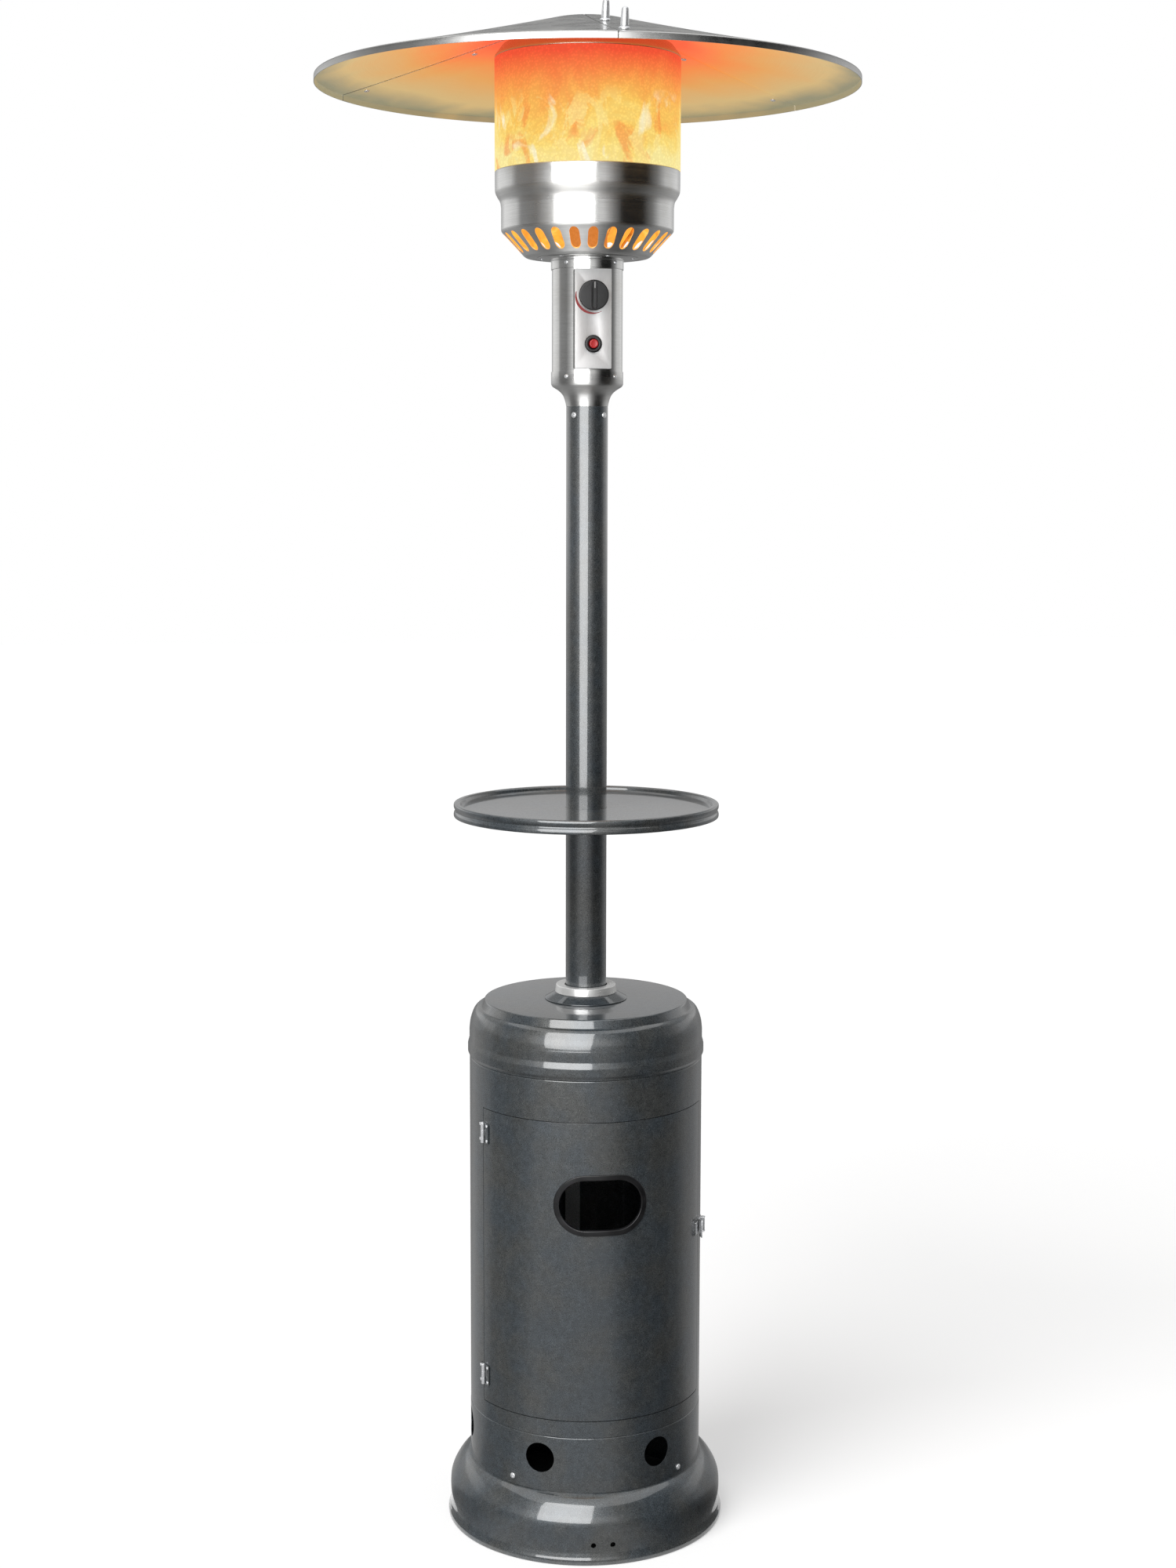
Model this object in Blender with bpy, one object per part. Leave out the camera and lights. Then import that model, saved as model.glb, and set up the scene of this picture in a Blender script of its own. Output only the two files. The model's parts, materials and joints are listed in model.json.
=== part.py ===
"""Propane patio heater, modelled as an assembly of separate pieces.

Metres, +Z up. The front faces -Y and the origin is the middle of the underside.
An azimuth runs from the front, positive towards +X.
"""

from math import atan2, cos, degrees, pi, radians, sin, sqrt

import bmesh
import bpy
from mathutils import Matrix, Vector

# Counts and general clearances
COARSE = 8
SCREW_SIDES = 6
SCREW_CROWN_SHARE = 0.75
SMALL_STEPS = 12
TUBE_STEPS = 20
DRUM_STEPS = 24
BOWL_STEPS = 28
TOUCH = 0.0003
OVERRUN = 0.01

# Base: skirt, ballast plate
BASE_FOOT_RADIUS = 0.219
BASE_HEIGHT = 0.100
BASE_SHEET = 0.0015
BASE_SHOULDER = 0.0013
BASE_NECK_HEIGHT = 0.026
BASE_FLANGE = 0.011
BASE_HOLE_RADIUS = 0.004
BASE_HOLE_HEIGHT = 0.031
BASE_HOLE_AZIMUTH = 4.0
FLOOR_THICKNESS = 0.006
FLOOR_LAP = 0.006
# Share of the flare's width outward, share of the base height
BASE_FLARE_SHARES = (
    (0.886, 0.240), (0.886, 0.530), (0.800, 0.680), (0.560, 0.835), (0.300, 0.940), (0.080, 0.990),
)
BASE_ROLL_HEIGHT = 0.008
BASE_ROLL_RADIUS = 0.003

# Housing drum: vented ring, wall with door opening, cap
DRUM_RADIUS = 0.1824
DRUM_SHEET = 0.0012
DRUM_PROUD = 0.0003
DRUM_NECK_HEIGHT = 0.0165
DRUM_NECK_STEP = 0.0015
RING_HEIGHT = 0.0882
VENT_RADIUS = 0.0235
VENT_RISE = 0.0520
VENT_AZIMUTHS = (30.0, 90.0, 150.0, 210.0, 270.0, 330.0)
DOOR_SILL = 0.0259
DOOR_HEIGHT = 0.4687
DOOR_LINTEL = 0.0648
DOOR_HALF_ANGLE = 67.5
DOOR_SEAM = 0.0005
CAP_HEIGHT = 0.0880
CAP_DISC_RADIUS = 0.158
CAP_BEVEL_WIDTH = 0.0065
CAP_BEVEL_DROP = 0.0135
CAP_SHOULDER_DROP = 0.046
CAP_BEAD_PROUD = 0.0024
CAP_BEAD_HEIGHT = 0.0240
CAP_BEAD_ROLL = 0.0060
# Share of the shoulder's width outward, share of its drop upward
CAP_SHOULDER_SHARES = ((1.00, 0.283), (0.90, 0.587), (0.62, 0.900), (0.30, 1.033), (0.11, 1.033))

# Door hand hole and its trim
HAND_HOLE_WIDTH = 0.126
HAND_HOLE_HEIGHT = 0.078
HAND_HOLE_RISE = 0.3404
TRIM_THROAT = 0.0030
TRIM_FLANGE = 0.0085
TRIM_THICKNESS = 0.0015
TRIM_DEPTH = 0.0040
HAND_HOLE_END_STEPS = 8

# Door hinges
HINGE_AZIMUTH = -66.5
HINGE_HEIGHT = 0.032
HINGE_RISES = (0.0430, 0.4300)
HINGE_LEAF_WIDTH = 0.0145
HINGE_LEAF_SHEET = 0.0010
HINGE_KNUCKLE_RADIUS = 0.0029
HINGE_PIN_RADIUS = 0.0014
HINGE_PIN_CLEARANCE = 0.0003
HINGE_KNUCKLE_GAP = 0.0004
HINGE_SCREW_OFFSET = 0.0098
HINGE_SCREW_PITCH = 0.0235
HINGE_SCREW_HEAD_RADIUS = 0.0027
HINGE_SCREW_HEAD = 0.0016
HINGE_SCREW_RADIUS = 0.0013
HINGE_SCREW_LENGTH = 0.0040
HINGE_SCREW_CLEARANCE = 0.0004
HINGE_PIN_HEAD_RADIUS = 0.0022
HINGE_PIN_HEAD = 0.0010

# Door latch
LATCH_AZIMUTH = 72.0
LATCH_RISE = 0.2660
LATCH_PLATE_SHEET = 0.0012
LATCH_PLATE_BACK = 0.0100
LATCH_PLATE_FRONT = 0.0080
LATCH_PLATE_HEIGHT = 0.0240
LATCH_EAR = 0.0020
LATCH_EAR_LENGTH = 0.0080
LATCH_PIN_STANDOFF = 0.0060
LATCH_PIN_RADIUS = 0.0012
LATCH_PIN_CLEARANCE = 0.0003
LATCH_KNUCKLE_RADIUS = 0.0027
LATCH_NOSE_LAP = 0.0052
LATCH_NOSE_LIFT = 0.0030
LATCH_LEVER_SHEET = 0.0015
LATCH_GRIP_HEIGHT = 0.0280
LATCH_GRIP_LENGTH = 0.0085
LATCH_GRIP_RISE = 0.0045
LATCH_CATCH_SHEET = 0.0010
LATCH_CATCH_WIDTH = 0.0110
LATCH_CATCH_HEIGHT = 0.0200
LATCH_CATCH_SETBACK = 0.0015

# Gas cylinder bay supports
CYLINDER_RADIUS = 0.155
CYLINDER_CLEARANCE = 0.005
LEG_AZIMUTHS = (105.0, 180.0, 255.0)
LEG_SHEET = 0.004
LEG_WIDTH = 0.024
LEG_FOOT = 0.0120
LEG_BEND_DROP = 0.0250
LEG_TOP_INSET = 0.0140
LEG_TOP_LENGTH = 0.0380
LEG_PLATE_MARGIN = 0.008
LEG_PLATE_THICKNESS = 0.004
SPIGOT_HEIGHT = 0.065
SPIGOT_SHEET = 0.0015
BOLT_RADIUS = 0.0030
BOLT_CLEARANCE = 0.0004
BOLT_HEAD_RADIUS = 0.0052
BOLT_HEAD = 0.0040
BOLT_FLOOR_LEFT = 0.0012
FLANGE_BOLT_RING = 0.0105
FLANGE_BOLT_DEPTH = 0.0050
FLANGE_BOLT_AZIMUTHS = (45.0, 135.0, 225.0, 315.0)

# Post, its foot and its trim collar
POST_RADIUS = 0.0317
POST_SHEET = 0.0015
POST_LENGTH = 0.9164
FOOT_REACH = 0.0323
FOOT_EDGE = 0.0012
FOOT_HEIGHT = 0.0100
FOOT_TOP_REACH = 0.0163
COLLAR_HEIGHT = 0.0125
COLLAR_TAPER = 0.0013
COLLAR_TOP_DROP = 0.0010
COLLAR_MOUTH = 0.0015

# Table
TABLE_RADIUS = 0.2058
TABLE_RISE = 0.2884
TABLE_DEPTH = 0.0214
TABLE_SHEET = 0.0012
TABLE_RIM_WIDTH = 0.0100
TABLE_RECESS = 0.0080
TABLE_GROOVE = 0.0029
TABLE_BEAD_ROLL = 0.0023
TABLE_LIP = 0.0060
TABLE_BEAD_HEIGHT = 0.0090
HUB_FLANGE = 0.0150
HUB_FLANGE_THICKNESS = 0.0030
HUB_SLEEVE_SHEET = 0.0040
HUB_SLEEVE_HEIGHT = 0.0300
SET_SCREW_RADIUS = 0.0025
SET_SCREW_HEAD_RADIUS = 0.0045
SET_SCREW_HEAD = 0.0030
SET_SCREW_AZIMUTHS = (60.0, 180.0, 300.0)

# Pan-head screws of the base ring and the post
PAN_HEAD_RADIUS = 0.0048
PAN_HEAD = 0.0026
PAN_RADIUS = 0.0021
PAN_CLEARANCE = 0.0004
PAN_LENGTH = 0.0055
CORNER_AZIMUTHS = (45.0, 135.0, 225.0, 315.0)
BASE_SCREW_RISE = 0.0130
POST_SCREW_DROP = 0.0132

# Control case
CASE_RADIUS = 0.0536
CASE_SHEET = 0.0010
CASE_HEIGHT = 0.1520
SLEEVE_SHEET = 0.0009
SLEEVE_HEIGHT = 0.0180
UPPER_SLEEVE_HEIGHT = 0.0165
SLEEVE_LAP = 0.0155
CASE_SEAM = 0.0004
TAPER_HEIGHT = 0.0335
ADAPTER_SPIGOT = 0.0380
# Share of the way from post radius out to sleeve radius, share of the taper height
TAPER_SHARES = ((0.090, 0.27), (0.236, 0.51), (0.500, 0.70), (0.900, 0.88))
CASE_SCREW_AZIMUTHS = (42.5, 137.5, 222.5, 317.5)
CASE_SCREW_DROP = 0.0080
CASE_SCREW_RISE = 0.0085
CASE_SCREW_HEAD_RADIUS = 0.0033
CASE_SCREW_HEAD = 0.0018
CASE_SCREW_RADIUS = 0.0014
CASE_SCREW_LENGTH = 0.0048
CASE_SCREW_CLEARANCE = 0.0004
BEZEL_WIDTH = 0.0550
BEZEL_HEIGHT = 0.1465
BEZEL_FRONT = 0.0660
BEZEL_SHEET = 0.0010
PLATE_THICKNESS = 0.0020

# Knob, valve and igniter
KNOB_RISE = 0.1100
KNOB_RADIUS = 0.0223
KNOB_DISC = 0.0050
KNOB_TAPER = 0.0010
KNOB_GRIP = 0.0088
KNOB_GRIP_WIDTH = 0.0085
KNOB_GRIP_MARGIN = 0.0018
KNOB_TRAVEL = 0.0030
KNOB_REST_GAP = 0.0007
STEM_RADIUS = 0.0040
STEM_CLEARANCE = 0.0003
STEM_SEAT = 0.0080
STEM_HOLE_CLEARANCE = 0.0015
VALVE_WIDTH = 0.0300
VALVE_HEIGHT = 0.0340
VALVE_DEPTH = 0.0340
VALVE_BORE_RADIUS = 0.0080
VALVE_BORE_DEPTH = 0.0150
PLUNGER_WALL = 0.0032
PLUNGER_LENGTH = 0.0075
PLUNGER_SETBACK = 0.0010
STEM_SLACK = 0.0040
IGNITER_RISE = 0.0390
IGNITER_FLANGE_RADIUS = 0.0130
IGNITER_FLANGE = 0.0030
IGNITER_BARREL_RADIUS = 0.0105
IGNITER_LENGTH = 0.0290
IGNITER_BORE_SPARE = 0.0015
IGNITER_CLEARANCE = 0.0004
BUTTON_RADIUS = 0.0065
BUTTON_PROUD = 0.0055
BUTTON_TRAVEL = 0.0050
BUTTON_LENGTH = 0.0225
BUTTON_CROWN = 0.0012
TILT_SWITCH_SIZE = (0.0200, 0.0180, 0.0300)
TILT_SWITCH_RISE = 0.0480

# Tubes and leads inside
GAS_LINE_RADIUS = 0.0050
GAS_LINE_HANG = 0.0450
INLET_RADIUS = 0.0095
INLET_LENGTH = 0.0260
INLET_NUT_RADIUS = 0.0115
INLET_NUT_LENGTH = 0.0100
VALVE_LINE_INSET = 0.0225
# Share of the valve line's depth outward, share of it below the valve
LINE_BEND_SHARES = ((0.0, 1.49), (0.16, 0.98), (0.78, 0.50), (1.0, 0.20))
MAIN_TUBE_OFFSET = 0.0060
MAIN_TUBE_RADIUS = 0.0040
JET_RADIUS = 0.0075
JET_LENGTH = 0.0260
PILOT_TUBE_RADIUS = 0.0020
LEAD_RADIUS = 0.0014
LEAD_RUN = 0.0040
LEAD_HOLE_CLEARANCE = 0.0012
PILOT_AZIMUTH = 112.0
THERMOCOUPLE_AZIMUTH = 128.0
SPARK_AZIMUTH = 144.0
PILOT_RING = 0.0950
PILOT_RISE = 0.0260
LEAD_TIP_LAP = 0.0060
PILOT_NOZZLE_RADIUS = 0.0045
THERMOCOUPLE_TIP_RADIUS = 0.0026
SPARK_CERAMIC_RADIUS = 0.0034
FLOOR_HOLE_RING = 0.0445
PILOT_HOLE_AZIMUTH = 90.0
THERMOCOUPLE_HOLE_AZIMUTH = 120.0
SPARK_HOLE_AZIMUTH = 150.0
PILOT_OFFSET = 0.0090
THERMOCOUPLE_OFFSET = 0.0060
# Azimuth, share of the case radius, share of the case height
PILOT_ROUTE_SHARES = ((16.7, 0.78, 0.90), (64.7, 0.78, 0.985))
THERMOCOUPLE_ROUTE_SHARES = ((39.8, 0.44, 0.757), (108.4, 0.71, 0.921))
SPARK_ROUTE_SHARES = ((32.5, 0.49, 0.296), (90.0, 0.60, 0.428), (129.8, 0.73, 0.625), (148.4, 0.85, 0.888))

# Burner bowl
NECK_SHEET = 0.0009
NECK_FLANGE_RADIUS = 0.0760
NECK_BEAD = 0.0007
NECK_BEAD_SHARE = 0.75
NECK_SCREW_RING = 0.0690
NECK_SCREW_AZIMUTHS = (18.0, 78.0, 138.0, 198.0, 258.0, 318.0)
BOWL_SHEET = 0.0012
BOWL_MOUTH_RADIUS = 0.0300
BOWL_RADIUS = 0.1395
BOWL_STEP_WIDTH = 0.0093
BOWL_CONE_WIDTH = 0.0367
BOWL_CONE_HEIGHT = 0.0387
BOWL_CONE_ROLL = 0.0045
BOWL_BAND_HEIGHT = 0.0345
BOWL_STEP_HEIGHT = 0.0320
BOWL_WALL_HEIGHT = 0.0216
BOWL_LIP = 0.0055
# Share of the way from band radius out to full radius, share of the step's height
BOWL_STEP_SHARES = ((0.16, 0.28), (0.60, 0.50), (0.94, 0.72))
SLOT_COUNT = 27
SLOT_AZIMUTH = -3.5
SLOT_WIDTH = 0.0150
SLOT_SETBACK = 0.0037
SLOT_LENGTH = 0.0275
SLOT_END_STEPS = 2
BURNER_FOOT_RADIUS = 0.0380
BURNER_FOOT = 0.0030
BURNER_BODY_RADIUS = 0.0300
BURNER_BODY_HEIGHT = 0.0600
BURNER_HEAD_RADIUS = 0.0700
BURNER_HEAD_FLARE = 0.0150
BURNER_HEAD_HEIGHT = 0.0230
BURNER_HEAD_DOME = 0.0040
BURNER_BORE_RADIUS = 0.0140
BURNER_BORE_DEPTH = 0.0600
BURNER_PLATE_SHEET = 0.0012
BURNER_PLATE_CLEARANCE = 0.0020
BURNER_PLATE_DROP = 0.0205

# Emitter
EMITTER_HEIGHT = 0.1640
EMITTER_SHEET = 0.0012
EMITTER_CAP_SHEET = 0.0012
EMITTER_CAP_RIM = 0.0030
EMITTER_CAP_HEIGHT = 0.0196
EMITTER_CAP_TAPER = 0.0125
EMITTER_CAP_ROLL = 0.0020
EMITTER_CAP_SKIRT = 0.0080

# Hood
HOOD_RADIUS = 0.408
HOOD_LIP = 0.0098
HOOD_LIP_ROLL = 0.0012
HOOD_RISE = 0.0855
HOOD_BOW = 0.0015
HOOD_SHEET = 0.0010
HOOD_FLAT_RADIUS = 0.0550
HOOD_EYE_RADIUS = 0.0180
HOOD_SEAM_AZIMUTHS = (0.0, 120.0, 240.0)
HOOD_OVERLAP = 0.0250
HOOD_JOGGLE = 0.0020
HOOD_PANEL_STEPS = 10
HOOD_PROFILE_SHARES = (0.25, 0.5, 0.75)
SPACER_HEIGHT = 0.0318
SPACER_RADIUS = 0.0060
SPACER_RING = 0.0420
SPACER_AZIMUTHS = (60.0, 180.0, 300.0)
HOOD_PLATE_MARGIN = 0.0050
HOOD_PLATE_SHEET = 0.0013
HOOD_SCREW_RADIUS = 0.0018
HOOD_SCREW_HEAD_RADIUS = 0.0048
HOOD_SCREW_HEAD = 0.0008
HOOD_SCREW_CLEARANCE = 0.0004
HOOD_BOLT_RING_SHARES = (0.4583, 0.9118)
HOOD_BOLT_RADIUS = 0.0021
HOOD_BOLT_HEAD_RADIUS = 0.0048
HOOD_BOLT_HEAD = 0.0022
HOOD_BOLT_CLEARANCE = 0.0005
CAP_NUT_HEIGHT = 0.0290
CAP_NUT_RADIUS = 0.0060
CAP_NUT_FOOT_RADIUS = 0.0078
CAP_NUT_FOOT = 0.0040
CAP_NUT_TIP = 0.0060
CAP_NUT_TIP_SHARE = 0.7

# Heights that follow from stacking the pieces
RING_BOTTOM = BASE_HEIGHT + TOUCH
RING_TOP = RING_BOTTOM + RING_HEIGHT
WALL_BOTTOM = RING_TOP + TOUCH
DOOR_BOTTOM = WALL_BOTTOM + DOOR_SILL
DOOR_TOP = DOOR_BOTTOM + DOOR_HEIGHT
WALL_TOP = DOOR_TOP + DOOR_LINTEL
CAP_BOTTOM = WALL_TOP + TOUCH
CAP_TOP = CAP_BOTTOM + CAP_HEIGHT
LEG_PLATE_TOP = CAP_TOP - DRUM_SHEET - TOUCH
LEG_PLATE_BOTTOM = LEG_PLATE_TOP - LEG_PLATE_THICKNESS
LEG_TOP = LEG_PLATE_TOP - LEG_PLATE_THICKNESS / 2
POST_BOTTOM = CAP_TOP + TOUCH
POST_TOP = POST_BOTTOM + POST_LENGTH
FOOT_TOP = POST_BOTTOM + FOOT_HEIGHT
TABLE_BOTTOM = CAP_TOP + TABLE_RISE
TABLE_TOP = TABLE_BOTTOM + TABLE_DEPTH
TRAY_TOP = TABLE_TOP - TABLE_RECESS
TAPER_BOTTOM = POST_TOP + TOUCH
SLEEVE_BOTTOM = TAPER_BOTTOM + TAPER_HEIGHT
CASE_BOTTOM = SLEEVE_BOTTOM + SLEEVE_HEIGHT
CASE_TOP = CASE_BOTTOM + CASE_HEIGHT
NECK_TOP = CASE_TOP + UPPER_SLEEVE_HEIGHT
BOWL_BOTTOM = NECK_TOP + NECK_SHEET + TOUCH
BOWL_FLOOR_TOP = BOWL_BOTTOM + BOWL_SHEET
BOWL_TOP = BOWL_BOTTOM + BOWL_CONE_HEIGHT + BOWL_BAND_HEIGHT + BOWL_STEP_HEIGHT + BOWL_WALL_HEIGHT
BURNER_PLATE_TOP = BOWL_TOP - BURNER_PLATE_DROP
EMITTER_BOTTOM = BOWL_TOP + TOUCH
EMITTER_TOP = EMITTER_BOTTOM + EMITTER_HEIGHT
EMITTER_CAP_BOTTOM = EMITTER_TOP + TOUCH
EMITTER_CAP_TOP = EMITTER_CAP_BOTTOM + EMITTER_CAP_HEIGHT
SPACER_BOTTOM = EMITTER_CAP_TOP + TOUCH
SPACER_TOP = SPACER_BOTTOM + SPACER_HEIGHT
HOOD_PLATE_BOTTOM = SPACER_TOP + TOUCH
HOOD_PLATE_TOP = HOOD_PLATE_BOTTOM + HOOD_PLATE_SHEET
HOOD_STEP = HOOD_SHEET + TOUCH
HOOD_TOP = HOOD_PLATE_TOP + TOUCH + HOOD_SHEET + HOOD_STEP

# Radii that follow from how pieces nest
RING_RADIUS = DRUM_RADIUS + DRUM_PROUD
RING_INNER = RING_RADIUS - DRUM_SHEET
BASE_NECK_RADIUS = RING_INNER - TOUCH
BASE_SHOULDER_RADIUS = RING_RADIUS + BASE_SHOULDER
RING_NECK_RADIUS = DRUM_RADIUS - DRUM_SHEET - TOUCH
WALL_NECK_RADIUS = RING_INNER - TOUCH
LEG_INNER_RADIUS = CYLINDER_RADIUS + CYLINDER_CLEARANCE
LEG_OUTER_RADIUS = LEG_INNER_RADIUS + LEG_SHEET
LEG_FOOT_RADIUS = LEG_OUTER_RADIUS + LEG_FOOT
LEG_TOP_OUTER_RADIUS = LEG_OUTER_RADIUS - LEG_TOP_INSET
LEG_TOP_INNER_RADIUS = LEG_TOP_OUTER_RADIUS - LEG_TOP_LENGTH
LEG_PLATE_RADIUS = LEG_TOP_OUTER_RADIUS - LEG_PLATE_MARGIN
POST_INNER = POST_RADIUS - POST_SHEET
SPIGOT_RADIUS = POST_INNER - TOUCH
FOOT_BORE_RADIUS = POST_RADIUS + TOUCH
FLANGE_BOLT_RADIUS = POST_RADIUS + FLANGE_BOLT_RING
HUB_BORE_RADIUS = POST_RADIUS + TOUCH
HUB_SLEEVE_RADIUS = HUB_BORE_RADIUS + HUB_SLEEVE_SHEET
SLEEVE_INNER = CASE_RADIUS + TOUCH
SLEEVE_RADIUS = SLEEVE_INNER + SLEEVE_SHEET
STEM_BORE_RADIUS = STEM_RADIUS + STEM_CLEARANCE
PLATE_BACK = BEZEL_FRONT + TOUCH
PLATE_FRONT = PLATE_BACK + PLATE_THICKNESS
KNOB_BACK = PLATE_FRONT + KNOB_TRAVEL + KNOB_REST_GAP
KNOB_HEIGHT = CASE_BOTTOM + KNOB_RISE
IGNITER_HEIGHT = CASE_BOTTOM + IGNITER_RISE
IGNITER_FRONT = PLATE_FRONT + TOUCH + IGNITER_FLANGE
IGNITER_BORE_DEPTH = BUTTON_LENGTH - BUTTON_PROUD + BUTTON_TRAVEL + IGNITER_BORE_SPARE
VALVE_FRONT = BEZEL_FRONT - BEZEL_SHEET - TOUCH
VALVE_BACK = VALVE_FRONT - VALVE_DEPTH
VALVE_LINE_Y = -(VALVE_FRONT - VALVE_LINE_INSET)
VALVE_TOP = KNOB_HEIGHT + VALVE_HEIGHT / 2
VALVE_BOTTOM = KNOB_HEIGHT - VALVE_HEIGHT / 2
BOWL_BAND_RADIUS = BOWL_RADIUS - BOWL_STEP_WIDTH
BOWL_FLOOR_RADIUS = BOWL_BAND_RADIUS - BOWL_CONE_WIDTH
SLOT_OUTER_RADIUS = BOWL_BAND_RADIUS - SLOT_SETBACK


def clear_scene():
    for leftover in list(bpy.data.objects):
        bpy.data.objects.remove(leftover)


def surface(name, color, metallic, roughness):
    material = bpy.data.materials.new(name)
    material.use_nodes = True
    shader = material.node_tree.nodes["Principled BSDF"]
    shader.inputs["Base Color"].default_value = (*color, 1.0)
    shader.inputs["Metallic"].default_value = metallic
    shader.inputs["Roughness"].default_value = roughness
    return material


def paint(name):
    return surface(name, (0.075, 0.082, 0.088), 0.35, 0.32)


def steel(name):
    return surface(name, (0.62, 0.62, 0.61), 1.0, 0.28)


def polished(name):
    return surface(name, (0.80, 0.80, 0.80), 1.0, 0.12)


def zinc(name):
    return surface(name, (0.70, 0.71, 0.72), 1.0, 0.30)


def brass(name):
    return surface(name, (0.72, 0.55, 0.26), 1.0, 0.35)


def plastic(name, color):
    return surface(name, color, 0.0, 0.40)


def facing(azimuth, radius, height):
    """A frame on the drum: X along the wall, Y up, Z outward."""
    angle = radians(azimuth)
    along = Vector((cos(angle), sin(angle), 0.0))
    up = Vector((0.0, 0.0, 1.0))
    outward = Vector((sin(angle), -cos(angle), 0.0))
    frame = Matrix((along, up, outward)).transposed().to_4x4()
    frame.translation = outward * radius + up * height
    return frame


def around(azimuth, radius, height):
    return facing(azimuth, radius, height).translation


def standing(azimuth, radius):
    """A frame in line with the world whose origin is at an azimuth and radius."""
    return Matrix.Translation(around(azimuth, radius, 0.0))


def inset(outline, distance):
    """The profile moved to the left of its direction by a distance."""
    points = [Vector(point) for point in outline]
    normals = []
    for start, end in zip(points[:-1], points[1:]):
        step = (end - start).normalized()
        normals.append(Vector((-step.y, step.x)))
    moved = []
    for index, point in enumerate(points):
        before = normals[max(index - 1, 0)]
        after = normals[min(index, len(normals) - 1)]
        middle = (before + after).normalized()
        moved.append(tuple(point + middle * (distance / middle.dot(after))))
    return moved


def skin(outline, thickness):
    """Closes a profile into sheet of one thickness, on the left of its direction."""
    return list(outline) + list(reversed(inset(outline, thickness)))


def close(shape):
    bmesh.ops.remove_doubles(shape, verts=shape.verts, dist=TOUCH / 100)
    on_axis = [edge for edge in shape.edges if not edge.link_faces]
    bmesh.ops.delete(shape, geom=on_axis, context="EDGES")
    bmesh.ops.recalc_face_normals(shape, faces=shape.faces)


def turn(shape, outline, steps, place=Matrix()):
    """Turns a closed outline of (radius, height) a full turn about Z."""
    piece = bmesh.new()
    verts = [piece.verts.new((0.0, -radius, height)) for radius, height in outline]
    for first, second in zip(verts, verts[1:] + verts[:1]):
        piece.edges.new((first, second))
    bmesh.ops.spin(
        piece, geom=piece.verts[:] + piece.edges[:], cent=(0.0, 0.0, 0.0), axis=(0.0, 0.0, 1.0),
        angle=2 * pi, steps=steps, use_merge=True,
    )
    close(piece)
    add_to(shape, piece, place)


def turn_part(shape, outline, steps, start, end):
    """Turns a closed outline from one azimuth to another and closes its two ends."""
    angles = [radians(start + (end - start) * step / steps) for step in range(steps + 1)]
    rings = [[(r * sin(angle), -r * cos(angle), z) for r, z in outline] for angle in angles]
    loft(shape, rings)


def loft(shape, rings):
    """Joins matching rings of points into one closed solid."""
    piece = bmesh.new()
    loops = [[piece.verts.new(point) for point in ring] for ring in rings]
    for lower, upper in zip(loops[:-1], loops[1:]):
        for index in range(len(lower)):
            after = (index + 1) % len(lower)
            piece.faces.new((lower[index], lower[after], upper[after], upper[index]))
    piece.faces.new(loops[0])
    piece.faces.new(loops[-1])
    bmesh.ops.recalc_face_normals(piece, faces=piece.faces)
    add_to(shape, piece, Matrix())


def slab(shape, outline, bottom, top, place=Matrix()):
    """Extrudes a flat outline of (x, y) from one height to another."""
    piece = bmesh.new()
    face = piece.faces.new([piece.verts.new((x, y, bottom)) for x, y in outline])
    result = bmesh.ops.extrude_face_region(piece, geom=[face])
    raised = [item for item in result["geom"] if isinstance(item, bmesh.types.BMVert)]
    bmesh.ops.translate(piece, verts=raised, vec=(0.0, 0.0, top - bottom))
    bmesh.ops.recalc_face_normals(piece, faces=piece.faces)
    add_to(shape, piece, place)


def block(shape, low, high, place=Matrix()):
    outline = [(low[0], low[1]), (high[0], low[1]), (high[0], high[1]), (low[0], high[1])]
    slab(shape, outline, low[2], high[2], place)


def rod(shape, radius, bottom, top, steps, place=Matrix()):
    outline = [(radius, bottom), (radius, top), (0.0, top), (0.0, bottom)]
    turn(shape, outline, steps, place)


def add_to(shape, piece, place):
    """Copies a piece into a shape, placed by a matrix."""
    bmesh.ops.transform(piece, matrix=place, verts=piece.verts)
    mesh = bpy.data.meshes.new("piece")
    piece.to_mesh(mesh)
    piece.free()
    shape.from_mesh(mesh)
    bpy.data.meshes.remove(mesh)


def screw(shape, place, head_radius, head, radius, length, sides=SCREW_SIDES):
    """A domed screw whose head sits on the frame's plane and points along its Z."""
    crown = head_radius * SCREW_CROWN_SHARE
    outline = [(0.0, -length), (radius, -length), (radius, 0.0), (head_radius, 0.0), (crown, head), (0.0, head)]
    turn(shape, outline, sides, place)


def pivot(name, location):
    empty = bpy.data.objects.new(name, None)
    empty.location = location
    bpy.context.collection.objects.link(empty)
    return empty


def finish(name, shape, material, carrier=None):
    """Makes the named object from a shape, about its carrier's origin if it has one."""
    if carrier:
        bmesh.ops.translate(shape, verts=shape.verts, vec=-carrier.location)
    mesh = bpy.data.meshes.new(name)
    shape.to_mesh(mesh)
    shape.free()
    mesh.shade_smooth()
    mesh.set_sharp_from_angle(angle=radians(35.0))
    mesh.materials.append(material)
    result = bpy.data.objects.new(name, mesh)
    result.parent = carrier
    bpy.context.collection.objects.link(result)
    return result


def tool(name, shape):
    """A hidden solid that cuts or joins other pieces."""
    mesh = bpy.data.meshes.new(name)
    shape.to_mesh(mesh)
    shape.free()
    result = bpy.data.objects.new(name, mesh)
    result.hide_render = True
    result.display_type = "WIRE"
    bpy.context.collection.objects.link(result)
    return result


def combine(target, helper, operation):
    modifier = target.modifiers.new(helper.name, "BOOLEAN")
    modifier.operation = operation
    modifier.solver = "EXACT"
    modifier.object = helper


def cut(helper, *targets):
    for target in targets:
        combine(target, helper, "DIFFERENCE")


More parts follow.
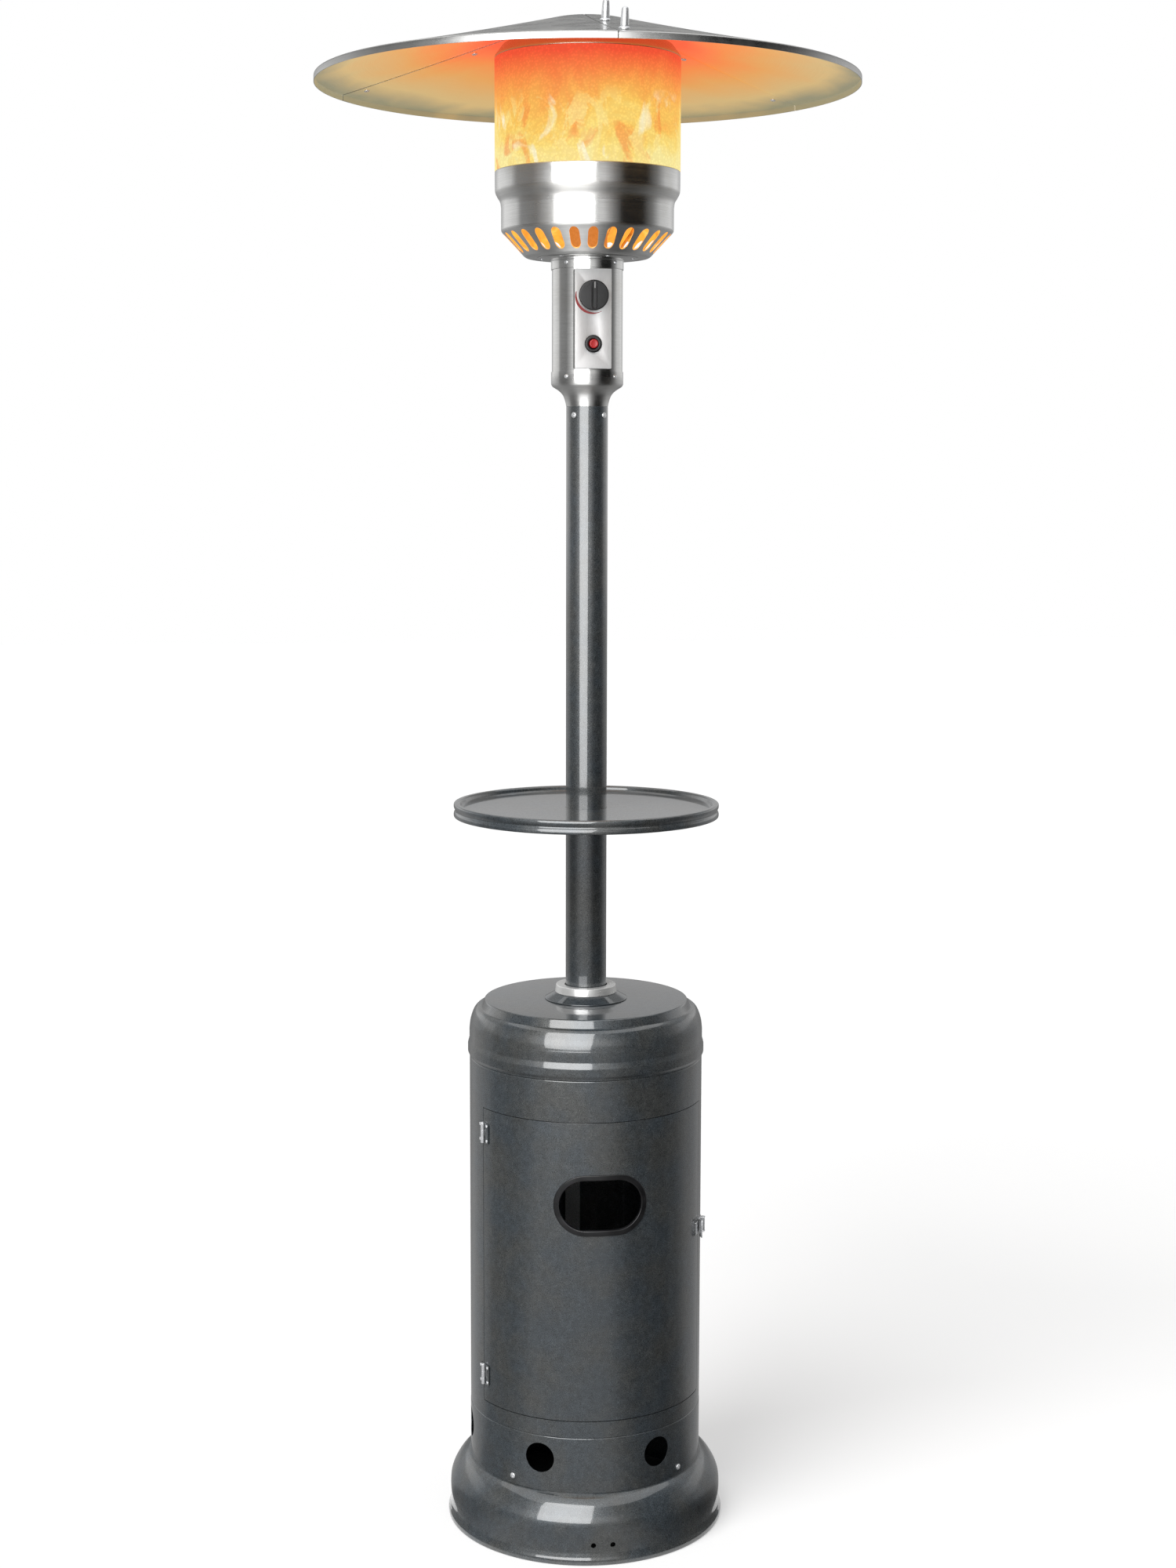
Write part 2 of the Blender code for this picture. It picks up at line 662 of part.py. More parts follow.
def screws(places, *sizes, sides=SCREW_SIDES):
    """Screws of one size, from head radius to length, at several places."""
    shape = bmesh.new()
    for place in places:
        screw(shape, place, *sizes, sides=sides)
    return shape


def fasten(carrier, name, places, *sizes):
    """Joins screws to the piece that holds them."""
    combine(carrier, tool(name, screws(places, *sizes)), "UNION")


def screw_holes(name, places, radius, depth, steps=SCREW_SIDES):
    """Holes for screws, from above each place down to a depth below it."""
    shape = bmesh.new()
    for place in places:
        rod(shape, radius, -depth, OVERRUN, steps, place)
    return tool(name, shape)


def smooth_route(corners, samples):
    """Points of a smooth curve through the corners, in as many steps for each run."""
    points = [Vector(corner) for corner in corners]
    runs = [end - start for start, end in zip(points, points[1:])]
    headings = [runs[0].normalized()]
    for before, after in zip(runs, runs[1:]):
        headings.append((before.normalized() + after.normalized()).normalized())
    headings.append(runs[-1].normalized())
    route = []
    for index, run in enumerate(runs):
        leave = headings[index] * run.length
        arrive = headings[index + 1] * run.length
        for step in range(samples):
            share = step / samples
            middle = share**2 * (3 - 2 * share)
            route.append(
                points[index] * (1 - middle) + points[index + 1] * middle
                + leave * share * (1 - share)**2 - arrive * share**2 * (1 - share)
            )
    route.append(points[-1])
    return route


def base_outline():
    flare = BASE_FOOT_RADIUS - BASE_SHOULDER_RADIUS
    outline = [
        (BASE_FOOT_RADIUS - BASE_FLANGE - BASE_SHEET, 0.0),
        (BASE_FOOT_RADIUS - BASE_ROLL_RADIUS, 0.0),
        (BASE_FOOT_RADIUS, BASE_ROLL_RADIUS),
        (BASE_FOOT_RADIUS, BASE_ROLL_HEIGHT),
    ]
    for width_share, height_share in BASE_FLARE_SHARES:
        outline.append((BASE_SHOULDER_RADIUS + flare * width_share, BASE_HEIGHT * height_share))
    outline += [
        (BASE_SHOULDER_RADIUS, BASE_HEIGHT),
        (BASE_NECK_RADIUS, BASE_HEIGHT),
        (BASE_NECK_RADIUS, BASE_HEIGHT + BASE_NECK_HEIGHT),
    ]
    return outline


def make_base():
    shape = bmesh.new()
    turn(shape, skin(base_outline(), BASE_SHEET), DRUM_STEPS)
    shell = finish("base_shell", shape, paint("base_paint"))
    places = [
        facing(sign * BASE_HOLE_AZIMUTH, BASE_FOOT_RADIUS, BASE_HOLE_HEIGHT) for sign in (-1, 1)
    ]
    cut(screw_holes("base_hole_tool", places, BASE_HOLE_RADIUS, BASE_FLANGE), shell)

    inner = BASE_FOOT_RADIUS - BASE_FLANGE - BASE_SHEET - TOUCH
    ledge = BASE_SHEET + TOUCH
    outline = [
        (0.0, 0.0), (inner, 0.0), (inner, ledge), (inner + FLOOR_LAP, ledge),
        (inner + FLOOR_LAP, FLOOR_THICKNESS), (0.0, FLOOR_THICKNESS),
    ]
    shape = bmesh.new()
    turn(shape, outline, DRUM_STEPS)
    floor = finish("base_floor", shape, paint("ballast_paint"))
    return shell, floor


def make_ring():
    outline = [
        (RING_RADIUS, RING_BOTTOM), (RING_RADIUS, RING_TOP - DRUM_NECK_STEP),
        (RING_NECK_RADIUS, RING_TOP), (RING_NECK_RADIUS, RING_TOP + DRUM_NECK_HEIGHT),
    ]
    shape = bmesh.new()
    turn(shape, skin(outline, DRUM_SHEET), DRUM_STEPS)
    ring = finish("lower_ring", shape, paint("ring_paint"))
    shape = bmesh.new()
    for azimuth in VENT_AZIMUTHS:
        place = facing(azimuth, RING_RADIUS, RING_BOTTOM + VENT_RISE)
        rod(shape, VENT_RADIUS, -OVERRUN, OVERRUN, SMALL_STEPS, place)
    cut(tool("vent_tool", shape), ring)
    return ring


def make_wall():
    outline = [
        (DRUM_RADIUS, WALL_BOTTOM), (DRUM_RADIUS, WALL_TOP - DRUM_NECK_STEP),
        (WALL_NECK_RADIUS, WALL_TOP), (WALL_NECK_RADIUS, WALL_TOP + DRUM_NECK_HEIGHT),
    ]
    shape = bmesh.new()
    turn(shape, skin(outline, DRUM_SHEET), DRUM_STEPS)
    wall = finish("housing_shell", shape, paint("wall_paint"))
    seam = degrees(DOOR_SEAM / DRUM_RADIUS)
    outline = [
        (DRUM_RADIUS - OVERRUN, DOOR_BOTTOM - DOOR_SEAM), (DRUM_RADIUS + OVERRUN, DOOR_BOTTOM - DOOR_SEAM),
        (DRUM_RADIUS + OVERRUN, DOOR_TOP + DOOR_SEAM), (DRUM_RADIUS - OVERRUN, DOOR_TOP + DOOR_SEAM),
    ]
    shape = bmesh.new()
    turn_part(shape, outline, DRUM_STEPS // 2, -DOOR_HALF_ANGLE - seam, DOOR_HALF_ANGLE + seam)
    cut(tool("door_opening_tool", shape), wall)
    return wall


def cap_outline():
    bead = RING_RADIUS + CAP_BEAD_PROUD
    groove = CAP_DISC_RADIUS + CAP_BEVEL_WIDTH
    groove_height = CAP_TOP - CAP_BEVEL_DROP
    shoulder_bottom = groove_height - CAP_SHOULDER_DROP
    outline = [
        (RING_RADIUS, CAP_BOTTOM),
        (bead, CAP_BOTTOM + CAP_BEAD_ROLL),
        (bead, CAP_BOTTOM + CAP_BEAD_HEIGHT - CAP_BEAD_ROLL),
        (RING_RADIUS, CAP_BOTTOM + CAP_BEAD_HEIGHT + CAP_BEAD_ROLL / 2),
    ]
    for width_share, height_share in CAP_SHOULDER_SHARES:
        radius = groove + (RING_RADIUS - groove) * width_share
        outline.append((radius, shoulder_bottom + CAP_SHOULDER_DROP * height_share))
    outline += [
        (groove, groove_height), (CAP_DISC_RADIUS, CAP_TOP), (SPIGOT_RADIUS + TOUCH, CAP_TOP),
    ]
    return outline


def make_cap():
    shape = bmesh.new()
    turn(shape, skin(cap_outline(), DRUM_SHEET), DRUM_STEPS)
    return finish("top_cap", shape, paint("cap_paint"))


def make_base_screws(ring, base):
    places = [facing(azimuth, RING_RADIUS + TOUCH, RING_BOTTOM + BASE_SCREW_RISE) for azimuth in CORNER_AZIMUTHS]
    for index, place in enumerate(places):
        shape = screws([place], PAN_HEAD_RADIUS, PAN_HEAD, PAN_RADIUS, PAN_LENGTH)
        finish(f"base_screw_{index + 1}", shape, zinc("base_screw_zinc"))
    cut(screw_holes("base_screw_tool", places, PAN_RADIUS + PAN_CLEARANCE, PAN_LENGTH + OVERRUN), ring, base)


def obround(half_width, half_height, steps):
    """Outline of a slot with round ends, its long side along X."""
    centre = half_width - half_height
    points = []
    for side in (1, -1):
        for step in range(steps + 1):
            angle = pi * step / steps - pi / 2
            points.append((side * (centre + half_height * cos(angle)), side * half_height * sin(angle)))
    return points


def hand_hole_prism(name, margin):
    """A prism of the hand hole's outline, widened by a margin, along Y through the door."""
    shape = bmesh.new()
    outline = obround(HAND_HOLE_WIDTH / 2 + margin, HAND_HOLE_HEIGHT / 2 + margin, HAND_HOLE_END_STEPS)
    place = facing(0.0, 0.0, DOOR_BOTTOM + HAND_HOLE_RISE)
    slab(shape, outline, DRUM_RADIUS / 2, DRUM_RADIUS + OVERRUN, place)
    return tool(name, shape)


def band(shape, inner, outer, bottom, top):
    outline = [(inner, bottom), (outer, bottom), (outer, top), (inner, top)]
    turn_part(shape, outline, DRUM_STEPS // 2, -DOOR_HALF_ANGLE, DOOR_HALF_ANGLE)


def make_door(hinge):
    shape = bmesh.new()
    band(shape, DRUM_RADIUS - DRUM_SHEET, DRUM_RADIUS, DOOR_BOTTOM, DOOR_TOP)
    door = finish("door", shape, paint("door_paint"), hinge)
    cut(hand_hole_prism("door_hole_tool", TRIM_THROAT + TOUCH), door)

    middle = DOOR_BOTTOM + HAND_HOLE_RISE
    reach = HAND_HOLE_HEIGHT
    seat = DRUM_RADIUS + TOUCH
    shape = bmesh.new()
    band(shape, seat, seat + TRIM_THICKNESS, middle - reach, middle + reach)
    trim = finish("door_grip_trim", shape, plastic("trim_black", (0.010, 0.010, 0.011)), hinge)
    combine(trim, hand_hole_prism("trim_flange_tool", TRIM_FLANGE), "INTERSECT")
    shape = bmesh.new()
    band(shape, DRUM_RADIUS - DRUM_SHEET - TRIM_DEPTH, seat + TRIM_THICKNESS / 2, middle - reach, middle + reach)
    throat = tool("trim_throat_tool", shape)
    combine(throat, hand_hole_prism("trim_throat_prism", TRIM_THROAT), "INTERSECT")
    combine(trim, throat, "UNION")
    cut(hand_hole_prism("trim_hole_tool", 0.0), trim)
    return door


def upright(place):
    """Turns a frame so that its Z points up."""
    return place @ Matrix.Rotation(-pi / 2, 4, "X")


def hinge_axis_radius():
    return DRUM_RADIUS + TOUCH + HINGE_KNUCKLE_RADIUS


def hinge_frames():
    heights = [DOOR_BOTTOM + rise for rise in HINGE_RISES]
    return [facing(HINGE_AZIMUTH, hinge_axis_radius(), height) for height in heights]


def make_hinge_leaf(name, frame, side, thirds, carrier, sheet):
    """A plate beside the axis with its knuckles, riveted through the sheet that it lies on."""
    plate, webs, knuckles, bore = bmesh.new(), bmesh.new(), bmesh.new(), bmesh.new()
    low = -HINGE_KNUCKLE_RADIUS
    high = low + HINGE_LEAF_SHEET
    inner = HINGE_KNUCKLE_RADIUS + HINGE_KNUCKLE_GAP
    half = HINGE_HEIGHT / 2
    third = HINGE_HEIGHT / 3
    fillet = HINGE_LEAF_SHEET / 4
    start, end = sorted((side * inner, side * HINGE_LEAF_WIDTH))
    block(plate, (start, -half, low), (end, half, high), frame)
    start, end = sorted((0.0, side * (inner + HINGE_KNUCKLE_RADIUS)))
    for index in thirds:
        bottom = third * index - half + HINGE_KNUCKLE_GAP / 2
        top = bottom + third - HINGE_KNUCKLE_GAP
        block(webs, (start, bottom, low + fillet), (end, top, high - fillet), frame)
        rod(knuckles, HINGE_KNUCKLE_RADIUS, bottom, top, SMALL_STEPS, upright(frame))
    bore_radius = HINGE_PIN_RADIUS + HINGE_PIN_CLEARANCE
    rod(bore, bore_radius, -half - OVERRUN, half + OVERRUN, SMALL_STEPS, upright(frame))
    leaf = finish(name, plate, zinc(name + "_zinc"), carrier)
    combine(leaf, tool(name + "_web_tool", webs), "UNION")
    combine(leaf, tool(name + "_knuckle_tool", knuckles), "UNION")
    cut(tool(name + "_bore_tool", bore), leaf)

    height = HINGE_LEAF_SHEET / 2 - HINGE_KNUCKLE_RADIUS
    places = [
        frame @ Matrix.Translation((side * HINGE_SCREW_OFFSET, pitch, height))
        for pitch in (-HINGE_SCREW_PITCH / 2, HINGE_SCREW_PITCH / 2)
    ]
    sizes = (HINGE_SCREW_HEAD_RADIUS, HINGE_SCREW_HEAD, HINGE_SCREW_RADIUS, HINGE_SCREW_LENGTH)
    fasten(leaf, name + "_rivet_tool", places, *sizes)
    radius = HINGE_SCREW_RADIUS + HINGE_SCREW_CLEARANCE
    cut(screw_holes(name + "_hole_tool", places, radius, HINGE_SCREW_LENGTH + OVERRUN), sheet)


def pin(shape, place, radius, half):
    """An upright pin whose flat head lies on the knuckle or ear at its top."""
    outline = [
        (0.0, -half), (radius, -half), (radius, half + TOUCH), (HINGE_PIN_HEAD_RADIUS, half + TOUCH),
        (HINGE_PIN_HEAD_RADIUS, half + HINGE_PIN_HEAD), (0.0, half + HINGE_PIN_HEAD),
    ]
    turn(shape, outline, SMALL_STEPS, upright(place))


def make_hinges(hinge, wall, door):
    """Two butt hinges: the fixed leaf on the wall, the moving leaf on the door, and the pin."""
    for label, frame in zip(("lower", "upper"), hinge_frames()):
        make_hinge_leaf(f"hinge_leaf_fixed_{label}", frame, -1, (0, 2), None, wall)
        make_hinge_leaf(f"hinge_leaf_door_{label}", frame, 1, (1,), hinge, door)
        shape = bmesh.new()
        pin(shape, frame, HINGE_PIN_RADIUS, HINGE_HEIGHT / 2)
        finish(f"hinge_pin_{label}", shape, zinc("hinge_pin_zinc"))


def latch_frame():
    return facing(LATCH_AZIMUTH, DRUM_RADIUS, DOOR_BOTTOM + LATCH_RISE)


def latch_pin_frame():
    return latch_frame() @ Matrix.Translation((0.0, 0.0, LATCH_PIN_STANDOFF))


def latch_nose():
    """How far the nose reaches from the pin towards the front."""
    return radians(LATCH_AZIMUTH - DOOR_HALF_ANGLE) * DRUM_RADIUS + LATCH_NOSE_LAP


def make_latch_bracket():
    frame = latch_frame()
    half = LATCH_PLATE_HEIGHT / 2
    back = TOUCH + LATCH_PLATE_SHEET
    shape = bmesh.new()
    block(shape, (-LATCH_PLATE_FRONT, -half, TOUCH), (LATCH_PLATE_BACK, half, back), frame)
    bracket = finish("latch_bracket", shape, zinc("latch_bracket_zinc"))
    ears = bmesh.new()
    reach = LATCH_EAR_LENGTH / 2
    top = LATCH_PIN_STANDOFF + LATCH_KNUCKLE_RADIUS
    for bottom in (-half, half - LATCH_EAR):
        block(ears, (-reach, bottom, back - LATCH_PLATE_SHEET / 2), (reach, bottom + LATCH_EAR, top), frame)
    combine(bracket, tool("latch_ear_tool", ears), "UNION")
    return bracket


def make_latch_lever(carrier):
    frame = latch_frame()
    half = LATCH_PLATE_HEIGHT / 2 - LATCH_EAR - TOUCH
    shape = bmesh.new()
    rod(shape, LATCH_KNUCKLE_RADIUS, -half, half, SMALL_STEPS, upright(latch_pin_frame()))
    lever = finish("latch_lever", shape, zinc("latch_lever_zinc"), carrier)
    nose = -latch_nose()
    top = LATCH_NOSE_LIFT + LATCH_LEVER_SHEET
    arm = bmesh.new()
    rib = LATCH_LEVER_SHEET / 6
    block(arm, (nose + rib, -half, LATCH_NOSE_LIFT + rib), (0.0, half, top - rib), frame)
    combine(lever, tool("latch_arm_tool", arm), "UNION")
    grip = bmesh.new()
    front = nose - LATCH_GRIP_LENGTH
    outline = [
        (nose + LATCH_LEVER_SHEET, LATCH_NOSE_LIFT), (nose + LATCH_LEVER_SHEET, top), (nose, top),
        (front, top + LATCH_GRIP_RISE), (front, LATCH_NOSE_LIFT + LATCH_GRIP_RISE), (nose, LATCH_NOSE_LIFT),
    ]
    reach = LATCH_GRIP_HEIGHT / 2
    slab(grip, outline, -reach, reach, frame @ Matrix.Rotation(pi / 2, 4, "X"))
    combine(lever, tool("latch_grip_tool", grip), "UNION")
    return lever


def make_latch(carrier, hinge):
    """A sprung catch lever on the wall, whose nose lies over a catch plate on the door."""
    bracket = make_latch_bracket()
    lever = make_latch_lever(carrier)
    bores = bmesh.new()
    reach = LATCH_PLATE_HEIGHT
    rod(bores, LATCH_PIN_RADIUS + LATCH_PIN_CLEARANCE, -reach, reach, SMALL_STEPS, upright(latch_pin_frame()))
    cut(tool("latch_bore_tool", bores), bracket, lever)
    shape = bmesh.new()
    pin(shape, latch_pin_frame(), LATCH_PIN_RADIUS, LATCH_PLATE_HEIGHT / 2)
    finish("latch_pin", shape, zinc("latch_pin_zinc"))

    middle = latch_nose() - LATCH_CATCH_SETBACK + LATCH_CATCH_WIDTH / 2
    azimuth = LATCH_AZIMUTH - degrees(middle / DRUM_RADIUS)
    frame = facing(azimuth, DRUM_RADIUS + TOUCH, DOOR_BOTTOM + LATCH_RISE)
    half = LATCH_CATCH_HEIGHT / 2
    side = LATCH_CATCH_WIDTH / 2
    shape = bmesh.new()
    block(shape, (-side, -half, 0.0), (side, half, LATCH_CATCH_SHEET), frame)
    finish("latch_catch", shape, zinc("latch_catch_zinc"), hinge)


def leg_outline():
    """Half section of a leg as (radius, height): foot, web, slant and top flange."""
    foot = FLOOR_THICKNESS + TOUCH
    bend = LEG_TOP - LEG_BEND_DROP
    outside = [
        (LEG_FOOT_RADIUS, foot), (LEG_FOOT_RADIUS, foot + LEG_SHEET), (LEG_OUTER_RADIUS, foot + LEG_SHEET),
        (LEG_OUTER_RADIUS, bend), (LEG_TOP_OUTER_RADIUS, LEG_TOP - LEG_SHEET), (LEG_TOP_OUTER_RADIUS, LEG_TOP),
    ]
    inside = [
        (LEG_TOP_INNER_RADIUS, LEG_TOP), (LEG_TOP_INNER_RADIUS, LEG_TOP - LEG_SHEET),
        (LEG_TOP_OUTER_RADIUS - LEG_SHEET, LEG_TOP - LEG_SHEET), (LEG_INNER_RADIUS, bend), (LEG_INNER_RADIUS, foot),
    ]
    return outside + inside


def section_frame(azimuth):
    """A frame whose X points outward at an azimuth, Y up and Z along the wall."""
    return facing(azimuth, 0.0, 0.0) @ Matrix.Rotation(-pi / 2, 4, "Y")


def pointing_down(azimuth, radius, height):
    """A frame whose Z points down."""
    return facing(azimuth, radius, height) @ Matrix.Rotation(pi / 2, 4, "X")


def make_support_frame(floor, cap, foot):
    """A disc under the cap with a short tube inside the post, on three welded legs, and its bolts."""
    bore = SPIGOT_RADIUS - SPIGOT_SHEET
    outline = [
        (bore, LEG_PLATE_BOTTOM), (LEG_PLATE_RADIUS, LEG_PLATE_BOTTOM), (LEG_PLATE_RADIUS, LEG_PLATE_TOP),
        (SPIGOT_RADIUS, LEG_PLATE_TOP), (SPIGOT_RADIUS, LEG_PLATE_TOP + SPIGOT_HEIGHT),
        (bore, LEG_PLATE_TOP + SPIGOT_HEIGHT),
    ]
    shape = bmesh.new()
    turn(shape, outline, TUBE_STEPS)
    frame = finish("support_frame", shape, zinc("support_frame_zinc"))
    legs = bmesh.new()
    for azimuth in LEG_AZIMUTHS:
        slab(legs, leg_outline(), -LEG_WIDTH / 2, LEG_WIDTH / 2, section_frame(azimuth))
    combine(frame, tool("leg_tool", legs), "UNION")

    foot_height = FLOOR_THICKNESS + TOUCH + LEG_SHEET / 2
    foot_radius = LEG_OUTER_RADIUS + LEG_FOOT / 2
    feet = [upright(facing(azimuth, foot_radius, foot_height)) for azimuth in LEG_AZIMUTHS]
    foot_length = foot_height - BOLT_FLOOR_LEFT - TOUCH
    flange_height = LEG_PLATE_BOTTOM + LEG_PLATE_THICKNESS / 2
    flanges = [pointing_down(azimuth, FLANGE_BOLT_RADIUS, flange_height) for azimuth in FLANGE_BOLT_AZIMUTHS]
    flange_length = POST_BOTTOM + FLANGE_BOLT_DEPTH - flange_height
    hole = BOLT_RADIUS + BOLT_CLEARANCE
    fasten(frame, "foot_bolt_tool", feet, BOLT_HEAD_RADIUS, BOLT_HEAD, BOLT_RADIUS, foot_length)
    fasten(frame, "flange_bolt_tool", flanges, BOLT_HEAD_RADIUS, BOLT_HEAD, BOLT_RADIUS, flange_length)
    cut(screw_holes("foot_hole_tool", feet, hole, foot_length + TOUCH), floor)
    cut(screw_holes("flange_hole_tool", flanges, hole, flange_length + TOUCH), cap, foot)


def make_post_foot():
    outer = FOOT_BORE_RADIUS + FOOT_REACH
    outline = [
        (FOOT_BORE_RADIUS, POST_BOTTOM), (outer, POST_BOTTOM), (outer, POST_BOTTOM + FOOT_EDGE),
        (FOOT_BORE_RADIUS + FOOT_TOP_REACH, FOOT_TOP), (FOOT_BORE_RADIUS, FOOT_TOP),
    ]
    shape = bmesh.new()
    turn(shape, outline, DRUM_STEPS)
    return finish("post_foot", shape, paint("foot_paint"))


def make_post_collar():
    bottom = FOOT_TOP + TOUCH
    top = bottom + COLLAR_HEIGHT
    outer = FOOT_BORE_RADIUS + FOOT_TOP_REACH
    mouth = POST_RADIUS + COLLAR_MOUTH
    outline = [
        (mouth, bottom), (outer, bottom), (outer - COLLAR_TAPER, top - COLLAR_TOP_DROP),
        (outer - 2 * COLLAR_TAPER, top), (mouth, top - COLLAR_TOP_DROP),
    ]
    shape = bmesh.new()
    turn(shape, outline, DRUM_STEPS)
    finish("post_collar", shape, polished("collar_polish"))


def make_post():
    outline = [
        (POST_INNER, POST_BOTTOM), (POST_RADIUS, POST_BOTTOM), (POST_RADIUS, POST_TOP), (POST_INNER, POST_TOP),
    ]
    shape = bmesh.new()
    turn(shape, outline, TUBE_STEPS)
    return finish("post", shape, paint("post_paint"))


def table_outline():
    lower = TABLE_BOTTOM + TABLE_BEAD_HEIGHT
    upper = TABLE_TOP - TABLE_BEAD_HEIGHT
    rim = TABLE_RADIUS - TABLE_RIM_WIDTH
    middle = (lower + upper) / 2
    return [
        (TABLE_RADIUS - TABLE_LIP, TABLE_BOTTOM), (TABLE_RADIUS - TABLE_BEAD_ROLL, TABLE_BOTTOM),
        (TABLE_RADIUS, TABLE_BOTTOM + TABLE_BEAD_ROLL), (TABLE_RADIUS, lower - TABLE_BEAD_ROLL),
        (TABLE_RADIUS - TABLE_GROOVE, middle),
        (TABLE_RADIUS, upper + TABLE_BEAD_ROLL), (TABLE_RADIUS, TABLE_TOP - TABLE_BEAD_ROLL),
        (TABLE_RADIUS - TABLE_BEAD_ROLL, TABLE_TOP), (rim, TABLE_TOP), (rim - TABLE_BEAD_ROLL, TRAY_TOP),
        (HUB_BORE_RADIUS, TRAY_TOP),
    ]


def make_table():
    """The round tray, its clamp hub below and the hub's set screws."""
    shape = bmesh.new()
    turn(shape, skin(table_outline(), TABLE_SHEET), DRUM_STEPS)
    finish("table", shape, paint("table_paint"))
    top = TRAY_TOP - TABLE_SHEET - TOUCH
    flange = HUB_SLEEVE_RADIUS + HUB_FLANGE
    bottom = top - HUB_SLEEVE_HEIGHT
    outline = [
        (HUB_BORE_RADIUS, bottom), (HUB_SLEEVE_RADIUS, bottom), (HUB_SLEEVE_RADIUS, top - HUB_FLANGE_THICKNESS),
        (flange, top - HUB_FLANGE_THICKNESS), (flange, top), (HUB_BORE_RADIUS, top),
    ]
    shape = bmesh.new()
    turn(shape, outline, TUBE_STEPS)
    hub = finish("table_hub", shape, paint("hub_paint"))
    middle = (bottom + top - HUB_FLANGE_THICKNESS) / 2
    radius = HUB_SLEEVE_RADIUS - HUB_SLEEVE_SHEET / 2
    places = [facing(azimuth, radius, middle) for azimuth in SET_SCREW_AZIMUTHS]
    sizes = (SET_SCREW_HEAD_RADIUS, SET_SCREW_HEAD + HUB_SLEEVE_SHEET / 2, SET_SCREW_RADIUS, HUB_SLEEVE_SHEET / 4)
    fasten(hub, "set_screw_tool", places, *sizes)


def make_adapter():
    """A spigot in the post, a flared step and the sleeve that holds the case."""
    outline = [
        (SPIGOT_RADIUS, POST_TOP - ADAPTER_SPIGOT), (SPIGOT_RADIUS, TAPER_BOTTOM), (POST_RADIUS, TAPER_BOTTOM),
    ]
    for width_share, height_share in TAPER_SHARES:
        radius = POST_RADIUS + (SLEEVE_RADIUS - POST_RADIUS) * width_share
        outline.append((radius, TAPER_BOTTOM + TAPER_HEIGHT * height_share))
    outline += [(SLEEVE_RADIUS, SLEEVE_BOTTOM), (SLEEVE_RADIUS, CASE_BOTTOM)]
    shape = bmesh.new()
    turn(shape, skin(outline, SLEEVE_SHEET), TUBE_STEPS)
    return finish("post_adapter", shape, polished("adapter_polish"))


def make_post_screws(post, adapter):
    """Screws through the post that hold the adapter's spigot."""
    height = POST_TOP - POST_SCREW_DROP
    places = [facing(azimuth, POST_RADIUS + TOUCH, height) for azimuth in CORNER_AZIMUTHS]
    fasten(adapter, "post_screw_tool", places, PAN_HEAD_RADIUS, PAN_HEAD, PAN_RADIUS, PAN_LENGTH)
    cut(screw_holes("post_hole_tool", places, PAN_RADIUS + PAN_CLEARANCE, PAN_LENGTH), post)


def make_case_shell(name, start):
    """Half of the round case, from one azimuth over half a turn less the seams."""
    bottom = CASE_BOTTOM - SLEEVE_LAP
    top = CASE_TOP + SLEEVE_LAP
    inner = CASE_RADIUS - CASE_SHEET
    outline = [(inner, bottom), (CASE_RADIUS, bottom), (CASE_RADIUS, top), (inner, top)]
    seam = degrees(CASE_SEAM / CASE_RADIUS)
    shape = bmesh.new()
    turn_part(shape, outline, TUBE_STEPS // 2, start + seam, start + 180.0 - seam)
    return finish(name, shape, polished(name + "_polish"))


def front_box(name, half_width, half_height, front, back):
    """A box of the bezel, sized by its half width and height and reaching from front to back."""
    middle = (CASE_BOTTOM + CASE_TOP) / 2
    shape = bmesh.new()
    block(shape, (-half_width, -front, middle - half_height), (half_width, -back, middle + half_height))
    return tool(name, shape)


def make_control_case(adapter, neck):
    half_width = BEZEL_WIDTH / 2
    half_height = BEZEL_HEIGHT / 2
    inner_width = half_width - BEZEL_SHEET
    inner_height = half_height - BEZEL_SHEET
    wall = sqrt(CASE_RADIUS**2 - half_width**2) - CASE_SHEET / 2
    front = make_case_shell("control_front_shell", -90.0)
    combine(front, front_box("bezel_tool", half_width, half_height, BEZEL_FRONT, wall), "UNION")
    hollow = front_box("bezel_hollow_tool", inner_width, inner_height, BEZEL_FRONT - BEZEL_SHEET, 0.0)
    cut(hollow, front)
    rear = make_case_shell("control_rear_shell", 90.0)

    sizes = (CASE_SCREW_HEAD_RADIUS, CASE_SCREW_HEAD, CASE_SCREW_RADIUS, CASE_SCREW_LENGTH)
    radius = CASE_SCREW_RADIUS + CASE_SCREW_CLEARANCE
    collars = ((adapter, CASE_BOTTOM - CASE_SCREW_DROP), (neck, CASE_TOP + CASE_SCREW_RISE))
    for sleeve, height in collars:
        places = [facing(azimuth, SLEEVE_RADIUS - SLEEVE_SHEET / 2, height) for azimuth in CASE_SCREW_AZIMUTHS]
        fasten(sleeve, sleeve.name + "_screw_tool", places, *sizes)
        cut(screw_holes(sleeve.name + "_hole_tool", places, radius, CASE_SCREW_LENGTH + TOUCH), front, rear)
    return front


def knob_frame(depth=0.0):
    """A frame on the knob's axis whose Z points out of the front, at a depth from the middle."""
    return facing(0.0, depth, KNOB_HEIGHT)


def igniter_frame(depth=0.0):
    return facing(0.0, depth, IGNITER_HEIGHT)


def front_hole(name, frame, radius):
    """A round hole through the bezel and its plate."""
    shape = bmesh.new()
    rod(shape, radius, BEZEL_FRONT - OVERRUN, PLATE_FRONT + OVERRUN, TUBE_STEPS, frame)
    return tool(name, shape)


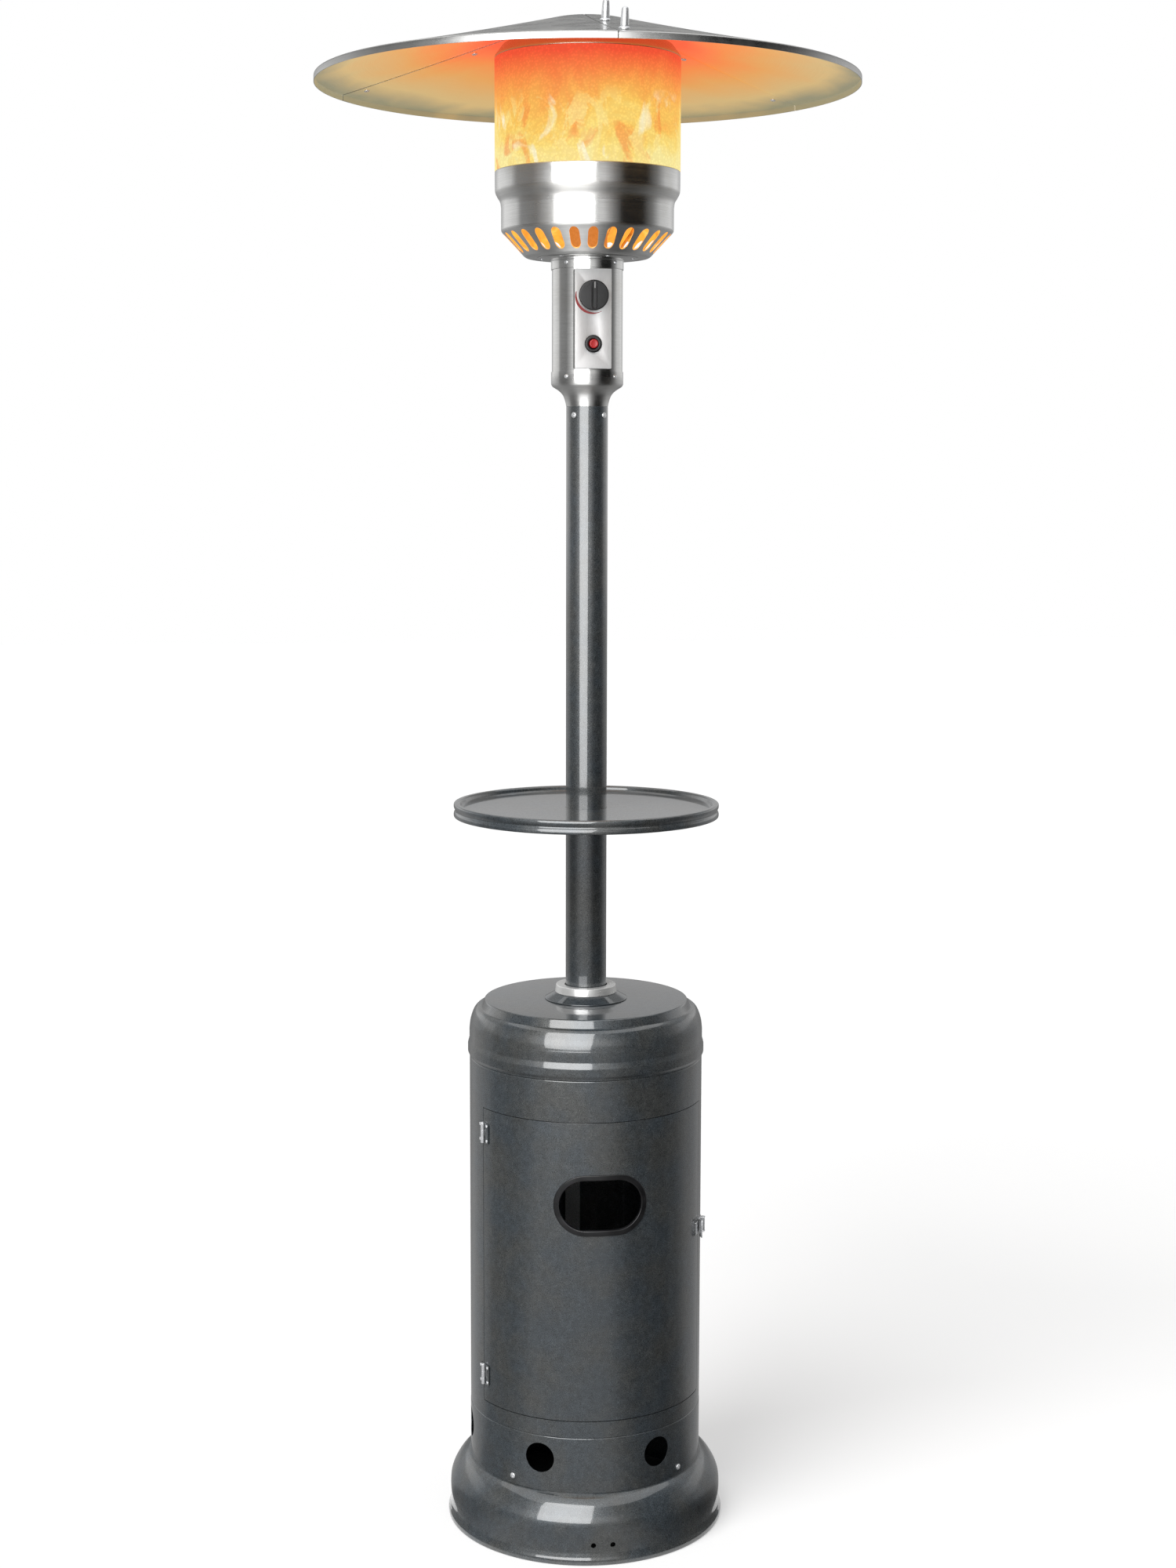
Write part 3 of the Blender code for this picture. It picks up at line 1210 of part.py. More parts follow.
def make_control_plate(front):
    half_width = BEZEL_WIDTH / 2
    half_height = BEZEL_HEIGHT / 2
    middle = (CASE_BOTTOM + CASE_TOP) / 2
    shape = bmesh.new()
    block(
        shape, (-half_width, -PLATE_FRONT, middle - half_height),
        (half_width, -PLATE_BACK, middle + half_height),
    )
    plate = finish("control_plate", shape, surface("plate_white", (0.80, 0.80, 0.79), 0.2, 0.35))
    cut(front_hole("stem_hole_tool", knob_frame(), STEM_RADIUS + STEM_HOLE_CLEARANCE), front, plate)
    cut(front_hole("igniter_hole_tool", igniter_frame(), IGNITER_BARREL_RADIUS + IGNITER_CLEARANCE), front, plate)


def make_knob(turning, pushing):
    """The knob, its stem and the sprung plunger that the stem pushes into the valve."""
    grip_back = KNOB_BACK + KNOB_DISC
    outline = [
        (0.0, KNOB_BACK), (KNOB_RADIUS, KNOB_BACK), (KNOB_RADIUS, grip_back - KNOB_TAPER),
        (KNOB_RADIUS - KNOB_TAPER, grip_back), (0.0, grip_back),
    ]
    shape = bmesh.new()
    turn(shape, outline, TUBE_STEPS, knob_frame())
    knob = finish("control_knob", shape, plastic("knob_black", (0.012, 0.012, 0.013)), turning)
    grip = bmesh.new()
    half_width = KNOB_GRIP_WIDTH / 2
    reach = KNOB_RADIUS - KNOB_GRIP_MARGIN
    block(
        grip, (-half_width, -reach, grip_back - 2 * KNOB_TAPER), (half_width, reach, grip_back + KNOB_GRIP),
        knob_frame(),
    )
    combine(knob, tool("knob_grip_tool", grip), "UNION")
    bore = bmesh.new()
    rod(bore, STEM_BORE_RADIUS, KNOB_BACK - OVERRUN, KNOB_BACK + STEM_SEAT + TOUCH, SMALL_STEPS, knob_frame())
    cut(tool("knob_bore_tool", bore), knob)

    shape = bmesh.new()
    stem_back = VALVE_FRONT - VALVE_BORE_DEPTH + STEM_SLACK
    rod(shape, STEM_RADIUS, stem_back, KNOB_BACK + STEM_SEAT, SMALL_STEPS, knob_frame())
    finish("valve_stem", shape, zinc("stem_zinc"), turning)

    front = VALVE_FRONT - PLUNGER_SETBACK
    outer = STEM_BORE_RADIUS + PLUNGER_WALL
    outline = [
        (STEM_BORE_RADIUS, front - PLUNGER_LENGTH), (outer, front - PLUNGER_LENGTH), (outer, front),
        (STEM_BORE_RADIUS, front),
    ]
    shape = bmesh.new()
    turn(shape, outline, SMALL_STEPS, knob_frame())
    finish("valve_plunger", shape, brass("plunger_brass"), pushing)


def make_gas_valve():
    half_width = VALVE_WIDTH / 2
    shape = bmesh.new()
    block(shape, (-half_width, -VALVE_FRONT, VALVE_BOTTOM), (half_width, -VALVE_BACK, VALVE_TOP))
    valve = finish("gas_valve", shape, brass("valve_brass"))
    bore = bmesh.new()
    rod(bore, VALVE_BORE_RADIUS, VALVE_FRONT - VALVE_BORE_DEPTH, VALVE_FRONT + OVERRUN, TUBE_STEPS, knob_frame())
    cut(tool("valve_bore_tool", bore), valve)


def make_igniter(button_carrier):
    back = IGNITER_FRONT - IGNITER_LENGTH
    bore_radius = BUTTON_RADIUS + IGNITER_CLEARANCE
    bore_back = IGNITER_FRONT - IGNITER_BORE_DEPTH
    outline = [
        (0.0, back), (IGNITER_BARREL_RADIUS, back), (IGNITER_BARREL_RADIUS, PLATE_FRONT + TOUCH),
        (IGNITER_FLANGE_RADIUS, PLATE_FRONT + TOUCH), (IGNITER_FLANGE_RADIUS, IGNITER_FRONT - IGNITER_FLANGE / 2),
        (IGNITER_FLANGE_RADIUS - IGNITER_FLANGE / 2, IGNITER_FRONT), (bore_radius, IGNITER_FRONT),
        (bore_radius, bore_back), (0.0, bore_back),
    ]
    shape = bmesh.new()
    turn(shape, outline, TUBE_STEPS, igniter_frame())
    finish("igniter_body", shape, plastic("igniter_black", (0.012, 0.012, 0.013)))
    front = IGNITER_FRONT + BUTTON_PROUD
    outline = [
        (0.0, front - BUTTON_LENGTH), (BUTTON_RADIUS, front - BUTTON_LENGTH), (BUTTON_RADIUS, front - BUTTON_CROWN),
        (BUTTON_RADIUS - BUTTON_CROWN, front), (0.0, front),
    ]
    shape = bmesh.new()
    turn(shape, outline, SMALL_STEPS, igniter_frame())
    finish("igniter_button", shape, plastic("button_red", (0.55, 0.015, 0.02)), button_carrier)


def make_tilt_switch():
    half_width, depth, height = TILT_SWITCH_SIZE[0] / 2, TILT_SWITCH_SIZE[1], TILT_SWITCH_SIZE[2]
    back = sqrt((CASE_RADIUS - CASE_SHEET)**2 - half_width**2) * cos(pi / TUBE_STEPS) - TOUCH
    middle = CASE_BOTTOM + TILT_SWITCH_RISE
    shape = bmesh.new()
    block(shape, (-half_width, back - depth, middle - height / 2), (half_width, back, middle + height / 2))
    finish("tilt_switch", shape, plastic("switch_black", (0.02, 0.02, 0.022)))


def pipe(shape, corners, radius, sides=SCREW_SIDES, samples=2):
    """A round tube along a smooth route through the corners, its ends square to its first and last runs."""
    route = smooth_route(corners, samples)
    normal = Vector((1.0, 0.0, 0.0))
    rings = []
    first = Vector(corners[1]) - Vector(corners[0])
    last = Vector(corners[-1]) - Vector(corners[-2])
    headings = [first] + [after - before for before, after in zip(route, route[2:])] + [last]
    for point, heading in zip(route, headings):
        along = heading.normalized()
        normal = (normal - along * normal.dot(along)).normalized()
        across = along.cross(normal)
        turns = [2 * pi * side / sides for side in range(sides)]
        rings.append([point + (normal * cos(turn) + across * sin(turn)) * radius for turn in turns])
    loft(shape, rings)


def in_case(azimuth, radius_share, height_share):
    return around(azimuth, CASE_RADIUS * radius_share, CASE_BOTTOM + CASE_HEIGHT * height_share)


def make_gas_line():
    bottom = LEG_PLATE_BOTTOM - GAS_LINE_HANG
    top = VALVE_BOTTOM - TOUCH
    depth = -VALVE_LINE_Y
    bend = [around(0.0, depth * depth_share, top - depth * rise_share) for depth_share, rise_share in LINE_BEND_SHARES]
    straight = Vector((0.0, 0.0, TAPER_BOTTOM))
    shape = bmesh.new()
    corners = [Vector((0.0, 0.0, bottom)), straight] + bend + [around(0.0, depth, top)]
    pipe(shape, corners, GAS_LINE_RADIUS)
    finish("gas_line", shape, zinc("line_zinc"))

    bore = GAS_LINE_RADIUS + TOUCH
    nut_bottom = bottom - TOUCH
    inlet_bottom = bottom + INLET_NUT_LENGTH - INLET_LENGTH
    outline = [
        (0.0, inlet_bottom), (INLET_RADIUS, inlet_bottom), (INLET_RADIUS, nut_bottom),
        (INLET_NUT_RADIUS, nut_bottom), (INLET_NUT_RADIUS, bottom + INLET_NUT_LENGTH),
        (bore, bottom + INLET_NUT_LENGTH), (bore, nut_bottom), (0.0, nut_bottom),
    ]
    shape = bmesh.new()
    turn(shape, outline, SMALL_STEPS)
    finish("gas_inlet", shape, brass("inlet_brass"))


def make_burner_tube():
    """The line from the valve's top to the jet in the burner's bore."""
    start = around(0.0, -VALVE_LINE_Y, VALVE_TOP + TOUCH) - Vector((MAIN_TUBE_OFFSET, 0.0, 0.0))
    jet_bottom = BOWL_FLOOR_TOP
    rise = jet_bottom - VALVE_TOP
    middle = start * 0.5 + Vector((0.0, 0.0, VALVE_TOP + rise / 2)) * 0.5
    middle.z = VALVE_TOP + rise / 2
    lower = start + Vector((0.0, 0.0, rise / 5))
    shape = bmesh.new()
    pipe(shape, [start, lower, middle, Vector((0.0, 0.0, jet_bottom + JET_LENGTH / 2))], MAIN_TUBE_RADIUS)
    burner_tube = finish("burner_tube", shape, brass("tube_brass"))
    jet = bmesh.new()
    rod(jet, JET_RADIUS, jet_bottom, jet_bottom + JET_LENGTH, SMALL_STEPS)
    combine(burner_tube, tool("jet_tool", jet), "UNION")


def make_lead(name, start, hole_azimuth, azimuth, radius, tip_radius, tip, material):
    """A tube or lead from a start inside the case, through the floor and up past the burner plate."""
    hole = around(hole_azimuth, FLOOR_HOLE_RING, NECK_TOP)
    inside = around(hole_azimuth, FLOOR_HOLE_RING, BOWL_FLOOR_TOP + BOWL_SHEET)
    spread = around((hole_azimuth + azimuth) / 2, (FLOOR_HOLE_RING + PILOT_RING) / 2, BOWL_BOTTOM + BOWL_CONE_HEIGHT)
    below = around(azimuth, PILOT_RING, BURNER_PLATE_TOP - PILOT_RISE)
    end = around(azimuth, PILOT_RING, BURNER_PLATE_TOP + tip)
    shape = bmesh.new()
    pipe(shape, start + [hole, inside, spread, below, end], radius)
    lead = finish(name, shape, material)
    top = bmesh.new()
    bottom = BURNER_PLATE_TOP - LEAD_TIP_LAP
    rod(top, tip_radius, bottom, end.z - LEAD_TIP_LAP / 2, COARSE, standing(azimuth, PILOT_RING))
    combine(lead, tool(name + "_tip_tool", top), "UNION")
    return lead


def make_leads(neck, bowl, burner_plate):
    """Pilot tube, thermocouple and spark lead, and the holes that they pass through."""
    pilot_start = around(0.0, -VALVE_LINE_Y, VALVE_TOP + TOUCH) + Vector((PILOT_OFFSET, 0.0, 0.0))
    pilot = [pilot_start, pilot_start + Vector((0.0, 0.0, LEAD_RUN))] + [in_case(*shares) for shares in PILOT_ROUTE_SHARES]
    couple_start = around(0.0, VALVE_BACK - TOUCH, KNOB_HEIGHT) + Vector((THERMOCOUPLE_OFFSET, 0.0, 0.0))
    backward = Vector((0.0, LEAD_RUN, 0.0))
    couple = [couple_start, couple_start + backward] + [in_case(*shares) for shares in THERMOCOUPLE_ROUTE_SHARES]
    spark_start = around(0.0, IGNITER_FRONT - IGNITER_LENGTH - TOUCH, IGNITER_HEIGHT)
    spark = [spark_start, spark_start + backward] + [in_case(*shares) for shares in SPARK_ROUTE_SHARES]
    tip = PILOT_RISE
    make_lead(
        "pilot_tube", pilot, PILOT_HOLE_AZIMUTH, PILOT_AZIMUTH, PILOT_TUBE_RADIUS, PILOT_NOZZLE_RADIUS, tip,
        brass("pilot_brass"),
    )
    make_lead(
        "thermocouple", couple, THERMOCOUPLE_HOLE_AZIMUTH, THERMOCOUPLE_AZIMUTH, LEAD_RADIUS,
        THERMOCOUPLE_TIP_RADIUS, tip, brass("thermocouple_copper"),
    )
    make_lead(
        "spark_electrode", spark, SPARK_HOLE_AZIMUTH, SPARK_AZIMUTH, LEAD_RADIUS, SPARK_CERAMIC_RADIUS, tip,
        plastic("ceramic_white", (0.75, 0.74, 0.70)),
    )
    shape = bmesh.new()
    floor_hole = PILOT_TUBE_RADIUS + LEAD_HOLE_CLEARANCE
    for azimuth in (PILOT_HOLE_AZIMUTH, THERMOCOUPLE_HOLE_AZIMUTH, SPARK_HOLE_AZIMUTH):
        place = standing(azimuth, FLOOR_HOLE_RING)
        rod(shape, floor_hole, NECK_TOP - OVERRUN, BOWL_FLOOR_TOP + OVERRUN, SMALL_STEPS, place)
    cut(tool("lead_floor_tool", shape), neck, bowl)
    shape = bmesh.new()
    plate_hole = PILOT_NOZZLE_RADIUS + LEAD_HOLE_CLEARANCE / 2
    for azimuth in (PILOT_AZIMUTH, THERMOCOUPLE_AZIMUTH, SPARK_AZIMUTH):
        place = standing(azimuth, PILOT_RING)
        rod(shape, plate_hole, BURNER_PLATE_TOP - OVERRUN, BURNER_PLATE_TOP + OVERRUN, SMALL_STEPS, place)
    cut(tool("lead_plate_tool", shape), burner_plate)


def make_neck():
    """The sleeve over the case's top, with a bead and the flange that carries the bowl."""
    bead = SLEEVE_RADIUS + NECK_BEAD
    bead_bottom = CASE_TOP + UPPER_SLEEVE_HEIGHT * NECK_BEAD_SHARE
    top = NECK_TOP + NECK_SHEET
    outline = [
        (SLEEVE_INNER, CASE_TOP), (SLEEVE_RADIUS, CASE_TOP), (SLEEVE_RADIUS, bead_bottom),
        (bead, bead_bottom + NECK_BEAD), (bead, NECK_TOP), (NECK_FLANGE_RADIUS, NECK_TOP), (NECK_FLANGE_RADIUS, top),
        (BOWL_MOUTH_RADIUS, top), (BOWL_MOUTH_RADIUS, NECK_TOP), (SLEEVE_INNER, NECK_TOP),
    ]
    shape = bmesh.new()
    turn(shape, outline, TUBE_STEPS)
    return finish("head_neck", shape, polished("neck_polish"))


def bowl_outline():
    cone_top = BOWL_BOTTOM + BOWL_CONE_HEIGHT
    step_bottom = cone_top + BOWL_BAND_HEIGHT
    step_top = step_bottom + BOWL_STEP_HEIGHT
    outline = [
        (BOWL_MOUTH_RADIUS, BOWL_BOTTOM), (BOWL_FLOOR_RADIUS, BOWL_BOTTOM),
        (BOWL_BAND_RADIUS - BOWL_CONE_ROLL, cone_top - BOWL_CONE_ROLL), (BOWL_BAND_RADIUS, cone_top),
        (BOWL_BAND_RADIUS, step_bottom),
    ]
    for width_share, height_share in BOWL_STEP_SHARES:
        radius = BOWL_BAND_RADIUS + (BOWL_RADIUS - BOWL_BAND_RADIUS) * width_share
        outline.append((radius, step_bottom + BOWL_STEP_HEIGHT * height_share))
    outline += [(BOWL_RADIUS, step_top), (BOWL_RADIUS, BOWL_TOP), (BOWL_RADIUS - BOWL_LIP, BOWL_TOP)]
    return outline


def make_bowl():
    shape = bmesh.new()
    turn(shape, skin(bowl_outline(), BOWL_SHEET), BOWL_STEPS)
    bowl = finish("head_bowl", shape, polished("bowl_steel"))
    shape = bmesh.new()
    middle = SLOT_OUTER_RADIUS - SLOT_LENGTH / 2
    for index in range(SLOT_COUNT):
        azimuth = SLOT_AZIMUTH + 360.0 * index / SLOT_COUNT
        place = standing(azimuth, middle) @ Matrix.Rotation(radians(azimuth) - pi / 2, 4, "Z")
        outline = obround(SLOT_LENGTH / 2, SLOT_WIDTH / 2, SLOT_END_STEPS)
        slab(shape, outline, BOWL_FLOOR_TOP, BOWL_BOTTOM + BOWL_CONE_HEIGHT + OVERRUN, place)
    cut(tool("slot_tool", shape), bowl)
    return bowl


def make_neck_screws(neck, bowl):
    """Screws from under the flange into the bowl's floor."""
    height = NECK_TOP + NECK_SHEET / 2
    places = [pointing_down(azimuth, NECK_SCREW_RING, height) for azimuth in NECK_SCREW_AZIMUTHS]
    sizes = (CASE_SCREW_HEAD_RADIUS, CASE_SCREW_HEAD, CASE_SCREW_RADIUS, CASE_SCREW_LENGTH)
    fasten(neck, "neck_screw_tool", places, *sizes)
    radius = CASE_SCREW_RADIUS + CASE_SCREW_CLEARANCE
    cut(screw_holes("neck_hole_tool", places, radius, CASE_SCREW_LENGTH + OVERRUN), bowl)


def make_burner():
    """The mixing pot with its foot on the bowl's floor, a flared head and the jet's bore."""
    foot = BOWL_FLOOR_TOP + TOUCH
    body_top = foot + BURNER_BODY_HEIGHT
    head_bottom = body_top + BURNER_HEAD_FLARE
    head_top = head_bottom + BURNER_HEAD_HEIGHT
    outline = [
        (BURNER_BORE_RADIUS, foot), (BURNER_FOOT_RADIUS, foot), (BURNER_FOOT_RADIUS, foot + BURNER_FOOT),
        (BURNER_BODY_RADIUS, foot + BURNER_FOOT), (BURNER_BODY_RADIUS, body_top),
        (BURNER_HEAD_RADIUS, head_bottom), (BURNER_HEAD_RADIUS, head_top),
        (BURNER_HEAD_RADIUS / 2, head_top + BURNER_HEAD_DOME), (0.0, head_top + BURNER_HEAD_DOME),
        (0.0, foot + BURNER_BORE_DEPTH), (BURNER_BORE_RADIUS, foot + BURNER_BORE_DEPTH),
    ]
    shape = bmesh.new()
    turn(shape, outline, TUBE_STEPS)
    finish("burner", shape, steel("burner_iron"))

    bottom = BURNER_PLATE_TOP - BURNER_PLATE_SHEET
    inner = BURNER_HEAD_RADIUS + BURNER_PLATE_CLEARANCE
    outer = BOWL_RADIUS - BOWL_SHEET - TOUCH
    outline = [(inner, bottom), (outer, bottom), (outer, BURNER_PLATE_TOP), (inner, BURNER_PLATE_TOP)]
    shape = bmesh.new()
    turn(shape, outline, BOWL_STEPS)
    return finish("burner_plate", shape, steel("burner_plate_steel"))


def make_emitter():
    inner = BOWL_RADIUS - EMITTER_SHEET
    outline = [
        (inner, EMITTER_BOTTOM), (BOWL_RADIUS, EMITTER_BOTTOM), (BOWL_RADIUS, EMITTER_TOP), (inner, EMITTER_TOP),
    ]
    shape = bmesh.new()
    turn(shape, outline, BOWL_STEPS)
    finish("emitter_screen", shape, surface("emitter_hot", (0.75, 0.22, 0.08), 0.5, 0.5))

    skirt = inner - TOUCH
    taper = BOWL_RADIUS - EMITTER_CAP_TAPER
    outline = [
        (skirt, EMITTER_TOP - EMITTER_CAP_SKIRT), (skirt, EMITTER_CAP_BOTTOM), (BOWL_RADIUS, EMITTER_CAP_BOTTOM),
        (BOWL_RADIUS, EMITTER_CAP_BOTTOM + EMITTER_CAP_RIM), (taper, EMITTER_CAP_TOP - EMITTER_CAP_ROLL),
        (taper - EMITTER_CAP_ROLL, EMITTER_CAP_TOP), (0.0, EMITTER_CAP_TOP),
    ]
    shape = bmesh.new()
    turn(shape, skin(outline, EMITTER_CAP_SHEET), BOWL_STEPS)
    finish("emitter_cap", shape, steel("emitter_cap_steel"))


def make_hood_plate():
    """The disc that carries the hood, on three spacers, with screws up through the panels."""
    shape = bmesh.new()
    rod(shape, HOOD_FLAT_RADIUS - HOOD_PLATE_MARGIN, HOOD_PLATE_BOTTOM, HOOD_PLATE_TOP, TUBE_STEPS)
    plate = finish("hood_plate", shape, steel("hood_plate_steel"))
    middle = (HOOD_PLATE_BOTTOM + HOOD_PLATE_TOP) / 2
    spacers = bmesh.new()
    for azimuth in SPACER_AZIMUTHS:
        rod(spacers, SPACER_RADIUS, SPACER_BOTTOM, middle, SMALL_STEPS, standing(azimuth, SPACER_RING))
    combine(plate, tool("spacer_tool", spacers), "UNION")
    return plate


def hood_outline():
    """The hood's outer profile as (radius, height), from the lip's edge in to the eye."""
    lip_top = HOOD_TOP - HOOD_RISE
    lip_bottom = lip_top - HOOD_LIP
    outline = [
        (HOOD_RADIUS, lip_bottom), (HOOD_RADIUS, lip_top - HOOD_LIP_ROLL), (HOOD_RADIUS - HOOD_LIP_ROLL, lip_top),
    ]
    for share in HOOD_PROFILE_SHARES:
        radius = HOOD_RADIUS + (HOOD_FLAT_RADIUS - HOOD_RADIUS) * share
        bow = HOOD_BOW * 4 * share * (1 - share)
        outline.append((radius, lip_top + HOOD_RISE * share - bow))
    outline += [(HOOD_FLAT_RADIUS, HOOD_TOP), (HOOD_EYE_RADIUS, HOOD_TOP)]
    return outline


def hood_ring(section, start, width, next_share=0.0, span=0.0, next_width=0.0):
    """The section's points at a width from a seam, or part of the way on to the next seam's width."""
    ring = []
    for radius, height in section:
        first = radians(start) + width / radius
        last = radians(start + span) + next_width / radius
        angle = first + (last - first) * next_share
        ring.append((radius * sin(angle), -radius * cos(angle), height))
    return ring


def make_hood_panel(name, seam, material):
    """A third of the hood, whose far edge steps down under the next panel."""
    half = HOOD_OVERLAP / 2
    upper = skin(hood_outline(), HOOD_SHEET)
    lower = skin(inset(hood_outline(), HOOD_STEP), HOOD_SHEET)
    span = 360.0 / len(HOOD_SEAM_AZIMUTHS)
    rings = [hood_ring(upper, seam, 2 * TOUCH - half), hood_ring(upper, seam, 0.0)]
    for step in range(HOOD_PANEL_STEPS + 1):
        share = step / HOOD_PANEL_STEPS
        rings.append(hood_ring(upper, seam, half, share, span, -half - HOOD_JOGGLE))
    rings += [hood_ring(lower, seam + span, width) for width in (-half, 0.0, half)]
    shape = bmesh.new()
    loft(shape, rings)
    return finish(name, shape, material)


def hood_frame(azimuth, radius):
    """A frame on the hood's outer surface whose Z is square to it."""
    outline = hood_outline()
    for outer, inner in zip(outline, outline[1:]):
        if inner[0] <= radius <= outer[0]:
            slope = (inner[1] - outer[1]) / (outer[0] - inner[0])
            height = outer[1] + (outer[0] - radius) * slope
            lean = atan2(slope, 1.0)
    return facing(azimuth, radius, height) @ Matrix.Rotation(lean - pi / 2, 4, "X")


def make_hood(plate):
    panels = []
    for index, seam in enumerate(HOOD_SEAM_AZIMUTHS):
        name = f"hood_panel_{index + 1}"
        panels.append(make_hood_panel(name, seam, steel(name + "_steel")))

    height = HOOD_TOP + TOUCH
    places = [upright(facing(azimuth, SPACER_RING, height)) for azimuth in SPACER_AZIMUTHS]
    length = height - (HOOD_PLATE_BOTTOM + HOOD_PLATE_TOP) / 2
    fasten(plate, "hood_screw_tool", places, HOOD_SCREW_HEAD_RADIUS, HOOD_SCREW_HEAD, HOOD_SCREW_RADIUS, length)
    cut(screw_holes("hood_hole_tool", places, HOOD_SCREW_RADIUS + HOOD_SCREW_CLEARANCE, length), *panels)

    under = HOOD_STEP + HOOD_SHEET + TOUCH
    outline = [
        (0.0, -under - HOOD_BOLT_HEAD), (HOOD_BOLT_HEAD_RADIUS, -under - HOOD_BOLT_HEAD),
        (HOOD_BOLT_HEAD_RADIUS, -under), (HOOD_BOLT_RADIUS, -under), (HOOD_BOLT_RADIUS, TOUCH),
        (CAP_NUT_FOOT_RADIUS, TOUCH), (CAP_NUT_FOOT_RADIUS, CAP_NUT_FOOT), (CAP_NUT_RADIUS, CAP_NUT_FOOT),
        (CAP_NUT_RADIUS, CAP_NUT_HEIGHT - CAP_NUT_TIP),
        (CAP_NUT_RADIUS * CAP_NUT_TIP_SHARE, CAP_NUT_HEIGHT - CAP_NUT_TIP / 4), (0.0, CAP_NUT_HEIGHT),
    ]
    rings = [HOOD_RADIUS * share for share in HOOD_BOLT_RING_SHARES]
    places = [hood_frame(seam, ring) for seam in HOOD_SEAM_AZIMUTHS for ring in rings]
    for index, place in enumerate(places):
        stud = bmesh.new()
        turn(stud, outline, COARSE, place)
        finish(f"hood_stud_{index + 1}", stud, zinc("hood_stud_zinc"))
    radius = HOOD_BOLT_RADIUS + HOOD_BOLT_CLEARANCE
    cut(screw_holes("hood_stud_tool", places, radius, under + OVERRUN), *panels)


def main():
    clear_scene()
    hinge = pivot("door_hinge_axis", around(HINGE_AZIMUTH, hinge_axis_radius(), DOOR_BOTTOM))
    latch = pivot("latch_axis", latch_pin_frame().translation)
    pushing = pivot("knob_push_axis", around(0.0, VALVE_FRONT, KNOB_HEIGHT))
    turning = pivot("knob_turn_axis", around(0.0, KNOB_BACK, KNOB_HEIGHT))
    button = pivot("button_axis", around(0.0, IGNITER_FRONT, IGNITER_HEIGHT))

    base, floor = make_base()
    ring = make_ring()
    wall = make_wall()
    cap = make_cap()
    door = make_door(hinge)
    make_hinges(hinge, wall, door)
    make_latch(latch, hinge)

    foot = make_post_foot()
    make_support_frame(floor, cap, foot)
    make_post_collar()
    post = make_post()
    adapter = make_adapter()
    make_base_screws(ring, base)
    make_post_screws(post, adapter)
    make_table()

    neck = make_neck()
    front = make_control_case(adapter, neck)
    make_control_plate(front)
    make_knob(turning, pushing)
    make_gas_valve()
    make_igniter(button)
    make_tilt_switch()
    make_gas_line()
    make_burner_tube()

    bowl = make_bowl()
    make_neck_screws(neck, bowl)
    burner_plate = make_burner()
    make_leads(neck, bowl, burner_plate)
    make_emitter()
    make_hood(make_hood_plate())


main()
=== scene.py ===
import json
from math import atan2, cos, degrees, pi, radians, sin, sqrt

import bmesh
import bpy
from mathutils import Matrix, Vector


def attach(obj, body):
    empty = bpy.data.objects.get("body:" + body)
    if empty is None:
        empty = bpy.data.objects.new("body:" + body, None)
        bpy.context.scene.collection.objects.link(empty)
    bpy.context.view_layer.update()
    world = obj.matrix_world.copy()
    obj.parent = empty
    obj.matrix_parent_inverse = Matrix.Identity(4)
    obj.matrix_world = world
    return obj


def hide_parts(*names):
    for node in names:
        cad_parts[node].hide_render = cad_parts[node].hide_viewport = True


# Steps of a full turn, by how large the piece is
DRUM_STEPS = 288
HEAD_STEPS = 216
TUBE_STEPS = 128
SMALL_STEPS = 48
WIRE_STEPS = 24
ARC_STEPS = 5
BEVEL_STEPS = 2
SHARP_ANGLE = 32.0
BEVEL_ANGLE = 40.0
MITRE_LIMIT = 0.5

# Clearances, and the edges and screws that many pieces share
TOUCH = 0.0003
OVERRUN = 0.01
FINE_ROLL = 0.0008
EDGE_BREAK = 0.0004
SMALL_BREAK = 0.0003
SHANK_RADIUS = 0.0021
HEAD_SHOULDER_SHARES = (0.86, 0.75)
HEAD_ROLL_SHARE = 0.6
CROSS_REACH_SHARE = 0.55
CROSS_WIDTH_SHARE = 0.13
CROSS_BOTTOM_SHARE = 0.6
CROSS_TOP_SHARE = 1.01
CROSS_TURN = 36.0

# Base and drum
BASE_FOOT_RADIUS = 0.219
BASE_HEIGHT = 0.1
BASE_SHEET = 0.0015
BASE_SHOULDER_RADIUS = 0.184
BASE_NECK_RADIUS = 0.1812
BASE_NECK_HEIGHT = 0.026
BASE_FLANGE = 0.011
BASE_FOOT_ROLL = 0.003
BASE_NECK_ROLL = 0.0006
BASE_HOLE_RADIUS = 0.004
BASE_HOLE_HEIGHT = 0.031
BASE_HOLE_AZIMUTH = 4.0
FLOOR_THICKNESS = 0.006
FLOOR_LAP = 0.006
BASE_FLARE_SHARES = (
    (1.0, 0.08), (0.93, 0.15), (0.886, 0.24), (0.886, 0.53), (0.8, 0.68), (0.56, 0.835), (0.3, 0.94),
    (0.08, 0.99), (0.0, 1.0),
)
DRUM_RADIUS = 0.1824
DRUM_SHEET = 0.0012
RING_RADIUS = 0.1827
RING_BOTTOM = 0.1003
RING_TOP = 0.1885
NECK_RADIUS = 0.1809
NECK_RISE = 0.0165
NECK_STEP = 0.0015
VENT_RADIUS = 0.0235
VENT_HEIGHT = 0.1523
VENT_AZIMUTHS = (30.0, 90.0, 150.0, 210.0, 270.0, 330.0)
WALL_BOTTOM = 0.1888
WALL_TOP = 0.7482
DOOR_BOTTOM = 0.2147
DOOR_TOP = 0.6834
DOOR_HALF_ANGLE = 67.5
DOOR_SEAM = 0.0005
DOOR_EASE = 0.0006
CAP_BOTTOM = 0.7485
CAP_TOP = 0.8365
CAP_DISC_RADIUS = 0.158
CAP_DISC_EDGE = 0.0016
CAP_ROLL = 0.0012
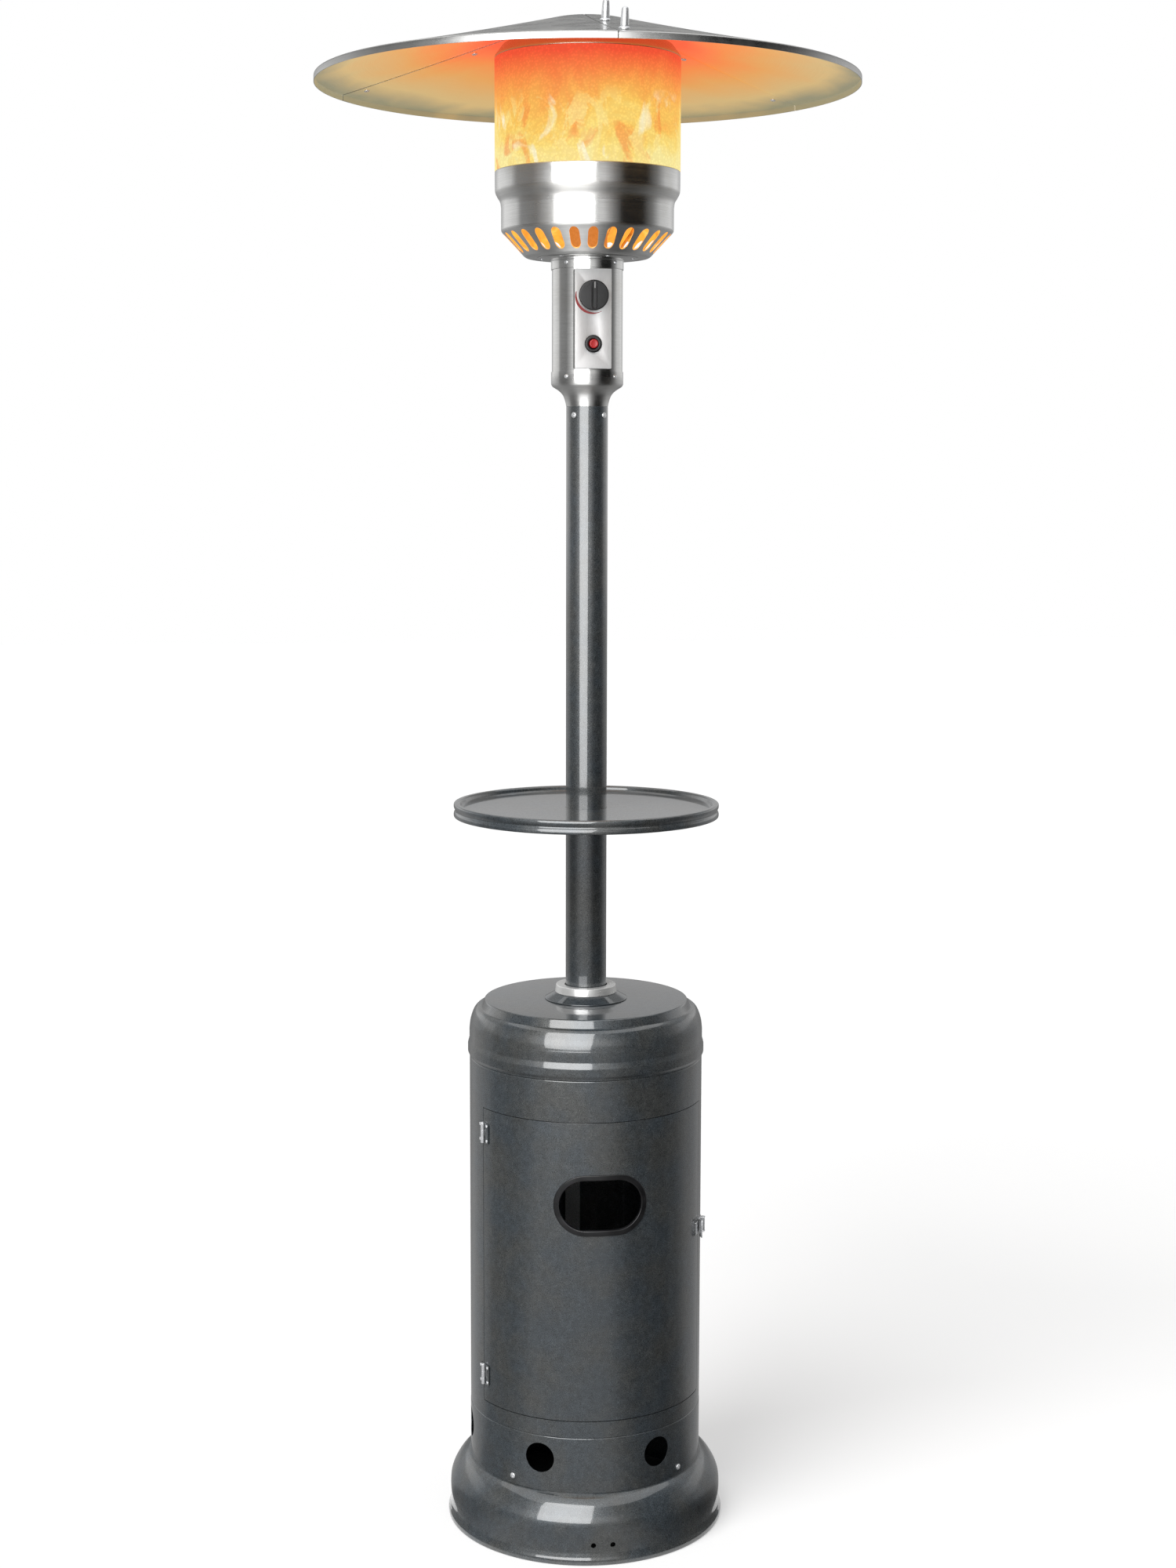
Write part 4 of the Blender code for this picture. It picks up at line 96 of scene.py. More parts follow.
CAP_BEVEL_WIDTH = 0.0065
CAP_BEVEL_DROP = 0.0135
CAP_BEVEL_ROLL = 0.0022
CAP_SHOULDER_DROP = 0.046
CAP_BEAD_PROUD = 0.0024
CAP_BEAD_HEIGHT = 0.024
CAP_BEAD_ROLL = 0.006
CAP_SHOULDER_SHARES = ((1.0, 0.283), (0.9, 0.587), (0.62, 0.9), (0.3, 1.033), (0.11, 1.033))
SPIGOT_RADIUS = 0.0299

# Hand hole, hinges and latch
HOLE_WIDTH = 0.126
HOLE_HEIGHT = 0.078
HOLE_MIDDLE = 0.5551
HOLE_STEPS = 24
TRIM_STEPS = 28
TRIM_RUN = 0.004
TRIM_THROAT = 0.003
TRIM_LIP = 0.0012
TRIM_LIP_SHARE = 0.6
TRIM_CROWN_SHARE = 0.9
TRIM_EDGE_SHARE = 0.3
TRIM_FLANGE = 0.0085
TRIM_THICKNESS = 0.0015
TRIM_DEPTH = 0.004
HINGE_AZIMUTH = -66.5
HINGE_HEIGHT = 0.032
HINGE_HEIGHTS = {"lower": 0.2577, "upper": 0.6447}
HINGE_LEAF_WIDTH = 0.0145
HINGE_LEAF_START = 0.6
HINGE_SHEET = 0.001
HINGE_CORNER = 0.0022
HINGE_BREAK = 0.00025
HINGE_KNUCKLE_RADIUS = 0.0029
HINGE_GAP = 0.0004
HINGE_PIN_RADIUS = 0.0014
HINGE_SCREW_OFFSET = 0.0098
HINGE_SCREW_PITCH = 0.0235
HINGE_SCREW_RADIUS = 0.0027
HINGE_SCREW_HEAD = 0.0016
PIN_HEAD_RADIUS = 0.0022
PIN_HEAD = 0.001
LATCH_AZIMUTH = 72.0
LATCH_HEIGHT = 0.4807
LATCH_SHEET = 0.0012
LATCH_CORNER = 0.002
LATCH_BACK = 0.01
LATCH_FRONT = 0.008
LATCH_PLATE_HEIGHT = 0.024
LATCH_EAR = 0.002
LATCH_EAR_LENGTH = 0.008
LATCH_STANDOFF = 0.006
LATCH_PIN_RADIUS = 0.0012
LATCH_KNUCKLE_RADIUS = 0.0027
LATCH_NOSE = 0.01952
LATCH_NOSE_LIFT = 0.003
LATCH_LEVER_SHEET = 0.0015
LATCH_GRIP_HEIGHT = 0.028
LATCH_GRIP_LENGTH = 0.0085
LATCH_GRIP_RISE = 0.0045
LEVER_EASE = 0.0002
LEVER_WELD = 0.00002
RIVET_REACH = 0.0072
RIVET_RADIUS = 0.0016
RIVET_HEAD = 0.0009
CATCH_SHEET = 0.001
CATCH_WIDTH = 0.011
CATCH_HEIGHT = 0.02
CATCH_SETBACK = 0.0015
CATCH_CORNER = 0.0015

# Post and table
POST_RADIUS = 0.0317
POST_SHEET = 0.0015
POST_BOTTOM = 0.8368
POST_TOP = 1.7532
FOOT_RADIUS = 0.0643
FOOT_EDGE = 0.0012
FOOT_TOP = 0.8468
FOOT_TOP_RADIUS = 0.0483
COLLAR_HEIGHT = 0.0125
COLLAR_GAP = 0.0015
COLLAR_CROWN = 0.0013
COLLAR_ROLL = 0.001
COLLAR_BREAK = 0.0006
TABLE_RADIUS = 0.2058
TABLE_BOTTOM = 1.1249
TABLE_TOP = 1.1463
TABLE_SHEET = 0.0012
TABLE_RIM_WIDTH = 0.01
TABLE_RECESS = 0.008
TABLE_GROOVE = 0.0029
TABLE_ROLL = 0.0023
TABLE_LIP = 0.006
TABLE_BEAD = 0.009
TABLE_BEAD_ROLL = 0.0034
TABLE_ROLL_STEPS = 7
HUB_RADIUS = 0.036
HUB_FLANGE = 0.015
HUB_FLANGE_SHEET = 0.003
HUB_HEIGHT = 0.03
SET_SCREW_AZIMUTHS = (60.0, 180.0, 300.0)
SET_SCREW_RADIUS = 0.0045
SET_SCREW_HEAD = 0.003
PAN_HEAD_RADIUS = 0.0048
PAN_HEAD = 0.0026
PAN_SHANK = 0.0055
CORNER_AZIMUTHS = (45.0, 135.0, 225.0, 315.0)
BASE_SCREW_HEIGHT = 0.1133
POST_SCREW_HEIGHT = 1.74

# Control case
SLEEVE_RADIUS = 0.0548
SLEEVE_SHEET = 0.0009
SLEEVE_BOTTOM = 1.787
SPIGOT_LENGTH = 0.038
TAPER_SHARES = (
    (0.0, 0.0), (0.09, 0.27), (0.236, 0.51), (0.5, 0.7), (0.9, 0.88), (1.0, 1.0),
)
CASE_RADIUS = 0.0536
CASE_SHEET = 0.001
CASE_BOTTOM = 1.805
CASE_TOP = 1.957
SLEEVE_LAP = 0.0155
CASE_SEAM = 0.0004
CASE_SCREW_AZIMUTHS = (42.5, 137.5, 222.5, 317.5)
CASE_SCREW_HEIGHTS = (1.797, 1.9655)
CASE_SCREW_RADIUS = 0.0033
CASE_SCREW_HEAD = 0.0018
BEZEL_WIDTH = 0.055
BEZEL_HEIGHT = 0.1465
BEZEL_FRONT = 0.066
BEZEL_SHEET = 0.001
BEZEL_CORNER = 0.0015
PLATE_FRONT = 0.0683
CASE_MIDDLE = 1.881
KNOB_HEIGHT = 1.915
KNOB_BACK = 0.072
KNOB_RADIUS = 0.0223
KNOB_DISC = 0.005
KNOB_GRIP = 0.0088
KNOB_GRIP_WIDTH = 0.0085
KNOB_GRIP_MARGIN = 0.0018
KNOB_GRIP_ROUND = 0.95
KNOB_GRIP_STEPS = 8
KNOB_GRIP_LEVELS = (
    (1.0, 1.0, 0.0108), (1.0, 1.0, 0.0078), (0.8, 0.985, 0.003), (0.7, 0.97, 0.001), (0.55, 0.94, 0.0),
)
KNOB_EDGE = 0.001
KNOB_RIBS = 36
KNOB_RIB_RADIUS = 0.0006
KNOB_RIB_OUT = 0.0002
KNOB_RIB_STOP = 0.0012
KNOB_RIB_STEPS = 8
POINTER_WIDTH = 0.0012
POINTER_CORNER = 0.0005
POINTER_SINK = 0.0002
POINTER_LENGTH_SHARE = 0.22
POINTER_MIDDLE_SHARE = 0.68
STEM_RADIUS = 0.004
STEM_BACK = 0.0537
STEM_FRONT = 0.08
STEM_HOLE_RADIUS = 0.0055
IGNITER_HEIGHT = 1.844
IGNITER_FRONT = 0.0716
IGNITER_FLANGE_RADIUS = 0.013
IGNITER_FLANGE = 0.003
IGNITER_BARREL_RADIUS = 0.0105
IGNITER_LENGTH = 0.029
IGNITER_BORE = 0.0235
IGNITER_LEAD = 0.0016
BUTTON_RADIUS = 0.0065
BUTTON_PROUD = 0.0055
BUTTON_LENGTH = 0.0225
BUTTON_GAP = 0.0004
BUTTON_FACE = ((1.0, 0.0008), (0.86, 0.0), (0.6, 0.0002), (0.0, 0.0006))
HEAT_ARC_RADIUS = 0.0262
HEAT_ARC_WIDTH = 0.0046
HEAT_ARC_SWEEP = (-12.0, 118.0)
HEAT_ARC_STEPS = 48
HEAT_ARC_START = 0.25
HEAT_ARC_HASTE = 1.05
HEAT_ARC_FADE = 0.35
PRINT_LIFT = 0.00015

# Burner head
NECK_TOP = 1.9735
NECK_SHEET = 0.0009
NECK_FLANGE_RADIUS = 0.076
NECK_BEAD = 0.0007
NECK_BEAD_SHARE = 0.75
NECK_SCREW_RING = 0.069
NECK_SCREW_HEAD = 0.00126
NECK_SCREW_AZIMUTHS = (18.0, 78.0, 138.0, 198.0, 258.0, 318.0)
MOUTH_RADIUS = 0.03
BOWL_BOTTOM = 1.9747
BOWL_SHEET = 0.0012
BOWL_RADIUS = 0.1395
BAND_RADIUS = 0.1302
BOWL_FLOOR_RADIUS = 0.0935
BOWL_CONE_TOP = 2.0134
BOWL_CONE_ROLL = 0.0045
BOWL_BAND_TOP = 2.0479
BOWL_BAND_EASE = 0.002
BOWL_STEP_TOP = 2.0799
BOWL_TOP = 2.1015
BOWL_LIP = 0.0055
BOWL_LIP_ROLL = 0.0018
BOWL_STEP_SHARES = ((0.0, 0.0), (0.16, 0.28), (0.6, 0.5), (0.94, 0.72), (1.0, 1.0))
SLOT_COUNT = 27
SLOT_STEPS = 10
SLOT_AZIMUTH = -3.5
SLOT_WIDTH = 0.015
SLOT_INNER = 0.099
SLOT_OUTER = 0.1265
BURNER_PLATE_TOP = 2.081
BURNER_FOOT_RADIUS = 0.038
BURNER_FOOT = 0.003
BURNER_FOOT_DISH = 0.001
BURNER_BODY_RADIUS = 0.03
BURNER_BODY_HEIGHT = 0.06
BURNER_HEAD_RADIUS = 0.07
BURNER_HEAD_FLARE = 0.015
BURNER_HEAD_HEIGHT = 0.023
BURNER_HEAD_DOME = 0.004
BURNER_GAP = 0.002
EMITTER_BOTTOM = 2.1018
EMITTER_TOP = 2.2658
EMITTER_SHEET = 0.0012
EMITTER_CAP_TOP = 2.2857
EMITTER_CAP_RIM = 0.003
EMITTER_CAP_TAPER = 0.0125
EMITTER_CAP_SKIRT = 0.008
EMITTER_CAP_ROLL = 0.002

# Hood
HOOD_RADIUS = 0.408
HOOD_LIP = 0.0098
HOOD_LIP_ROLL = 0.0022
HOOD_TOP = 2.322
HOOD_RISE = 0.0855
HOOD_BOW = 0.0015
HOOD_SHEET = 0.001
HOOD_STEP = 0.0013
HOOD_FLAT_RADIUS = 0.055
HOOD_EYE_RADIUS = 0.018
HOOD_CROWN_ROLL = 0.006
HOOD_SEAMS = (0.0, 120.0, 240.0)
HOOD_OVERLAP = 0.025
HOOD_JOGGLE = 0.002
HOOD_PANEL_STEPS = 72
HOOD_PROFILE_STEPS = 24
SLOPE_STEP = 0.01
HOOD_BOLT_RINGS = (0.187, 0.372)
HOOD_BOLT_HEAD_RADIUS = 0.0048
HOOD_BOLT_HEAD = 0.0022
CAP_NUT_HEIGHT = 0.029
CAP_NUT_RADIUS = 0.006
CAP_NUT_FOOT_RADIUS = 0.0078
CAP_NUT_FOOT = 0.004
CAP_NUT_SINK = 0.001
CAP_NUT_ROLL = 0.003
CAP_NUT_TAPER = 0.94
CAP_NUT_FOOT_EDGE = 0.6
CAP_NUT_CROWN = ((0.8, 0.003), (0.55, 0.0), (0.0, 0.0))
SPACER_RADIUS = 0.006
SPACER_RING = 0.042
SPACER_BOTTOM = 2.286
SPACER_SINK = 0.0004
SPACER_EDGE = 0.0006
SPACER_AZIMUTHS = (60.0, 180.0, 300.0)
HOOD_PLATE_RADIUS = 0.05
HOOD_PLATE_BOTTOM = 2.3181
HOOD_PLATE_TOP = 2.3194
HOOD_PLATE_EDGE = 0.0005
HOOD_SCREW_RADIUS = 0.0048
HOOD_SCREW_HEAD = 0.0008

# Depths of the finishes' relief
PAINT_DIMPLE = 0.0004
PAINT_WAVE = 0.0008
SPUN_GROOVE = 0.00006
PLATING_PIT = 0.00008
GRAIN_DEPTH = 0.0001
CASTING_LUMP = 0.0004
MESH_DEPTH = 0.0003
HOT_SCALE = 0.0002
BRUSHED_LINE = 0.00004
PRINT_DOT = 0.00003

# Stage, light and camera
WORLD_LIGHT = 0.42
FLOOR_SIZE = 40.0
FLOOR_GLOW = 0.46
FLOOR_SHADE = 0.55
SUN_LIGHT = 2.65
SUN_SOFTNESS = 34.0
SUN_LEFT = 38.0
SUN_RISE = 1.15
SOFTBOX_POWER = 90.0
SOFTBOX_WIDTH = 2.35
SOFTBOX_HEIGHT = 2.8
SOFTBOX_LEFT = 17.0
SOFTBOX_DISTANCE = 2.6
SOFTBOX_MIDDLE = 2.02
SOFTBOX_AIM = 1.25
SURROUND_RADIUS = 6.0
SURROUND_HEIGHT = 7.0
SURROUND_EYE = 0.24
SURROUND_STEPS = 96
SURROUND_SHADES = (
    (-180, 0.48), (-158, 0.55), (-142, 0.95), (-124, 0.92), (-108, 0.75), (-98, 0.32), (-70, 0.27),
    (-56, 0.6), (-48, 0.9), (4, 0.95), (20, 0.88), (34, 0.3), (46, 0.02), (78, 0.015), (96, 0.25),
    (112, 0.72), (142, 0.85), (158, 0.55), (180, 0.48),
)
SURROUND_HEIGHT_SHARES = ((0.0, 0.4), (0.16, 0.5), (0.23, 1.0), (0.42, 1.0), (0.52, 0.5), (1.0, 0.45))
SENSOR_WIDTH = 36.0
CLIP_END = 200.0
CAMERA_PLACE = (-0.4895, -3.6686, 1.6523)
CAMERA_PITCH = 7.357
CAMERA_TURN = 7.6
CAMERA_ROLL = 0.1216
CAMERA_LENS = 55.19
CAMERA_SHIFT = 0.0011

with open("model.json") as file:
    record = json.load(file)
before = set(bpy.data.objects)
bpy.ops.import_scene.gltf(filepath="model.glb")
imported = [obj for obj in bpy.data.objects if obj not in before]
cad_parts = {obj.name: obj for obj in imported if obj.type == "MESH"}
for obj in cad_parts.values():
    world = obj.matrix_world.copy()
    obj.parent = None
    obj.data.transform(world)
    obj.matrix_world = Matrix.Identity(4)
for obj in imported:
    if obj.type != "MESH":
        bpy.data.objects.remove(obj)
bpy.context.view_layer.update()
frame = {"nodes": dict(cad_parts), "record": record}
body_of = {node: body for body, nodes in frame["record"]["behaviour"]["bodies"].items() for node in nodes}


# Shapes

def facing(azimuth, radius, height):
    """A frame on the drum: X along the wall, Y up, Z outward."""
    angle = radians(azimuth)
    along = Vector((cos(angle), sin(angle), 0.0))
    up = Vector((0.0, 0.0, 1.0))
    outward = Vector((sin(angle), -cos(angle), 0.0))
    place = Matrix((along, up, outward)).transposed().to_4x4()
    place.translation = outward * radius + up * height
    return place


def upright(place):
    return place @ Matrix.Rotation(-pi / 2, 4, "X")


def standing(azimuth, radius):
    return Matrix.Translation(facing(azimuth, radius, 0.0).translation)


def ring_of(azimuths, radius, height):
    return [facing(azimuth, radius, height) for azimuth in azimuths]


def soften(points, radius, steps=ARC_STEPS):
    """Rounds the inner corners of an open profile, each by up to half of its two runs."""
    points = [Vector(point) for point in points]
    result = [points[0]]
    for before, corner, after in zip(points, points[1:], points[2:]):
        to_before = before - corner
        to_after = after - corner
        reach = min(radius, to_before.length / 2, to_after.length / 2)
        start = corner + to_before.normalized() * reach
        end = corner + to_after.normalized() * reach
        for step in range(steps + 1):
            share = step / steps
            result.append(start * (1 - share)**2 + corner * 2 * share * (1 - share) + end * share**2)
    result.append(points[-1])
    return thin(result)


def thin(points):
    """Leaves out points that lie on the one before them."""
    kept = [points[0]]
    for point in points[1:]:
        if (Vector(point) - Vector(kept[-1])).length > TOUCH / 10:
            kept.append(point)
    return [tuple(point) for point in kept]


def curve(points, samples=6):
    """A smooth curve through every point."""
    points = [Vector(point) for point in points]
    padded = [points[0] * 2 - points[1]] + points + [points[-1] * 2 - points[-2]]
    result = []
    for a, b, c, d in zip(padded, padded[1:], padded[2:], padded[3:]):
        for step in range(samples):
            t = step / samples
            bend = (a * 2 - b * 5 + c * 4 - d) * t**2 + (b * 3 - a - c * 3 + d) * t**3
            result.append((b * 2 + (c - a) * t + bend) / 2)
    result.append(points[-1])
    return [tuple(point) for point in result]


def inset(outline, distance):
    """The profile moved to the left of its direction by a distance."""
    points = [Vector(point) for point in outline]
    normals = []
    for start, end in zip(points, points[1:]):
        step = (end - start).normalized()
        normals.append(Vector((-step.y, step.x)))
    moved = []
    for index, point in enumerate(points):
        before = normals[max(index - 1, 0)]
        after = normals[min(index, len(normals) - 1)]
        middle = (before + after).normalized()
        moved.append(tuple(point + middle * (distance / max(middle.dot(after), MITRE_LIMIT))))
    return moved


def skin(outline, thickness):
    return list(outline) + list(reversed(inset(outline, thickness)))


def tidy(shape):
    bmesh.ops.remove_doubles(shape, verts=shape.verts, dist=TOUCH / 100)
    loose = [edge for edge in shape.edges if not edge.link_faces]
    bmesh.ops.delete(shape, geom=loose, context="EDGES")
    bmesh.ops.recalc_face_normals(shape, faces=shape.faces)


def add_to(shape, part, place):
    bmesh.ops.transform(part, matrix=place, verts=part.verts)
    mesh = bpy.data.meshes.new("part")
    part.to_mesh(mesh)
    part.free()
    shape.from_mesh(mesh)
    bpy.data.meshes.remove(mesh)


def turn(shape, outline, steps, place=Matrix()):
    """Turns a closed outline of (radius, height) a full turn about Z."""
    part = bmesh.new()
    verts = [part.verts.new((0.0, -radius, height)) for radius, height in outline]
    for first, second in zip(verts, verts[1:] + verts[:1]):
        part.edges.new((first, second))
    bmesh.ops.spin(
        part, geom=part.verts[:] + part.edges[:], cent=(0.0, 0.0, 0.0), axis=(0.0, 0.0, 1.0),
        angle=2 * pi, steps=steps, use_merge=True,
    )
    tidy(part)
    add_to(shape, part, place)
    return shape


def loft(shape, rings, inner=0, closed=False):
    """Joins matching rings of points, the last ones of each of material 1 where inner counts them."""
    part = bmesh.new()
    loops = [[part.verts.new(point) for point in ring] for ring in rings]
    pairs = list(zip(loops[:-1], loops[1:]))
    if closed:
        pairs.append((loops[-1], loops[0]))
    for lower, upper in pairs:
        for index in range(len(lower)):
            after = (index + 1) % len(lower)
            face = part.faces.new((lower[index], lower[after], upper[after], upper[index]))
            face.material_index = int(len(lower) - inner <= index < len(lower) - 1)
    if not closed:
        part.faces.new(loops[0])
        part.faces.new(loops[-1])
    bmesh.ops.recalc_face_normals(part, faces=part.faces)
    add_to(shape, part, Matrix())
    return shape


def turn_part(shape, outline, steps, start, end):
    angles = [radians(start + (end - start) * step / steps) for step in range(steps + 1)]
    return loft(shape, [[(r * sin(angle), -r * cos(angle), z) for r, z in outline] for angle in angles])


def slab(shape, outline, bottom, top, place=Matrix()):
    part = bmesh.new()
    face = part.faces.new([part.verts.new((x, y, bottom)) for x, y in outline])
    result = bmesh.ops.extrude_face_region(part, geom=[face])
    raised = [item for item in result["geom"] if isinstance(item, bmesh.types.BMVert)]
    bmesh.ops.translate(part, verts=raised, vec=(0.0, 0.0, top - bottom))
    bmesh.ops.recalc_face_normals(part, faces=part.faces)
    add_to(shape, part, place)
    return shape


def block(shape, low, high, place=Matrix()):
    outline = [(low[0], low[1]), (high[0], low[1]), (high[0], high[1]), (low[0], high[1])]
    return slab(shape, outline, low[2], high[2], place)


def rounded_rectangle(half_width, half_height, radius, steps=6):
    points = []
    for x, y, first in ((1, -1, -90), (1, 1, 0), (-1, 1, 90), (-1, -1, 180)):
        for step in range(steps + 1):
            angle = radians(first + 90 * step / steps)
            across = x * (half_width - radius) + radius * cos(angle)
            points.append((across, y * (half_height - radius) + radius * sin(angle)))
    return points


def obround(half_width, half_height, steps):
    centre = half_width - half_height
    points = []
    for side in (1, -1):
        for step in range(steps + 1):
            angle = pi * step / steps - pi / 2
            points.append((side * (centre + half_height * cos(angle)), side * half_height * sin(angle)))
    return points


def band(inner, outer, bottom, top):
    """The closed outline of a plain tube's wall."""
    return [(inner, bottom), (outer, bottom), (outer, top), (inner, top)]


def rod(shape, radius, bottom, top, steps, place=Matrix(), edge=0.0):
    outline = band(0.0, radius, bottom, top)
    if edge:
        outline = soften(outline, edge)
    return turn(shape, outline, steps, place)


def screw_head(shape, place, radius, height, recess=True):
    """A domed head with a cross recess, whose Z points away from the sheet."""
    shoulder = (radius * HEAD_SHOULDER_SHARES[0], height * HEAD_SHOULDER_SHARES[1])
    outline = soften([(0.0, 0.0), (radius, 0.0), shoulder, (0.0, height)], height * HEAD_ROLL_SHARE)
    turn(shape, outline, WIRE_STEPS, place)
    if recess:
        arm = radius * CROSS_REACH_SHARE
        width = radius * CROSS_WIDTH_SHARE
        low = height * CROSS_BOTTOM_SHARE
        high = height * CROSS_TOP_SHARE
        for angle in (0.0, 90.0):
            bar = place @ Matrix.Rotation(radians(CROSS_TURN + angle), 4, "Z")
            block(shape, (-arm, -width, low), (arm, width, high), bar)
    return shape


# Pieces

def make_object(name, shape):
    mesh = bpy.data.meshes.new(name)
    shape.to_mesh(mesh)
    shape.free()
    result = bpy.data.objects.new(name, mesh)
    bpy.context.collection.objects.link(result)
    return result


def settle(piece):
    """Replaces a piece's mesh by what its modifiers make of it."""
    graph = bpy.context.evaluated_depsgraph_get()
    piece.data = bpy.data.meshes.new_from_object(piece.evaluated_get(graph))
    piece.modifiers.clear()


def combine(piece, shape, operation="DIFFERENCE"):
    """Cuts a piece with a shape, or joins the shape to it."""
    helper = make_object("helper", shape)
    modifier = piece.modifiers.new("helper", "BOOLEAN")
    modifier.operation = operation
    modifier.solver = "EXACT"
    modifier.object = helper
    settle(piece)
    bpy.data.objects.remove(helper)


def bevel(piece, width):
    modifier = piece.modifiers.new("edges", "BEVEL")
    modifier.width = width
    modifier.segments = BEVEL_STEPS
    modifier.limit_method = "ANGLE"
    modifier.angle_limit = radians(BEVEL_ANGLE)
    modifier.miter_outer = "MITER_ARC"
    settle(piece)


def reopen(piece):
    shape = bmesh.new()
    shape.from_mesh(piece.data)
    return shape


def close(piece, shape):
    shape.to_mesh(piece.data)
    shape.free()


def stand_in(node, shape):
    """A finer piece for a node of the frame."""
    return make_object(f"{node}.fine", shape)


def dress(piece, *materials, owner=None):
    """Gives a piece its materials, and the body of its owner or of the node it stands in for."""
    piece.data.shade_smooth()
    piece.data.set_sharp_from_angle(angle=radians(SHARP_ANGLE))
    for material in materials:
        piece.data.materials.append(material)
    node = owner or piece.name.removesuffix(".fine")
    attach(piece, body_of[node])
    if not owner:
        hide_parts(node)


def turned(node, outline, steps, material, place=Matrix()):
    dress(stand_in(node, turn(bmesh.new(), outline, steps, place)), material)


def screw_row(name, owner, seats, radius, height):
    """Zinc screws that belong to one node."""
    for index, seat in enumerate(seats):
        head = screw_head(bmesh.new(), seat, radius, height)
        dress(make_object(f"{name}_{index + 1}", head), zinc, owner=owner)


# Finishes

class Finish:
    """A procedural material on the piece's own coordinates."""

    def __init__(self, name, color, metallic=0.0, roughness=0.4, **sockets):
        self.material = bpy.data.materials.new(name)
        self.material.use_nodes = True
        self.tree = self.material.node_tree
        self.shader = self.tree.nodes["Principled BSDF"]
        self.place = self.add("ShaderNodeTexCoord").outputs["Object"]
        self.set(self.shader, "Base Color", color)
        self.set(self.shader, "Metallic", metallic)
        self.set(self.shader, "Roughness", roughness)
        for socket, value in sockets.items():
            self.set(self.shader, socket.replace("_", " "), value)
        self.height = None

    def add(self, kind, sockets=None, **settings):
        node = self.tree.nodes.new(kind)
        for setting, value in settings.items():
            setattr(node, setting, value)
        for socket, value in (sockets or {}).items():
            self.set(node, socket, value)
        return node

    def set(self, node, socket, value):
        target = node.inputs[socket]
        if isinstance(value, bpy.types.NodeSocket):
            self.tree.links.new(value, target)
        elif isinstance(value, tuple) and len(value) == 3 and target.type == "RGBA":
            target.default_value = (*value, 1.0)
        else:
            target.default_value = value

    def math(self, operation, first, second=0.0, third=0.0):
        sockets = {0: first, 1: second, 2: third}
        return self.add("ShaderNodeMath", sockets, operation=operation).outputs[0]

    def plus(self, first, second):
        return self.math("ADD", first, second)

    def times(self, first, second):
        return self.math("MULTIPLY", first, second)

    def shaded(self, color, shade):
        return self.mix(1.0, color, self.joined(shade, shade, shade), "MULTIPLY")

    def upward(self):
        """How far the surface faces up, from -1 to 1."""
        normal = self.add("ShaderNodeTexCoord").outputs["Normal"]
        return self.add("ShaderNodeSeparateXYZ", {"Vector": normal}).outputs["Z"]

    def span(self, value, low, high, to_low=0.0, to_high=1.0):
        sockets = {"Value": value, "From Min": low, "From Max": high, "To Min": to_low, "To Max": to_high}
        return self.add("ShaderNodeMapRange", sockets).outputs[0]

    def mix(self, share, first, second, kind="MIX"):
        node = self.add("ShaderNodeMix", data_type="RGBA", blend_type=kind)
        for socket, value in ((0, share), (6, first), (7, second)):
            self.set(node, socket, value)
        return node.outputs[2]

    def ramp(self, value, *stops):
        node = self.add("ShaderNodeValToRGB", {"Fac": value})
        elements = node.color_ramp.elements
        for end in (0, -1):
            elements[end].position = stops[end][0]
        middle = [elements.new(position) for position, _ in stops[1:-1]]
        for element, (_, color) in zip([elements[0], *middle, elements[len(stops) - 1]], stops):
            element.color = (*color, 1.0) if isinstance(color, tuple) else (color, color, color, 1.0)
        return node.outputs["Color"]

    def stretched(self, scale):
        return self.add(
            "ShaderNodeVectorMath", {0: self.place, 1: scale}, operation="MULTIPLY",
        ).outputs[0]

    def noise(self, scale, detail=2.0, vector=None, rough=0.5, distortion=0.0):
        sockets = {
            "Vector": vector or self.place, "Scale": scale, "Detail": detail, "Roughness": rough,
            "Distortion": distortion,
        }
        return self.add("ShaderNodeTexNoise", sockets).outputs["Fac"]

    def cells(self, scale, vector=None, output="Distance"):
        sockets = {"Vector": vector or self.place, "Scale": scale}
        return self.add("ShaderNodeTexVoronoi", sockets).outputs[output]

    def parts(self):
        node = self.add("ShaderNodeSeparateXYZ", {0: self.place})
        return node.outputs[0], node.outputs[1], node.outputs[2]

    def joined(self, x, y, z):
        return self.add("ShaderNodeCombineXYZ", {0: x, 1: y, 2: z}).outputs[0]

    def radius(self):
        x, y, _ = self.parts()
        return self.math("SQRT", self.plus(self.times(x, x), self.times(y, y)))

    def azimuth(self):
        x, y, _ = self.parts()
        return self.math("ARCTAN2", x, self.times(y, -1.0))

    def bump(self, height, distance, strength=1.0):
        sockets = {"Height": height, "Distance": distance, "Strength": strength}
        if self.height:
            sockets["Normal"] = self.height
        self.height = self.add("ShaderNodeBump", sockets).outputs[0]
        self.set(self.shader, "Normal", self.height)

    def color(self, value):
        self.set(self.shader, "Base Color", value)

    def roughness(self, value):
        self.set(self.shader, "Roughness", value)


